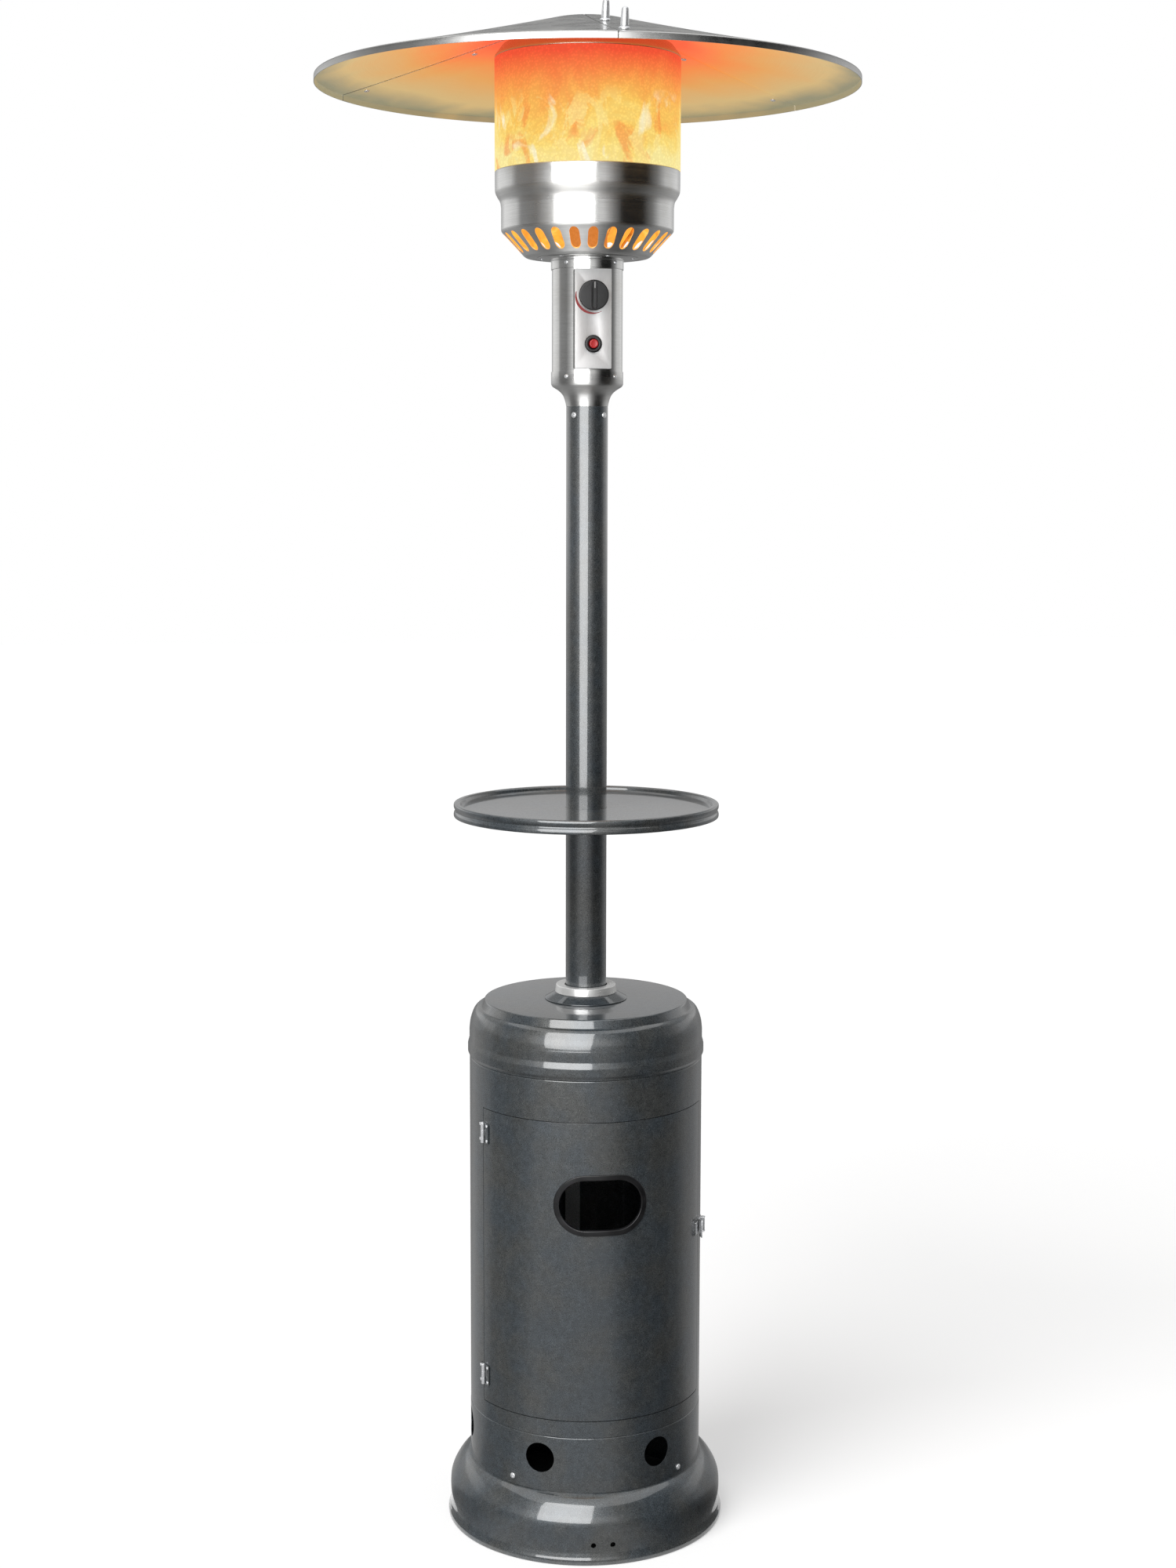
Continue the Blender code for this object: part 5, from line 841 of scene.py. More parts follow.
def hammered_paint(name, seed=0.0):
    """Slate hammertone enamel: small flat dimples, drifting light flake and a smooth clear top."""
    finish = Finish(name, (0.05, 0.05, 0.05), 0.2, 0.30, Coat_Weight=1.0, Coat_Roughness=0.06, Coat_IOR=1.75)
    place = finish.add("ShaderNodeVectorMath", {0: finish.place, 1: (seed, seed, seed)}).outputs[0]
    flake = finish.noise(900.0, 2.0, place, 0.6)
    fleck = finish.cells(420.0, place)
    drift = finish.noise(16.0, 3.0, place, 0.55)
    tone = finish.ramp(
        flake, (0.30, (0.026, 0.029, 0.031)), (0.50, (0.056, 0.061, 0.064)), (0.70, (0.116, 0.123, 0.125)),
    )
    blots = finish.noise(110.0, 3.0, place, 0.6)
    cool = finish.mix(finish.span(drift, 0.38, 0.64), (0.86, 0.97, 1.07), (1.06, 1.03, 0.97))
    shade = finish.span(blots, 0.36, 0.64, 0.86, 1.16)
    tone = finish.mix(1.0, tone, finish.shaded(cool, shade), "MULTIPLY")
    spark = finish.span(fleck, 0.0, 0.30, 1.35, 1.0)
    finish.color(finish.shaded(tone, spark))
    finish.roughness(finish.span(flake, 0.3, 0.7, 0.24, 0.40))
    finish.bump(finish.noise(260.0, 1.0, place), PAINT_DIMPLE, 0.30)
    finish.bump(finish.noise(60.0, 1.0, place), PAINT_WAVE, 0.10)
    return finish.material


def spun_steel(name, color, roughness, groove, warm=0.0, metallic=1.0, brushed=0.0, slope=0.0):
    """Turned sheet: fine rings round the axis, faint stains and wear. A slope is duller than a wall."""
    finish = Finish(name, color, metallic, roughness)
    _, _, z = finish.parts()
    rings = finish.joined(finish.radius(), z, finish.times(finish.azimuth(), 0.0012))
    lines = finish.noise(2600.0, 3.0, rings, 0.7)
    wide = finish.noise(260.0, 2.0, rings, 0.5)
    smear = finish.noise(14.0, 4.0, None, 0.6, 0.4)
    dim = tuple(channel * 0.86 for channel in color)
    tone = finish.mix(finish.span(lines, 0.35, 0.65), dim, color)
    yellow = (1.0, 0.96 - warm * 0.2, 0.90 - warm * 0.5)
    stain = tuple(channel * shade for channel, shade in zip(color, yellow))
    tone = finish.mix(finish.span(smear, 0.52, 0.75, 0.0, 0.35 + warm * 0.5), tone, stain)
    finish.color(tone)
    gloss = finish.span(smear, 0.3, 0.7, roughness * 0.75, roughness * 1.35)
    gloss = finish.plus(gloss, finish.span(wide, 0.3, 0.7, -0.02, 0.03))
    if slope:
        lean = finish.math("ABSOLUTE", finish.upward())
        gloss = finish.plus(gloss, finish.span(lean, 0.05, 0.30, 0.0, slope))
    finish.roughness(gloss)
    finish.bump(lines, SPUN_GROOVE, groove)
    if brushed:
        finish.set(finish.shader, "Anisotropic", brushed)
        finish.set(finish.shader, "Anisotropic Rotation", 0.25)
        tangent = finish.add("ShaderNodeTangent", direction_type="RADIAL", axis="Z")
        finish.set(finish.shader, "Tangent", tangent.outputs["Tangent"])
    return finish.material


def zinc_plate():
    """Bright plated steel with soft spangle and small pits."""
    finish = Finish("zinc_plate", (0.85, 0.86, 0.87), 0.6, 0.24)
    spangle = finish.cells(900.0, output="Color")
    share = finish.span(spangle, 0.0, 1.0, 0.0, 0.35)
    finish.color(finish.mix(share, (0.88, 0.89, 0.91), (0.68, 0.69, 0.70)))
    pits = finish.noise(1500.0, 2.0)
    finish.roughness(finish.span(pits, 0.3, 0.7, 0.16, 0.34))
    finish.bump(pits, PLATING_PIT, 0.15)
    return finish.material


def brass_stock():
    """Drawn brass with a little tarnish."""
    finish = Finish("brass_stock", (0.72, 0.52, 0.24), 1.0, 0.28)
    tarnish = finish.noise(60.0, 4.0, None, 0.6)
    finish.color(finish.mix(finish.span(tarnish, 0.45, 0.70), (0.74, 0.54, 0.26), (0.42, 0.27, 0.13)))
    marks = finish.noise(700.0, 2.0, finish.stretched((1.0, 1.0, 6.0)))
    finish.roughness(finish.span(marks, 0.3, 0.7, 0.20, 0.40))
    finish.bump(marks, PLATING_PIT, 0.2)
    return finish.material


def moulded(name, color, roughness, grain=0.12):
    """Moulded plastic: a fine spark-eroded grain and faint rubbed patches."""
    finish = Finish(name, color, 0.0, roughness, Specular_IOR_Level=0.5)
    grit = finish.noise(1600.0, 2.0)
    rub = finish.noise(45.0, 3.0)
    light = tuple(min(1.0, channel * 1.5 + 0.004) for channel in color)
    finish.color(finish.mix(finish.span(rub, 0.45, 0.70, 0.0, 0.6), color, light))
    finish.roughness(finish.span(rub, 0.3, 0.7, roughness * 0.8, roughness * 1.25))
    finish.bump(grit, GRAIN_DEPTH, grain)
    return finish.material


def cast_iron():
    """Rough iron with a painted dull orange glow that stands for the flames' light on it."""
    # Painted light: the emission colour is the flames' orange light, painted onto the iron.
    painted_glow = (1.0, 0.30, 0.05)
    finish = Finish("cast_iron", (0.10, 0.095, 0.09), 0.7, 0.6, Emission_Color=painted_glow, Emission_Strength=0.55)
    lumps = finish.noise(260.0, 4.0, None, 0.65)
    finish.color(finish.ramp(lumps, (0.3, (0.05, 0.045, 0.042)), (0.7, (0.20, 0.15, 0.11))))
    finish.roughness(finish.span(lumps, 0.3, 0.7, 0.5, 0.8))
    finish.bump(lumps, CASTING_LUMP, 0.5)
    return finish.material


def ballast_paint():
    """Black paint with scuffs and small chips."""
    finish = Finish("ballast_paint", (0.030, 0.030, 0.032), 0.1, 0.55)
    scuff = finish.noise(35.0, 5.0, None, 0.65, 0.6)
    chip = finish.cells(90.0)
    tone = finish.ramp(
        scuff, (0.35, (0.020, 0.021, 0.023)), (0.62, (0.045, 0.046, 0.049)), (0.72, (0.085, 0.08, 0.074)),
    )
    finish.color(finish.mix(finish.span(chip, 0.0, 0.06, 0.5, 0.0), tone, (0.16, 0.13, 0.11)))
    finish.roughness(finish.span(scuff, 0.3, 0.7, 0.42, 0.70))
    finish.bump(finish.noise(500.0, 2.0), MESH_DEPTH, 0.25)
    return finish.material


def front_plate():
    """Near-white silver plate with a very fine upright brushing."""
    finish = Finish("front_plate", (0.80, 0.80, 0.80), 0.1, 0.42)
    lines = finish.noise(60.0, 3.0, finish.stretched((40.0, 1.0, 1.5)), 0.6)
    finish.color(finish.mix(finish.span(lines, 0.35, 0.65), (0.76, 0.76, 0.765), (0.84, 0.84, 0.84)))
    finish.roughness(finish.span(lines, 0.3, 0.7, 0.30, 0.44))
    finish.bump(lines, BRUSHED_LINE, 0.12)
    return finish.material


def printed(name, color):
    """Screen print with a fine dot."""
    finish = Finish(name, color, 0.0, 0.42)
    dots = finish.noise(1800.0, 2.0)
    dark = tuple(channel * 0.7 for channel in color)
    finish.color(finish.mix(finish.span(dots, 0.3, 0.7), dark, color))
    finish.bump(dots, PRINT_DOT, 0.2)
    return finish.material


def ceramic():
    """Cream glaze with fine specks."""
    finish = Finish("ceramic", (0.75, 0.74, 0.70), 0.0, 0.2, Coat_Weight=0.4)
    speck = finish.noise(400.0, 3.0)
    finish.color(finish.ramp(speck, (0.35, (0.62, 0.60, 0.54)), (0.6, (0.80, 0.79, 0.75))))
    finish.roughness(finish.span(speck, 0.3, 0.7, 0.15, 0.3))
    return finish.material


def flame_screen():
    """Punched steel glowing red at its top, with the flames behind it yellow and white lower down."""
    red = (0.06, 0.02, 0.01)
    finish = Finish("flame_screen", red, 0.0, 0.6, Specular_IOR_Level=0.15, Emission_Strength=1.0)
    _, _, z = finish.parts()
    angle = finish.azimuth()
    rise = finish.span(z, EMITTER_BOTTOM, EMITTER_TOP)
    across = finish.times(finish.math("SINE", angle), BOWL_RADIUS)
    depth = finish.times(finish.math("COSINE", angle), BOWL_RADIUS)
    sheet = finish.joined(across, depth, finish.times(z, 0.7))
    swirl = finish.span(finish.noise(11.0, 5.0, sheet, 0.60, 0.8), 0.25, 0.75, -1.0, 1.0)
    reach = finish.span(rise, 0.85, 0.25, 0.05, 0.34)
    warmth = finish.plus(rise, finish.times(swirl, reach))
    tone = finish.ramp(
        warmth, (0.0, (0.97, 0.85, 0.35)), (0.22, (0.97, 0.74, 0.20)), (0.40, (0.97, 0.60, 0.12)),
        (0.60, (0.95, 0.42, 0.085)), (0.80, (0.94, 0.22, 0.055)), (0.96, (0.90, 0.085, 0.035)),
    )
    low = finish.span(rise, 0.66, 0.42)
    marks = (
        (15.0, 4.0, 0.55, 0.9, 0.57, 0.64, 0.6, (0.93, 0.27, 0.06)),
        (23.0, 4.0, 0.55, 1.3, 0.52, 0.57, 0.75, (0.98, 0.78, 0.27)),
        (16.0, 3.0, 0.5, 1.1, 0.60, 0.66, 0.9, (0.98, 0.92, 0.62)),
    )
    for scale, detail, rough, distortion, none, full, share, color in marks:
        licks = finish.span(finish.noise(scale, detail, sheet, rough, distortion), none, full)
        tone = finish.mix(finish.times(finish.times(licks, low), share), tone, color)
    holes = finish.joined(finish.times(angle, BOWL_RADIUS), z, 0.0)
    pitch = finish.cells(260.0, holes)
    weave = finish.span(pitch, 0.25, 0.55, 1.03, 0.90)
    finish.set(finish.shader, "Emission Color", finish.shaded(tone, weave))
    finish.bump(pitch, MESH_DEPTH, 0.4)
    return finish.material


def painted_inner_glow(name, color, strength):
    """Steel inside the head with a painted orange glow that stands for the flames' light on it, brightest in
    patches where the flames lick it.
    """
    finish = Finish(name, (0.25, 0.16, 0.10), 0.6, 0.5, Emission_Strength=strength)
    flicker = finish.noise(38.0, 3.0, None, 0.6, 1.0)
    dim = tuple(channel * 0.6 for channel in color)
    tone = finish.ramp(flicker, (0.32, dim), (0.55, color), (0.75, (1.0, 0.62, 0.16)))
    # Painted light: the flames' orange light as emission, patchy by the noise.
    finish.set(finish.shader, "Emission Color", tone)
    finish.bump(finish.noise(500.0, 2.0), HOT_SCALE, 0.3)
    return finish.material


def hood_underside():
    """Satin steel under the hood: painted orange light of the screen as emission, and a painted orange
    reflection of the screen in its colour, both round the screen and fading outward.
    """
    finish = Finish("hood_underside", (0.6, 0.6, 0.58), 0.55, 0.42, Emission_Strength=1.0)
    radius = finish.radius()
    out = finish.span(radius, BOWL_RADIUS, HOOD_RADIUS)
    drift = finish.noise(7.0, 3.0, None, 0.5, 0.5)
    out = finish.plus(out, finish.span(drift, 0.3, 0.7, -0.07, 0.07))
    # Painted reflection: the screen's orange light tints the colour near it, fading to grey steel at the
    # rim.
    painted_reflection_tint = finish.ramp(
        out, (0.0, (0.34, 0.07, 0.03)), (0.22, (0.30, 0.10, 0.04)), (0.50, (0.28, 0.17, 0.08)),
        (0.80, (0.28, 0.25, 0.17)), (1.0, (0.30, 0.32, 0.27)),
    )
    rings = finish.joined(radius, 0.0, finish.times(finish.azimuth(), 0.002))
    lines = finish.noise(1500.0, 3.0, rings, 0.6)
    finish.color(finish.mix(finish.span(lines, 0.3, 0.7, 0.0, 0.12), painted_reflection_tint, (0.30, 0.28, 0.24)))
    # Painted light: emission that stands for the screen's orange light falling on the underside.
    painted_glow = finish.ramp(
        out, (0.0, (0.90, 0.10, 0.03)), (0.15, (0.86, 0.17, 0.045)), (0.30, (0.80, 0.23, 0.045)),
        (0.50, (0.68, 0.31, 0.075)), (0.80, (0.55, 0.37, 0.14)), (1.0, (0.18, 0.16, 0.09)),
    )
    finish.set(finish.shader, "Emission Color", painted_glow)
    finish.roughness(finish.span(lines, 0.3, 0.7, 0.34, 0.48))
    finish.bump(lines, BRUSHED_LINE, 0.1)
    return finish.material


paint = hammered_paint("slate_hammertone")
door_paint = hammered_paint("slate_hammertone_door", 3.7)
inner_paint = ballast_paint()
zinc = zinc_plate()
brass = brass_stock()
polished = spun_steel("polished_steel", (0.74, 0.74, 0.73), 0.17, 0.02, brushed=0.85, slope=0.24)
bowl_steel = spun_steel("bowl_steel", (0.74, 0.74, 0.73), 0.20, 0.02, brushed=0.85, slope=0.24)
collar_steel = spun_steel("collar_steel", (0.90, 0.90, 0.89), 0.22, 0.05, metallic=0.5)
cap_steel = spun_steel("cap_steel", (0.62, 0.55, 0.50), 0.24, 0.1, warm=0.6)
hood_steel = spun_steel("hood_steel", (0.60, 0.60, 0.59), 0.27, 0.03)
# The underside's material carries the painted orange light and reflection of the screen.
hood_below = hood_underside()
black_plastic = moulded("black_plastic", (0.007, 0.007, 0.008), 0.32)
trim_plastic = moulded("trim_plastic", (0.009, 0.009, 0.010), 0.30)
red_plastic = moulded("red_plastic", (0.62, 0.020, 0.022), 0.22, 0.03)
plate_finish = front_plate()
red_print = printed("red_print", (0.42, 0.020, 0.020))
white_print = printed("white_print", (0.70, 0.70, 0.70))
iron = cast_iron()
# Painted glow: the flames' orange light on the steel inside the head.
hot_inside = painted_inner_glow("hot_inside", (1.0, 0.40, 0.05), 1.15)
hot_plate = painted_inner_glow("hot_plate", (1.0, 0.36, 0.06), 1.3)
screen_finish = flame_screen()
glaze = ceramic()


# Base and drum

def make_base():
    flare = BASE_FOOT_RADIUS - BASE_SHOULDER_RADIUS
    foot = soften([
        (BASE_FOOT_RADIUS - BASE_FLANGE, 0.0), (BASE_FOOT_RADIUS, 0.0),
        (BASE_FOOT_RADIUS, BASE_HEIGHT * BASE_FLARE_SHARES[0][1]),
    ], BASE_FOOT_ROLL)
    rise = curve([
        (BASE_SHOULDER_RADIUS + flare * width, BASE_HEIGHT * height) for width, height in BASE_FLARE_SHARES
    ])
    neck_top = BASE_HEIGHT + BASE_NECK_HEIGHT
    neck = soften([rise[-1], (BASE_NECK_RADIUS, BASE_HEIGHT), (BASE_NECK_RADIUS, neck_top)], BASE_NECK_ROLL)
    shell = stand_in("base_shell", turn(bmesh.new(), skin(thin(foot + rise + neck), BASE_SHEET), DRUM_STEPS))
    holes = bmesh.new()
    for place in ring_of((-BASE_HOLE_AZIMUTH, BASE_HOLE_AZIMUTH), BASE_FOOT_RADIUS, BASE_HOLE_HEIGHT):
        rod(holes, BASE_HOLE_RADIUS, -BASE_FLANGE, OVERRUN, SMALL_STEPS, place)
    combine(shell, holes)
    dress(shell, paint)

    inner = BASE_FOOT_RADIUS - BASE_FLANGE - BASE_SHEET - TOUCH
    ledge = BASE_SHEET + TOUCH
    turned("base_floor", soften([
        (0.0, 0.0), (inner, 0.0), (inner, ledge), (inner + FLOOR_LAP, ledge),
        (inner + FLOOR_LAP, FLOOR_THICKNESS), (0.0, FLOOR_THICKNESS),
    ], FINE_ROLL), DRUM_STEPS, inner_paint)


def necked_band(node, radius, bottom, top):
    """A band whose stepped neck carries the piece above it."""
    neck = [(NECK_RADIUS, top), (NECK_RADIUS, top + NECK_RISE)]
    outline = soften([(radius, bottom), (radius, top - NECK_STEP), *neck], FINE_ROLL)
    return stand_in(node, turn(bmesh.new(), skin(outline, DRUM_SHEET), DRUM_STEPS))


def make_ring():
    ring = necked_band("lower_ring", RING_RADIUS, RING_BOTTOM, RING_TOP)
    holes = bmesh.new()
    for place in ring_of(VENT_AZIMUTHS, RING_RADIUS, VENT_HEIGHT):
        rod(holes, VENT_RADIUS, -OVERRUN, OVERRUN, SMALL_STEPS * 2, place)
    combine(ring, holes)
    dress(ring, paint)


def make_wall():
    wall = necked_band("housing_shell", DRUM_RADIUS, WALL_BOTTOM, WALL_TOP)
    combine(wall, door_band(-DOOR_SEAM, DRUM_RADIUS - OVERRUN, DRUM_RADIUS + OVERRUN))
    dress(wall, paint)


def door_band(ease, inner, outer, edge=0.0):
    """The door's part of a band, smaller than the door's size by an ease on each side."""
    bottom = DOOR_BOTTOM + ease
    top = DOOR_TOP - ease
    half_angle = DOOR_HALF_ANGLE - degrees(ease / DRUM_RADIUS)
    outline = band(inner, outer, bottom, top)
    if edge:
        outline = soften(outline, edge)
    return turn_part(bmesh.new(), outline, DRUM_STEPS, -half_angle, half_angle)


def make_cap():
    bead = RING_RADIUS + CAP_BEAD_PROUD
    bead_top = CAP_BOTTOM + CAP_BEAD_HEIGHT
    groove = CAP_DISC_RADIUS + CAP_BEVEL_WIDTH
    groove_height = CAP_TOP - CAP_BEVEL_DROP
    shoulder_bottom = groove_height - CAP_SHOULDER_DROP
    shoulder_foot = shoulder_bottom + CAP_SHOULDER_DROP * CAP_SHOULDER_SHARES[0][1]
    lower = soften([
        (RING_RADIUS, CAP_BOTTOM), (RING_RADIUS, CAP_BOTTOM + CAP_BEAD_ROLL / 3),
        (bead, CAP_BOTTOM + CAP_BEAD_ROLL), (bead, bead_top - CAP_BEAD_ROLL),
        (RING_RADIUS, bead_top + CAP_BEAD_ROLL / 2),
        (RING_RADIUS, shoulder_foot - CAP_BEAD_ROLL),
    ], CAP_ROLL)
    shoulder = curve([
        (groove + (RING_RADIUS - groove) * width, shoulder_bottom + CAP_SHOULDER_DROP * height)
        for width, height in CAP_SHOULDER_SHARES
    ])
    top = soften([
        shoulder[-1], (groove, groove_height), (CAP_DISC_RADIUS + CAP_ROLL, CAP_TOP - CAP_DISC_EDGE),
        (CAP_DISC_RADIUS, CAP_TOP), (SPIGOT_RADIUS + TOUCH, CAP_TOP),
    ], CAP_BEVEL_ROLL)
    turned("top_cap", skin(thin(lower + shoulder + top), DRUM_SHEET), DRUM_STEPS, paint)


def hole_outline(margin, steps):
    return obround(HOLE_WIDTH / 2 + margin, HOLE_HEIGHT / 2 + margin, steps)


def make_door():
    door = stand_in("door", door_band(DOOR_EASE, DRUM_RADIUS - DRUM_SHEET, DRUM_RADIUS, DRUM_SHEET / 4))
    hole = hole_outline(TRIM_THROAT + TOUCH, HOLE_STEPS)
    place = facing(0.0, 0.0, HOLE_MIDDLE)
    combine(door, slab(bmesh.new(), hole, DRUM_RADIUS / 2, DRUM_RADIUS + OVERRUN, place))
    dress(door, door_paint)

    back = -DRUM_SHEET - TRIM_DEPTH
    section = soften([
        (0.0, back), (0.0, TOUCH + TRIM_THICKNESS * TRIM_LIP_SHARE), (TRIM_LIP, TOUCH + TRIM_THICKNESS),
        (TRIM_FLANGE - FINE_ROLL, TOUCH + TRIM_THICKNESS * TRIM_CROWN_SHARE),
        (TRIM_FLANGE, TOUCH + TRIM_THICKNESS * TRIM_EDGE_SHARE),
        (TRIM_FLANGE, TOUCH), (TRIM_THROAT, TOUCH), (TRIM_THROAT, back), (0.0, back + TOUCH / 10),
    ], FINE_ROLL)
    outlines = [hole_outline(margin, TRIM_STEPS) for margin, _ in section]
    rings = []
    for index in range(len(outlines[0])):
        ring = []
        for outline, (_, lift) in zip(outlines, section):
            x, rise = outline[index]
            ring.append((x, -sqrt((DRUM_RADIUS + lift)**2 - x**2), HOLE_MIDDLE + rise))
        rings.append(ring)
    dress(stand_in("door_grip_trim", loft(bmesh.new(), fill_runs(rings), closed=True)), trim_plastic)


def fill_runs(rings):
    """Adds rings along the straight runs so that they follow the drum's curve."""
    filled = []
    for first, second in zip(rings, rings[1:] + rings[:1]):
        count = max(1, round((Vector(second[0]) - Vector(first[0])).length / TRIM_RUN))
        for index in range(count):
            ring = []
            for begin, end in zip(first, second):
                point = Vector(begin).lerp(Vector(end), index / count)
                flat = point.xy.normalized() * Vector(begin[:2]).length
                ring.append((flat.x, flat.y, point.z))
            filled.append(ring)
    return filled


def make_pin(node, radius, half, place):
    pin = rod(bmesh.new(), radius, -half, half, WIRE_STEPS, place)
    rod(pin, PIN_HEAD_RADIUS, half + TOUCH, half + PIN_HEAD, WIRE_STEPS, place, EDGE_BREAK)
    dress(stand_in(node, pin), zinc)


def make_hinges():
    for label, height in HINGE_HEIGHTS.items():
        place = facing(HINGE_AZIMUTH, DRUM_RADIUS + TOUCH + HINGE_KNUCKLE_RADIUS, height)
        make_leaf(f"fixed_{label}", place, -1, (0, 2))
        make_leaf(f"door_{label}", place, 1, (1,))
        make_pin(f"hinge_pin_{label}", HINGE_PIN_RADIUS, HINGE_HEIGHT / 2, upright(place))


def make_leaf(label, place, side, thirds):
    """A painted leaf with its bright knuckles, on the thirds of the pin that it holds, and screws."""
    half = HINGE_HEIGHT / 2
    third = HINGE_HEIGHT / 3
    low = -HINGE_KNUCKLE_RADIUS
    inner = HINGE_KNUCKLE_RADIUS * HINGE_LEAF_START
    middle = side * (inner + HINGE_LEAF_WIDTH) / 2
    plate = rounded_rectangle((HINGE_LEAF_WIDTH - inner) / 2, half, HINGE_CORNER)
    shape = slab(bmesh.new(), [(x + middle, y) for x, y in plate], low, low + HINGE_SHEET, place)
    leaf = stand_in(f"hinge_leaf_{label}", shape)
    others = bmesh.new()
    near, far = sorted((0.0, side * (HINGE_KNUCKLE_RADIUS + HINGE_GAP * 2)))
    for index in {0, 1, 2} - set(thirds):
        bottom = third * index - half - HINGE_GAP / 2
        block(others, (near, bottom, low - HINGE_SHEET), (far, bottom + third + HINGE_GAP, -low), place)
    combine(leaf, others)
    bevel(leaf, HINGE_BREAK)
    dress(leaf, paint)

    bright = bmesh.new()
    for index in thirds:
        bottom = third * index - half + HINGE_GAP / 2
        top = bottom + third - HINGE_GAP
        rod(bright, HINGE_KNUCKLE_RADIUS, bottom, top, SMALL_STEPS, upright(place), EDGE_BREAK)
    for pitch in (-HINGE_SCREW_PITCH / 2, HINGE_SCREW_PITCH / 2):
        seat = place @ Matrix.Translation((side * HINGE_SCREW_OFFSET, pitch, low + HINGE_SHEET))
        screw_head(bright, seat, HINGE_SCREW_RADIUS, HINGE_SCREW_HEAD - HINGE_SHEET / 2)
    dress(make_object(f"hinge_metal_{label}", bright), zinc, owner=f"hinge_leaf_{label}")


def make_latch():
    place = facing(LATCH_AZIMUTH, DRUM_RADIUS, LATCH_HEIGHT)
    pin_place = upright(place @ Matrix.Translation((0.0, 0.0, LATCH_STANDOFF)))
    make_bracket(place)
    make_lever(place, pin_place)
    make_pin("latch_pin", LATCH_PIN_RADIUS, LATCH_PLATE_HEIGHT / 2, pin_place)
    setback = LATCH_NOSE - CATCH_SETBACK + CATCH_WIDTH / 2
    seat = facing(LATCH_AZIMUTH - degrees(setback / DRUM_RADIUS), DRUM_RADIUS + TOUCH, LATCH_HEIGHT)
    outline = rounded_rectangle(CATCH_WIDTH / 2, CATCH_HEIGHT / 2, CATCH_CORNER)
    catch = stand_in("latch_catch", slab(bmesh.new(), outline, 0.0, CATCH_SHEET, seat))
    bevel(catch, SMALL_BREAK)
    dress(catch, zinc)


def make_bracket(place):
    half = LATCH_PLATE_HEIGHT / 2
    back = TOUCH + LATCH_SHEET
    middle = (LATCH_BACK - LATCH_FRONT) / 2
    plate = rounded_rectangle((LATCH_BACK + LATCH_FRONT) / 2, half, LATCH_CORNER)
    plate = [(x + middle, y) for x, y in plate]
    bracket = stand_in("latch_bracket", slab(bmesh.new(), plate, TOUCH, back, place))
    ears = bmesh.new()
    reach = LATCH_EAR_LENGTH / 2
    top = LATCH_STANDOFF + LATCH_KNUCKLE_RADIUS
    for bottom in (-half, half - LATCH_EAR):
        block(ears, (-reach, bottom, back - LATCH_SHEET / 2), (reach, bottom + LATCH_EAR, top), place)
    combine(bracket, ears, "UNION")
    bevel(bracket, EDGE_BREAK)
    shape = reopen(bracket)
    for offset in (-half / 2, half / 2):
        seat = place @ Matrix.Translation((RIVET_REACH, offset, back))
        screw_head(shape, seat, RIVET_RADIUS, RIVET_HEAD, False)
    close(bracket, shape)
    dress(bracket, zinc)


def make_lever(place, pin_place):
    half = LATCH_PLATE_HEIGHT / 2 - LATCH_EAR - TOUCH
    nose = -LATCH_NOSE
    low = LATCH_NOSE_LIFT
    top = low + LATCH_LEVER_SHEET
    front = nose - LATCH_GRIP_LENGTH
    lever = stand_in("latch_lever", block(bmesh.new(), (nose, -half, low), (0.0, half, top), place))
    grip = [
        (nose + LATCH_LEVER_SHEET, low), (nose + LATCH_LEVER_SHEET, top), (nose, top),
        (front, top + LATCH_GRIP_RISE), (front, low + LATCH_GRIP_RISE), (nose, low),
    ]
    reach = LATCH_GRIP_HEIGHT / 2
    combine(lever, slab(bmesh.new(), grip, -reach, reach, place @ Matrix.Rotation(pi / 2, 4, "X")), "UNION")
    bevel(lever, EDGE_BREAK)
    shape = reopen(lever)
    bmesh.ops.dissolve_degenerate(shape, edges=shape.edges, dist=LEVER_WELD)
    half -= LEVER_EASE
    rod(shape, LATCH_KNUCKLE_RADIUS, -half, half, SMALL_STEPS, pin_place, SMALL_BREAK)
    close(lever, shape)
    dress(lever, zinc)


def make_base_screws():
    for index, seat in enumerate(ring_of(CORNER_AZIMUTHS, RING_RADIUS + TOUCH, BASE_SCREW_HEIGHT)):
        shape = screw_head(bmesh.new(), seat, PAN_HEAD_RADIUS, PAN_HEAD)
        rod(shape, SHANK_RADIUS, -PAN_SHANK, 0.0, WIRE_STEPS, seat)
        dress(stand_in(f"base_screw_{index + 1}", shape), zinc)


# Post and table

def make_post():
    bore = POST_RADIUS - POST_SHEET
    outline = band(bore, POST_RADIUS, POST_BOTTOM, POST_TOP)
    outline = soften([*outline, (bore, POST_BOTTOM + TOUCH / 10)], EDGE_BREAK)
    turned("post", outline[:-1], TUBE_STEPS, paint)

    mouth = POST_RADIUS + TOUCH
    turned("post_foot", soften([
        (mouth, POST_BOTTOM), (FOOT_RADIUS, POST_BOTTOM), (FOOT_RADIUS, POST_BOTTOM + FOOT_EDGE),
        (FOOT_TOP_RADIUS, FOOT_TOP), (mouth, FOOT_TOP),
    ], FOOT_EDGE), DRUM_STEPS, paint)

    bottom = FOOT_TOP + TOUCH
    top = bottom + COLLAR_HEIGHT
    mouth = POST_RADIUS + COLLAR_GAP
    turned("post_collar", soften([
        (mouth, bottom), (FOOT_TOP_RADIUS, bottom), (FOOT_TOP_RADIUS - COLLAR_CROWN, top - COLLAR_ROLL),
        (FOOT_TOP_RADIUS - 2 * COLLAR_CROWN, top), (mouth + COLLAR_BREAK, top - COLLAR_BREAK),
        (mouth, top - 2 * COLLAR_BREAK),
    ], COLLAR_ROLL), DRUM_STEPS, collar_steel)


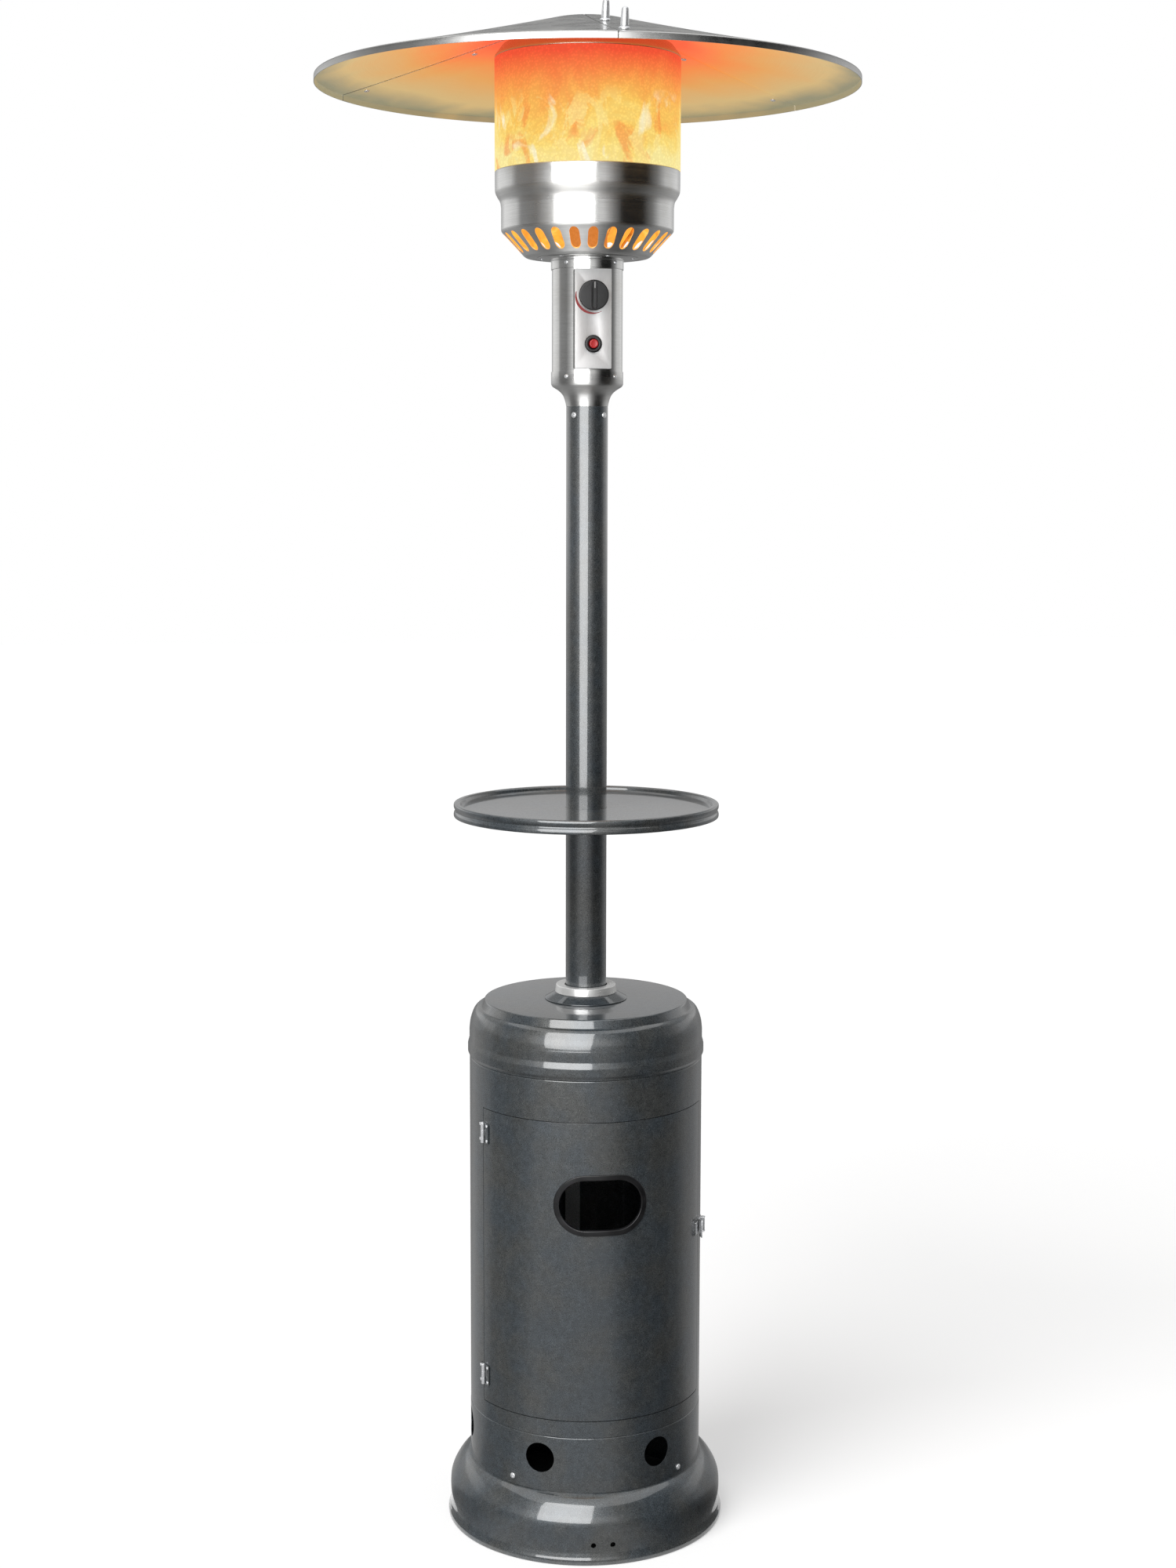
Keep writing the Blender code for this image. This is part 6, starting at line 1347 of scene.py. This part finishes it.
def make_table():
    rim = TABLE_RADIUS - TABLE_RIM_WIDTH
    tray = TABLE_TOP - TABLE_RECESS
    bore = POST_RADIUS + TOUCH
    outline = [
        (TABLE_RADIUS - TABLE_LIP, TABLE_BOTTOM), (TABLE_RADIUS, TABLE_BOTTOM),
        (TABLE_RADIUS, TABLE_BOTTOM + TABLE_BEAD - TABLE_ROLL),
        (TABLE_RADIUS - TABLE_GROOVE, (TABLE_BOTTOM + TABLE_TOP) / 2),
        (TABLE_RADIUS, TABLE_TOP - TABLE_BEAD + TABLE_ROLL), (TABLE_RADIUS, TABLE_TOP), (rim, TABLE_TOP),
        (rim - TABLE_ROLL, tray), (bore, tray),
    ]
    turned("table", skin(soften(outline, TABLE_BEAD_ROLL, TABLE_ROLL_STEPS), TABLE_SHEET), DRUM_STEPS, paint)

    top = tray - TABLE_SHEET - TOUCH
    bottom = top - HUB_HEIGHT
    ledge = top - HUB_FLANGE_SHEET
    flange = HUB_RADIUS + HUB_FLANGE
    turned("table_hub", soften([
        (bore, bottom), (HUB_RADIUS, bottom), (HUB_RADIUS, ledge), (flange, ledge), (flange, top),
        (bore, top),
    ], FINE_ROLL), TUBE_STEPS, paint)
    seats = ring_of(SET_SCREW_AZIMUTHS, HUB_RADIUS, (bottom + ledge) / 2)
    screw_row("table_set_screw", "table_hub", seats, SET_SCREW_RADIUS, SET_SCREW_HEAD)


# Control case

def make_adapter():
    foot = POST_TOP + TOUCH
    rise = curve([
        (POST_RADIUS + (SLEEVE_RADIUS - POST_RADIUS) * width, foot + (SLEEVE_BOTTOM - foot) * height)
        for width, height in TAPER_SHARES
    ])
    spigot = POST_RADIUS - POST_SHEET - TOUCH
    outline = [(spigot, POST_TOP - SPIGOT_LENGTH), (spigot, foot), *rise, (SLEEVE_RADIUS, CASE_BOTTOM)]
    turned("post_adapter", skin(thin(outline), SLEEVE_SHEET), TUBE_STEPS, polished)
    seats = ring_of(CORNER_AZIMUTHS, POST_RADIUS + TOUCH, POST_SCREW_HEIGHT)
    screw_row("post_screw", "post_adapter", seats, PAN_HEAD_RADIUS, PAN_HEAD)


def case_shell(node, first):
    bottom = CASE_BOTTOM - SLEEVE_LAP
    top = CASE_TOP + SLEEVE_LAP
    seam = degrees(CASE_SEAM / CASE_RADIUS)
    outline = band(CASE_RADIUS - CASE_SHEET, CASE_RADIUS, bottom, top)
    return stand_in(node, turn_part(bmesh.new(), outline, TUBE_STEPS, first + seam, first + 180.0 - seam))


def bezel_box(margin, front, back):
    outline = rounded_rectangle(BEZEL_WIDTH / 2 - margin, BEZEL_HEIGHT / 2 - margin, BEZEL_CORNER)
    return slab(bmesh.new(), outline, back, front, facing(0.0, 0.0, CASE_MIDDLE))


def drill_front(piece):
    """Cuts the stem's hole and the igniter's hole."""
    for height, radius in ((KNOB_HEIGHT, STEM_HOLE_RADIUS), (IGNITER_HEIGHT, IGNITER_BARREL_RADIUS + TOUCH)):
        place = facing(0.0, 0.0, height)
        back = BEZEL_FRONT - OVERRUN
        combine(piece, rod(bmesh.new(), radius, back, PLATE_FRONT + OVERRUN, SMALL_STEPS * 2, place))


def make_case():
    wall = sqrt(CASE_RADIUS**2 - (BEZEL_WIDTH / 2)**2) - CASE_SHEET / 2
    front = case_shell("control_front_shell", -90.0)
    combine(front, bezel_box(0.0, BEZEL_FRONT, wall), "UNION")
    combine(front, bezel_box(BEZEL_SHEET, BEZEL_FRONT - BEZEL_SHEET, 0.0))
    drill_front(front)
    dress(front, polished)
    dress(case_shell("control_rear_shell", 90.0), polished)
    plate = stand_in("control_plate", bezel_box(0.0, PLATE_FRONT, BEZEL_FRONT + TOUCH))
    drill_front(plate)
    bevel(plate, EDGE_BREAK)
    dress(plate, plate_finish)
    for owner, height in zip(("post_adapter", "head_neck"), CASE_SCREW_HEIGHTS):
        seats = ring_of(CASE_SCREW_AZIMUTHS, SLEEVE_RADIUS, height)
        screw_row(f"{owner}_screw", owner, seats, CASE_SCREW_RADIUS, CASE_SCREW_HEAD)


def make_heat_arc():
    """The red mark under the knob, which widens from low heat to high."""
    first, last = HEAT_ARC_SWEEP
    outer = []
    inner = []
    for step in range(HEAT_ARC_STEPS + 1):
        share = step / HEAT_ARC_STEPS
        angle = radians(180.0 + first + (last - first) * share)
        swell = sin(pi * min(1.0, share * HEAT_ARC_HASTE))
        swell = HEAT_ARC_START + (1.0 - HEAT_ARC_START) * swell
        width = HEAT_ARC_WIDTH * swell * (1.0 - share * HEAT_ARC_FADE)
        for points, radius in ((outer, HEAT_ARC_RADIUS + width / 2), (inner, HEAT_ARC_RADIUS - width / 2)):
            points.append((radius * cos(angle), radius * sin(angle)))
    shape = slab(bmesh.new(), outer + inner[::-1], 0.0, PRINT_LIFT, facing(0.0, PLATE_FRONT, KNOB_HEIGHT))
    dress(make_object("heat_arc", shape), red_print, owner="control_plate")


def make_knob():
    place = facing(0.0, KNOB_BACK, KNOB_HEIGHT)
    disc = soften([
        (0.0, 0.0), (KNOB_RADIUS, 0.0), (KNOB_RADIUS, KNOB_DISC - KNOB_EDGE),
        (KNOB_RADIUS - KNOB_EDGE, KNOB_DISC), (0.0, KNOB_DISC),
    ], FINE_ROLL)
    knob = stand_in("control_knob", turn(bmesh.new(), disc, TUBE_STEPS, place))
    reach = KNOB_RADIUS - KNOB_GRIP_MARGIN
    top = KNOB_DISC + KNOB_GRIP
    rings = []
    for width_share, reach_share, drop in KNOB_GRIP_LEVELS:
        half_width = KNOB_GRIP_WIDTH / 2 * width_share
        corner = half_width * KNOB_GRIP_ROUND
        outline = rounded_rectangle(half_width, reach * reach_share, corner, KNOB_GRIP_STEPS)
        rings.append([tuple(place @ Vector((x, y, top - drop))) for x, y in outline])
    combine(knob, loft(bmesh.new(), rings), "UNION")
    ribs = bmesh.new()
    for index in range(KNOB_RIBS):
        side = Matrix.Rotation(2 * pi * index / KNOB_RIBS, 4, "Z")
        side = place @ side @ Matrix.Translation((KNOB_RADIUS + KNOB_RIB_OUT, 0.0, 0.0))
        rod(ribs, KNOB_RIB_RADIUS, -KNOB_EDGE, KNOB_DISC - KNOB_RIB_STOP, KNOB_RIB_STEPS, side)
    combine(knob, ribs)
    dress(knob, black_plastic)
    line = rounded_rectangle(POINTER_WIDTH / 2, reach * POINTER_LENGTH_SHARE, POINTER_CORNER)
    line = [(x, y + reach * POINTER_MIDDLE_SHARE) for x, y in line]
    mark = slab(bmesh.new(), line, top - POINTER_SINK, top + PRINT_LIFT, place)
    dress(make_object("knob_pointer", mark), white_print, owner="control_knob")

    place = facing(0.0, 0.0, KNOB_HEIGHT)
    stem = rod(bmesh.new(), STEM_RADIUS, STEM_BACK, STEM_FRONT, SMALL_STEPS, place, EDGE_BREAK)
    dress(stand_in("valve_stem", stem), zinc)


def make_igniter():
    place = facing(0.0, 0.0, IGNITER_HEIGHT)
    back = IGNITER_FRONT - IGNITER_LENGTH
    bore = BUTTON_RADIUS + BUTTON_GAP
    bore_back = IGNITER_FRONT - IGNITER_BORE
    plate = PLATE_FRONT + TOUCH
    edge = IGNITER_FLANGE / 2
    turned("igniter_body", soften([
        (0.0, back), (IGNITER_BARREL_RADIUS, back), (IGNITER_BARREL_RADIUS, plate),
        (IGNITER_FLANGE_RADIUS, plate),
        (IGNITER_FLANGE_RADIUS, IGNITER_FRONT - edge), (IGNITER_FLANGE_RADIUS - edge, IGNITER_FRONT),
        (bore + IGNITER_LEAD, IGNITER_FRONT), (bore, IGNITER_FRONT - IGNITER_LEAD / 2), (bore, bore_back),
        (0.0, bore_back),
    ], FINE_ROLL), TUBE_STEPS, black_plastic, place)
    front = IGNITER_FRONT + BUTTON_PROUD
    outline = [(0.0, front - BUTTON_LENGTH), (BUTTON_RADIUS, front - BUTTON_LENGTH)]
    outline += [(BUTTON_RADIUS * share, front - drop) for share, drop in BUTTON_FACE]
    turned("igniter_button", soften(outline, FINE_ROLL), SMALL_STEPS, red_plastic, place)


# Burner head

def make_neck():
    bead = SLEEVE_RADIUS + NECK_BEAD
    top = NECK_TOP + NECK_SHEET
    bead_bottom = CASE_TOP + (NECK_TOP - CASE_TOP) * NECK_BEAD_SHARE
    inner = CASE_RADIUS + TOUCH
    outline = soften([
        (inner, CASE_TOP), (SLEEVE_RADIUS, CASE_TOP), (SLEEVE_RADIUS, bead_bottom),
        (bead, bead_bottom + NECK_BEAD),
        (bead, NECK_TOP), (NECK_FLANGE_RADIUS, NECK_TOP), (NECK_FLANGE_RADIUS, top), (MOUTH_RADIUS, top),
        (MOUTH_RADIUS, NECK_TOP), (inner, NECK_TOP), (inner, CASE_TOP + TOUCH / 10),
    ], NECK_BEAD)
    turned("head_neck", outline[:-1], TUBE_STEPS, polished)
    down = Matrix.Rotation(pi / 2, 4, "X")
    seats = [seat @ down for seat in ring_of(NECK_SCREW_AZIMUTHS, NECK_SCREW_RING, NECK_TOP)]
    screw_row("neck_screw", "head_neck", seats, CASE_SCREW_RADIUS, NECK_SCREW_HEAD)


def make_bowl():
    corner = soften([
        (MOUTH_RADIUS, BOWL_BOTTOM), (BOWL_FLOOR_RADIUS, BOWL_BOTTOM),
        (BAND_RADIUS - BOWL_CONE_ROLL, BOWL_CONE_TOP - BOWL_CONE_ROLL), (BAND_RADIUS, BOWL_CONE_TOP),
        (BAND_RADIUS, BOWL_BAND_TOP - BOWL_BAND_EASE),
    ], BOWL_CONE_ROLL)
    step_width = BOWL_RADIUS - BAND_RADIUS
    step_height = BOWL_STEP_TOP - BOWL_BAND_TOP
    step = curve([
        (BAND_RADIUS + step_width * width, BOWL_BAND_TOP + step_height * height)
        for width, height in BOWL_STEP_SHARES
    ])
    rim = soften([step[-1], (BOWL_RADIUS, BOWL_TOP), (BOWL_RADIUS - BOWL_LIP, BOWL_TOP)], BOWL_LIP_ROLL)
    outline = thin(corner + step + rim)
    section = skin(outline, BOWL_SHEET)
    rings = []
    for index in range(HEAD_STEPS):
        angle = 2 * pi * index / HEAD_STEPS
        rings.append([(r * sin(angle), -r * cos(angle), z) for r, z in section])
    bowl = stand_in("head_bowl", loft(bmesh.new(), rings, inner=len(outline), closed=True))
    for material in (bowl_steel, hot_inside):
        bowl.data.materials.append(material)
    slots = bmesh.new()
    half_length = (SLOT_OUTER - SLOT_INNER) / 2
    middle = (SLOT_OUTER + SLOT_INNER) / 2
    slot = obround(half_length, SLOT_WIDTH / 2, SLOT_STEPS)
    for index in range(SLOT_COUNT):
        azimuth = SLOT_AZIMUTH + 360.0 * index / SLOT_COUNT
        place = standing(azimuth, middle) @ Matrix.Rotation(radians(azimuth) - pi / 2, 4, "Z")
        slab(slots, slot, BOWL_BOTTOM + BOWL_SHEET, BOWL_CONE_TOP + OVERRUN, place)
    # The slots' cut faces take the painted glow inside the head too.
    for face in slots.faces:
        face.material_index = 1
    combine(bowl, slots)
    dress(bowl)


def make_burner():
    foot = BOWL_BOTTOM + BOWL_SHEET + TOUCH
    body_top = foot + BURNER_BODY_HEIGHT
    head_bottom = body_top + BURNER_HEAD_FLARE
    head_top = head_bottom + BURNER_HEAD_HEIGHT
    dome = head_top + BURNER_HEAD_DOME
    # The burner's iron carries a painted orange glow for the flames' light.
    turned("burner", soften([
        (0.0, foot + BURNER_FOOT_DISH), (BURNER_FOOT_RADIUS, foot), (BURNER_FOOT_RADIUS, foot + BURNER_FOOT),
        (BURNER_BODY_RADIUS, foot + BURNER_FOOT), (BURNER_BODY_RADIUS, body_top),
        (BURNER_HEAD_RADIUS, head_bottom), (BURNER_HEAD_RADIUS, head_top), (BURNER_HEAD_RADIUS / 2, dome),
        (0.0, dome),
    ], BURNER_FOOT), TUBE_STEPS, iron)
    outer = BOWL_RADIUS - BOWL_SHEET - TOUCH
    outline = band(BURNER_HEAD_RADIUS + BURNER_GAP, outer, BURNER_PLATE_TOP - BOWL_SHEET, BURNER_PLATE_TOP)
    # The burner plate takes the painted glow inside the head.
    turned("burner_plate", outline, HEAD_STEPS, hot_plate)


def make_emitter():
    inner = BOWL_RADIUS - EMITTER_SHEET
    wall = band(inner, BOWL_RADIUS, EMITTER_BOTTOM, EMITTER_TOP)
    turned("emitter_screen", wall, HEAD_STEPS, screen_finish)
    bottom = EMITTER_TOP + TOUCH
    taper = BOWL_RADIUS - EMITTER_CAP_TAPER
    skirt = inner - TOUCH
    outline = soften([
        (skirt, EMITTER_TOP - EMITTER_CAP_SKIRT), (skirt, bottom), (BOWL_RADIUS, bottom),
        (BOWL_RADIUS, bottom + EMITTER_CAP_RIM), (taper, EMITTER_CAP_TOP), (0.0, EMITTER_CAP_TOP),
    ], EMITTER_CAP_ROLL)
    turned("emitter_cap", skin(outline, EMITTER_SHEET), HEAD_STEPS, cap_steel)


# Hood

def hood_point(share):
    radius = HOOD_RADIUS + (HOOD_FLAT_RADIUS - HOOD_RADIUS) * share
    return radius, HOOD_TOP - HOOD_RISE * (1 - share) - HOOD_BOW * 4 * share * (1 - share)


def hood_outline():
    steps = HOOD_PROFILE_STEPS
    lip_top = HOOD_TOP - HOOD_RISE
    lip = [(HOOD_RADIUS, lip_top - HOOD_LIP), (HOOD_RADIUS, lip_top), hood_point(1 / steps)]
    lip = soften(lip, HOOD_LIP_ROLL)
    rise = [hood_point(step / steps) for step in range(1, steps)]
    top = soften([rise[-1], (HOOD_FLAT_RADIUS, HOOD_TOP), (HOOD_EYE_RADIUS, HOOD_TOP)], HOOD_CROWN_ROLL)
    return thin(lip[:-1] + rise + top[1:])


def hood_ring(section, azimuth, width, share=0.0, span=0.0, next_width=0.0):
    """The section at a distance along the rim from an azimuth, or at a share of the way to the next one."""
    ring = []
    for radius, height in section:
        first = radians(azimuth) + width / radius
        last = radians(azimuth + span) + next_width / radius
        angle = first + (last - first) * share
        ring.append((radius * sin(angle), -radius * cos(angle), height))
    return ring


def leave_covered_plain(panel, seam, half):
    """The underside gets no painted glow where the next panel's lap or the plate covers it."""
    ahead = Vector((sin(seam), -cos(seam)))
    across = Vector((cos(seam), sin(seam)))
    for face in panel.data.polygons:
        middle = face.center.xy
        lapped = middle.dot(ahead) > 0 and abs(middle.dot(across)) < half
        if lapped or middle.length < HOOD_PLATE_RADIUS:
            face.material_index = 0


def make_panels():
    half = HOOD_OVERLAP / 2
    outline = hood_outline()
    upper = skin(outline, HOOD_SHEET)
    lower = skin(inset(outline, HOOD_STEP), HOOD_SHEET)
    turn_to_next = 360.0 / len(HOOD_SEAMS)
    for index, seam in enumerate(HOOD_SEAMS):
        rings = [hood_ring(upper, seam, 2 * TOUCH - half), hood_ring(upper, seam, 0.0)]
        for step in range(HOOD_PANEL_STEPS + 1):
            share = step / HOOD_PANEL_STEPS
            rings.append(hood_ring(upper, seam, half, share, turn_to_next, -half - HOOD_JOGGLE))
        rings += [hood_ring(lower, seam + turn_to_next, width) for width in (-half, 0.0, half)]
        panel = stand_in(f"hood_panel_{index + 1}", loft(bmesh.new(), rings, inner=len(outline)))
        leave_covered_plain(panel, radians(seam), half)
        dress(panel, hood_steel, hood_below)


def hood_frame(azimuth, radius):
    """A frame on the hood with Z square to its slope."""
    share = (HOOD_RADIUS - radius) / (HOOD_RADIUS - HOOD_FLAT_RADIUS)
    here = Vector(hood_point(share))
    run = Vector(hood_point(share + SLOPE_STEP)) - Vector(hood_point(share - SLOPE_STEP))
    return facing(azimuth, radius, here.y) @ Matrix.Rotation(atan2(run.y, -run.x) - pi / 2, 4, "X")


def make_studs():
    places = [hood_frame(seam, ring) for seam in HOOD_SEAMS for ring in HOOD_BOLT_RINGS]
    base = CAP_NUT_FOOT - CAP_NUT_SINK
    nut = [(0.0, base), (CAP_NUT_RADIUS, base), (CAP_NUT_RADIUS * CAP_NUT_TAPER, CAP_NUT_HEIGHT / 2)]
    nut += [(CAP_NUT_RADIUS * share, CAP_NUT_HEIGHT - drop) for share, drop in CAP_NUT_CROWN]
    flange = soften([
        (0.0, TOUCH), (CAP_NUT_FOOT_RADIUS, TOUCH), (CAP_NUT_FOOT_RADIUS, CAP_NUT_FOOT * CAP_NUT_FOOT_EDGE),
        (CAP_NUT_RADIUS, CAP_NUT_FOOT), (0.0, CAP_NUT_FOOT),
    ], CAP_NUT_SINK)
    under = HOOD_STEP + HOOD_SHEET + TOUCH
    for index, place in enumerate(places):
        shape = turn(bmesh.new(), soften(nut, CAP_NUT_ROLL), SMALL_STEPS, place)
        turn(shape, flange, SMALL_STEPS, place)
        rod(shape, SHANK_RADIUS, -under, 0.0, WIRE_STEPS, place)
        below = place @ Matrix.Translation((0.0, 0.0, -under)) @ Matrix.Rotation(pi, 4, "X")
        screw_head(shape, below, HOOD_BOLT_HEAD_RADIUS, HOOD_BOLT_HEAD)
        dress(stand_in(f"hood_stud_{index + 1}", shape), zinc)


def make_hood_plate():
    outline = soften(band(0.0, HOOD_PLATE_RADIUS, HOOD_PLATE_BOTTOM, HOOD_PLATE_TOP), HOOD_PLATE_EDGE)
    shape = turn(bmesh.new(), outline, TUBE_STEPS)
    spacer_top = HOOD_PLATE_BOTTOM + SPACER_SINK
    for azimuth in SPACER_AZIMUTHS:
        place = standing(azimuth, SPACER_RING)
        rod(shape, SPACER_RADIUS, SPACER_BOTTOM, spacer_top, SMALL_STEPS, place, SPACER_EDGE)
        seat = upright(facing(azimuth, SPACER_RING, HOOD_TOP + TOUCH))
        screw_head(shape, seat, HOOD_SCREW_RADIUS, HOOD_SCREW_HEAD)
    dress(stand_in("hood_plate", shape), zinc)


make_base()
make_ring()
make_wall()
make_cap()
make_door()
make_hinges()
make_latch()
make_base_screws()
make_post()
make_table()
make_adapter()
make_case()
make_heat_arc()
make_knob()
make_igniter()
make_neck()
make_bowl()
make_burner()
make_emitter()
make_panels()
make_studs()
make_hood_plate()

# Pieces of the frame that stay as they are
kept = {
    "gas_line": zinc, "gas_inlet": brass, "gas_valve": brass, "valve_plunger": brass,
    "tilt_switch": black_plastic, "burner_tube": brass, "pilot_tube": brass, "thermocouple": brass,
    "spark_electrode": glaze, "support_frame": zinc,
}
for node, material in kept.items():
    mesh = frame["nodes"][node].data
    mesh.materials.clear()
    mesh.materials.append(material)


# Stage, light and camera

def link(name, data):
    piece = bpy.data.objects.new(name, data)
    bpy.context.collection.objects.link(piece)
    return piece


def aim(piece, place, target):
    piece.location = place
    piece.rotation_euler = (Vector(target) - place).to_track_quat("-Z", "Y").to_euler()


def background_share(tree):
    """1 for what the camera, a gloss or a see-through ray meets."""
    path = tree.nodes.new("ShaderNodeLightPath")
    share = path.outputs["Is Camera Ray"]
    for ray in ("Is Glossy Ray", "Is Transmission Ray"):
        either = tree.nodes.new("ShaderNodeMath")
        either.operation = "MAXIMUM"
        tree.links.new(share, either.inputs[0])
        tree.links.new(path.outputs[ray], either.inputs[1])
        share = either.outputs[0]
    return share


def make_world():
    world = bpy.data.worlds.new("studio")
    bpy.context.scene.world = world
    world.use_nodes = True
    tree = world.node_tree
    shade = tree.nodes["Background"]
    shade.inputs["Color"].default_value = (1.0, 1.0, 1.0, 1.0)
    strength = tree.nodes.new("ShaderNodeMapRange")
    strength.inputs["To Min"].default_value = WORLD_LIGHT
    strength.inputs["To Max"].default_value = 1.0
    tree.links.new(background_share(tree), strength.inputs["Value"])
    tree.links.new(strength.outputs[0], shade.inputs["Strength"])


def make_floor():
    shape = bmesh.new()
    bmesh.ops.create_grid(shape, x_segments=8, y_segments=8, size=FLOOR_SIZE / 2)
    floor = make_object("studio_floor", shape)
    grey = (FLOOR_SHADE, FLOOR_SHADE, FLOOR_SHADE)
    finish = Finish("floor_white", grey, 0.0, 1.0, Specular_IOR_Level=0.0, Emission_Color=(1.0, 1.0, 1.0))
    finish.set(finish.shader, "Emission Strength", finish.times(background_share(finish.tree), FLOOR_GLOW))
    floor.data.materials.append(finish.material)


def make_surround():
    """The studio's walls, which only gloss sees: pale in front, near black on the right, grey elsewhere."""
    outer = SURROUND_RADIUS + TOUCH
    outline = [
        (SURROUND_EYE, TOUCH), (SURROUND_RADIUS, TOUCH), (SURROUND_RADIUS, SURROUND_HEIGHT),
        (outer, SURROUND_HEIGHT), (outer, TOUCH / 2), (SURROUND_EYE, TOUCH / 2),
    ]
    piece = make_object("studio_surround", turn(bmesh.new(), outline, SURROUND_STEPS))
    finish = Finish("studio_grey", (0.0, 0.0, 0.0), 0.0, 1.0, Specular_IOR_Level=0.0, Emission_Strength=1.0)
    azimuth = finish.plus(finish.azimuth(), radians(CAMERA_TURN))
    share = finish.math("FRACT", finish.plus(finish.math("DIVIDE", azimuth, 2 * pi), 0.5))
    shade = finish.ramp(share, *(((angle + 180.0) / 360.0, shade) for angle, shade in SURROUND_SHADES))
    level = finish.ramp(finish.math("DIVIDE", finish.parts()[2], SURROUND_HEIGHT), *SURROUND_HEIGHT_SHARES)
    finish.set(finish.shader, "Emission Color", finish.mix(1.0, shade, level, "MULTIPLY"))
    piece.data.materials.append(finish.material)
    piece.visible_camera = False
    piece.visible_diffuse = False
    piece.visible_shadow = False
    piece.visible_transmission = False


def make_sun():
    light = bpy.data.lights.new("soft_sun", "SUN")
    light.energy = SUN_LIGHT
    light.angle = radians(SUN_SOFTNESS)
    piece = link("soft_sun", light)
    aim(piece, facing(-CAMERA_TURN - SUN_LEFT, 1.0, SUN_RISE).translation, (0.0, 0.0, 0.0))
    piece.visible_glossy = False


def make_softbox():
    """A lamp that only gloss sees."""
    light = bpy.data.lights.new("key_softbox", "AREA")
    light.shape = "RECTANGLE"
    light.size = SOFTBOX_WIDTH
    light.size_y = SOFTBOX_HEIGHT
    light.energy = SOFTBOX_POWER
    piece = link("key_softbox", light)
    place = facing(-CAMERA_TURN - SOFTBOX_LEFT, SOFTBOX_DISTANCE, SOFTBOX_MIDDLE).translation
    aim(piece, place, (0.0, 0.0, SOFTBOX_AIM))
    piece.visible_camera = False
    piece.visible_diffuse = False


def make_camera():
    camera = bpy.data.cameras.new("camera")
    camera.sensor_fit = "AUTO"
    camera.sensor_width = SENSOR_WIDTH
    camera.lens = CAMERA_LENS
    camera.shift_x = CAMERA_SHIFT
    camera.clip_end = CLIP_END
    piece = link("camera", camera)
    turn_matrix = Matrix.Rotation(radians(-CAMERA_TURN), 4, "Z")
    pitch_matrix = Matrix.Rotation(radians(90.0 - CAMERA_PITCH), 4, "X")
    roll_matrix = Matrix.Rotation(radians(CAMERA_ROLL), 4, "Z")
    piece.matrix_world = Matrix.Translation(CAMERA_PLACE) @ turn_matrix @ pitch_matrix @ roll_matrix
    bpy.context.scene.camera = piece


make_world()
make_floor()
make_camera()
make_surround()
make_sun()
make_softbox()
bpy.context.scene.view_settings.view_transform = "Standard"
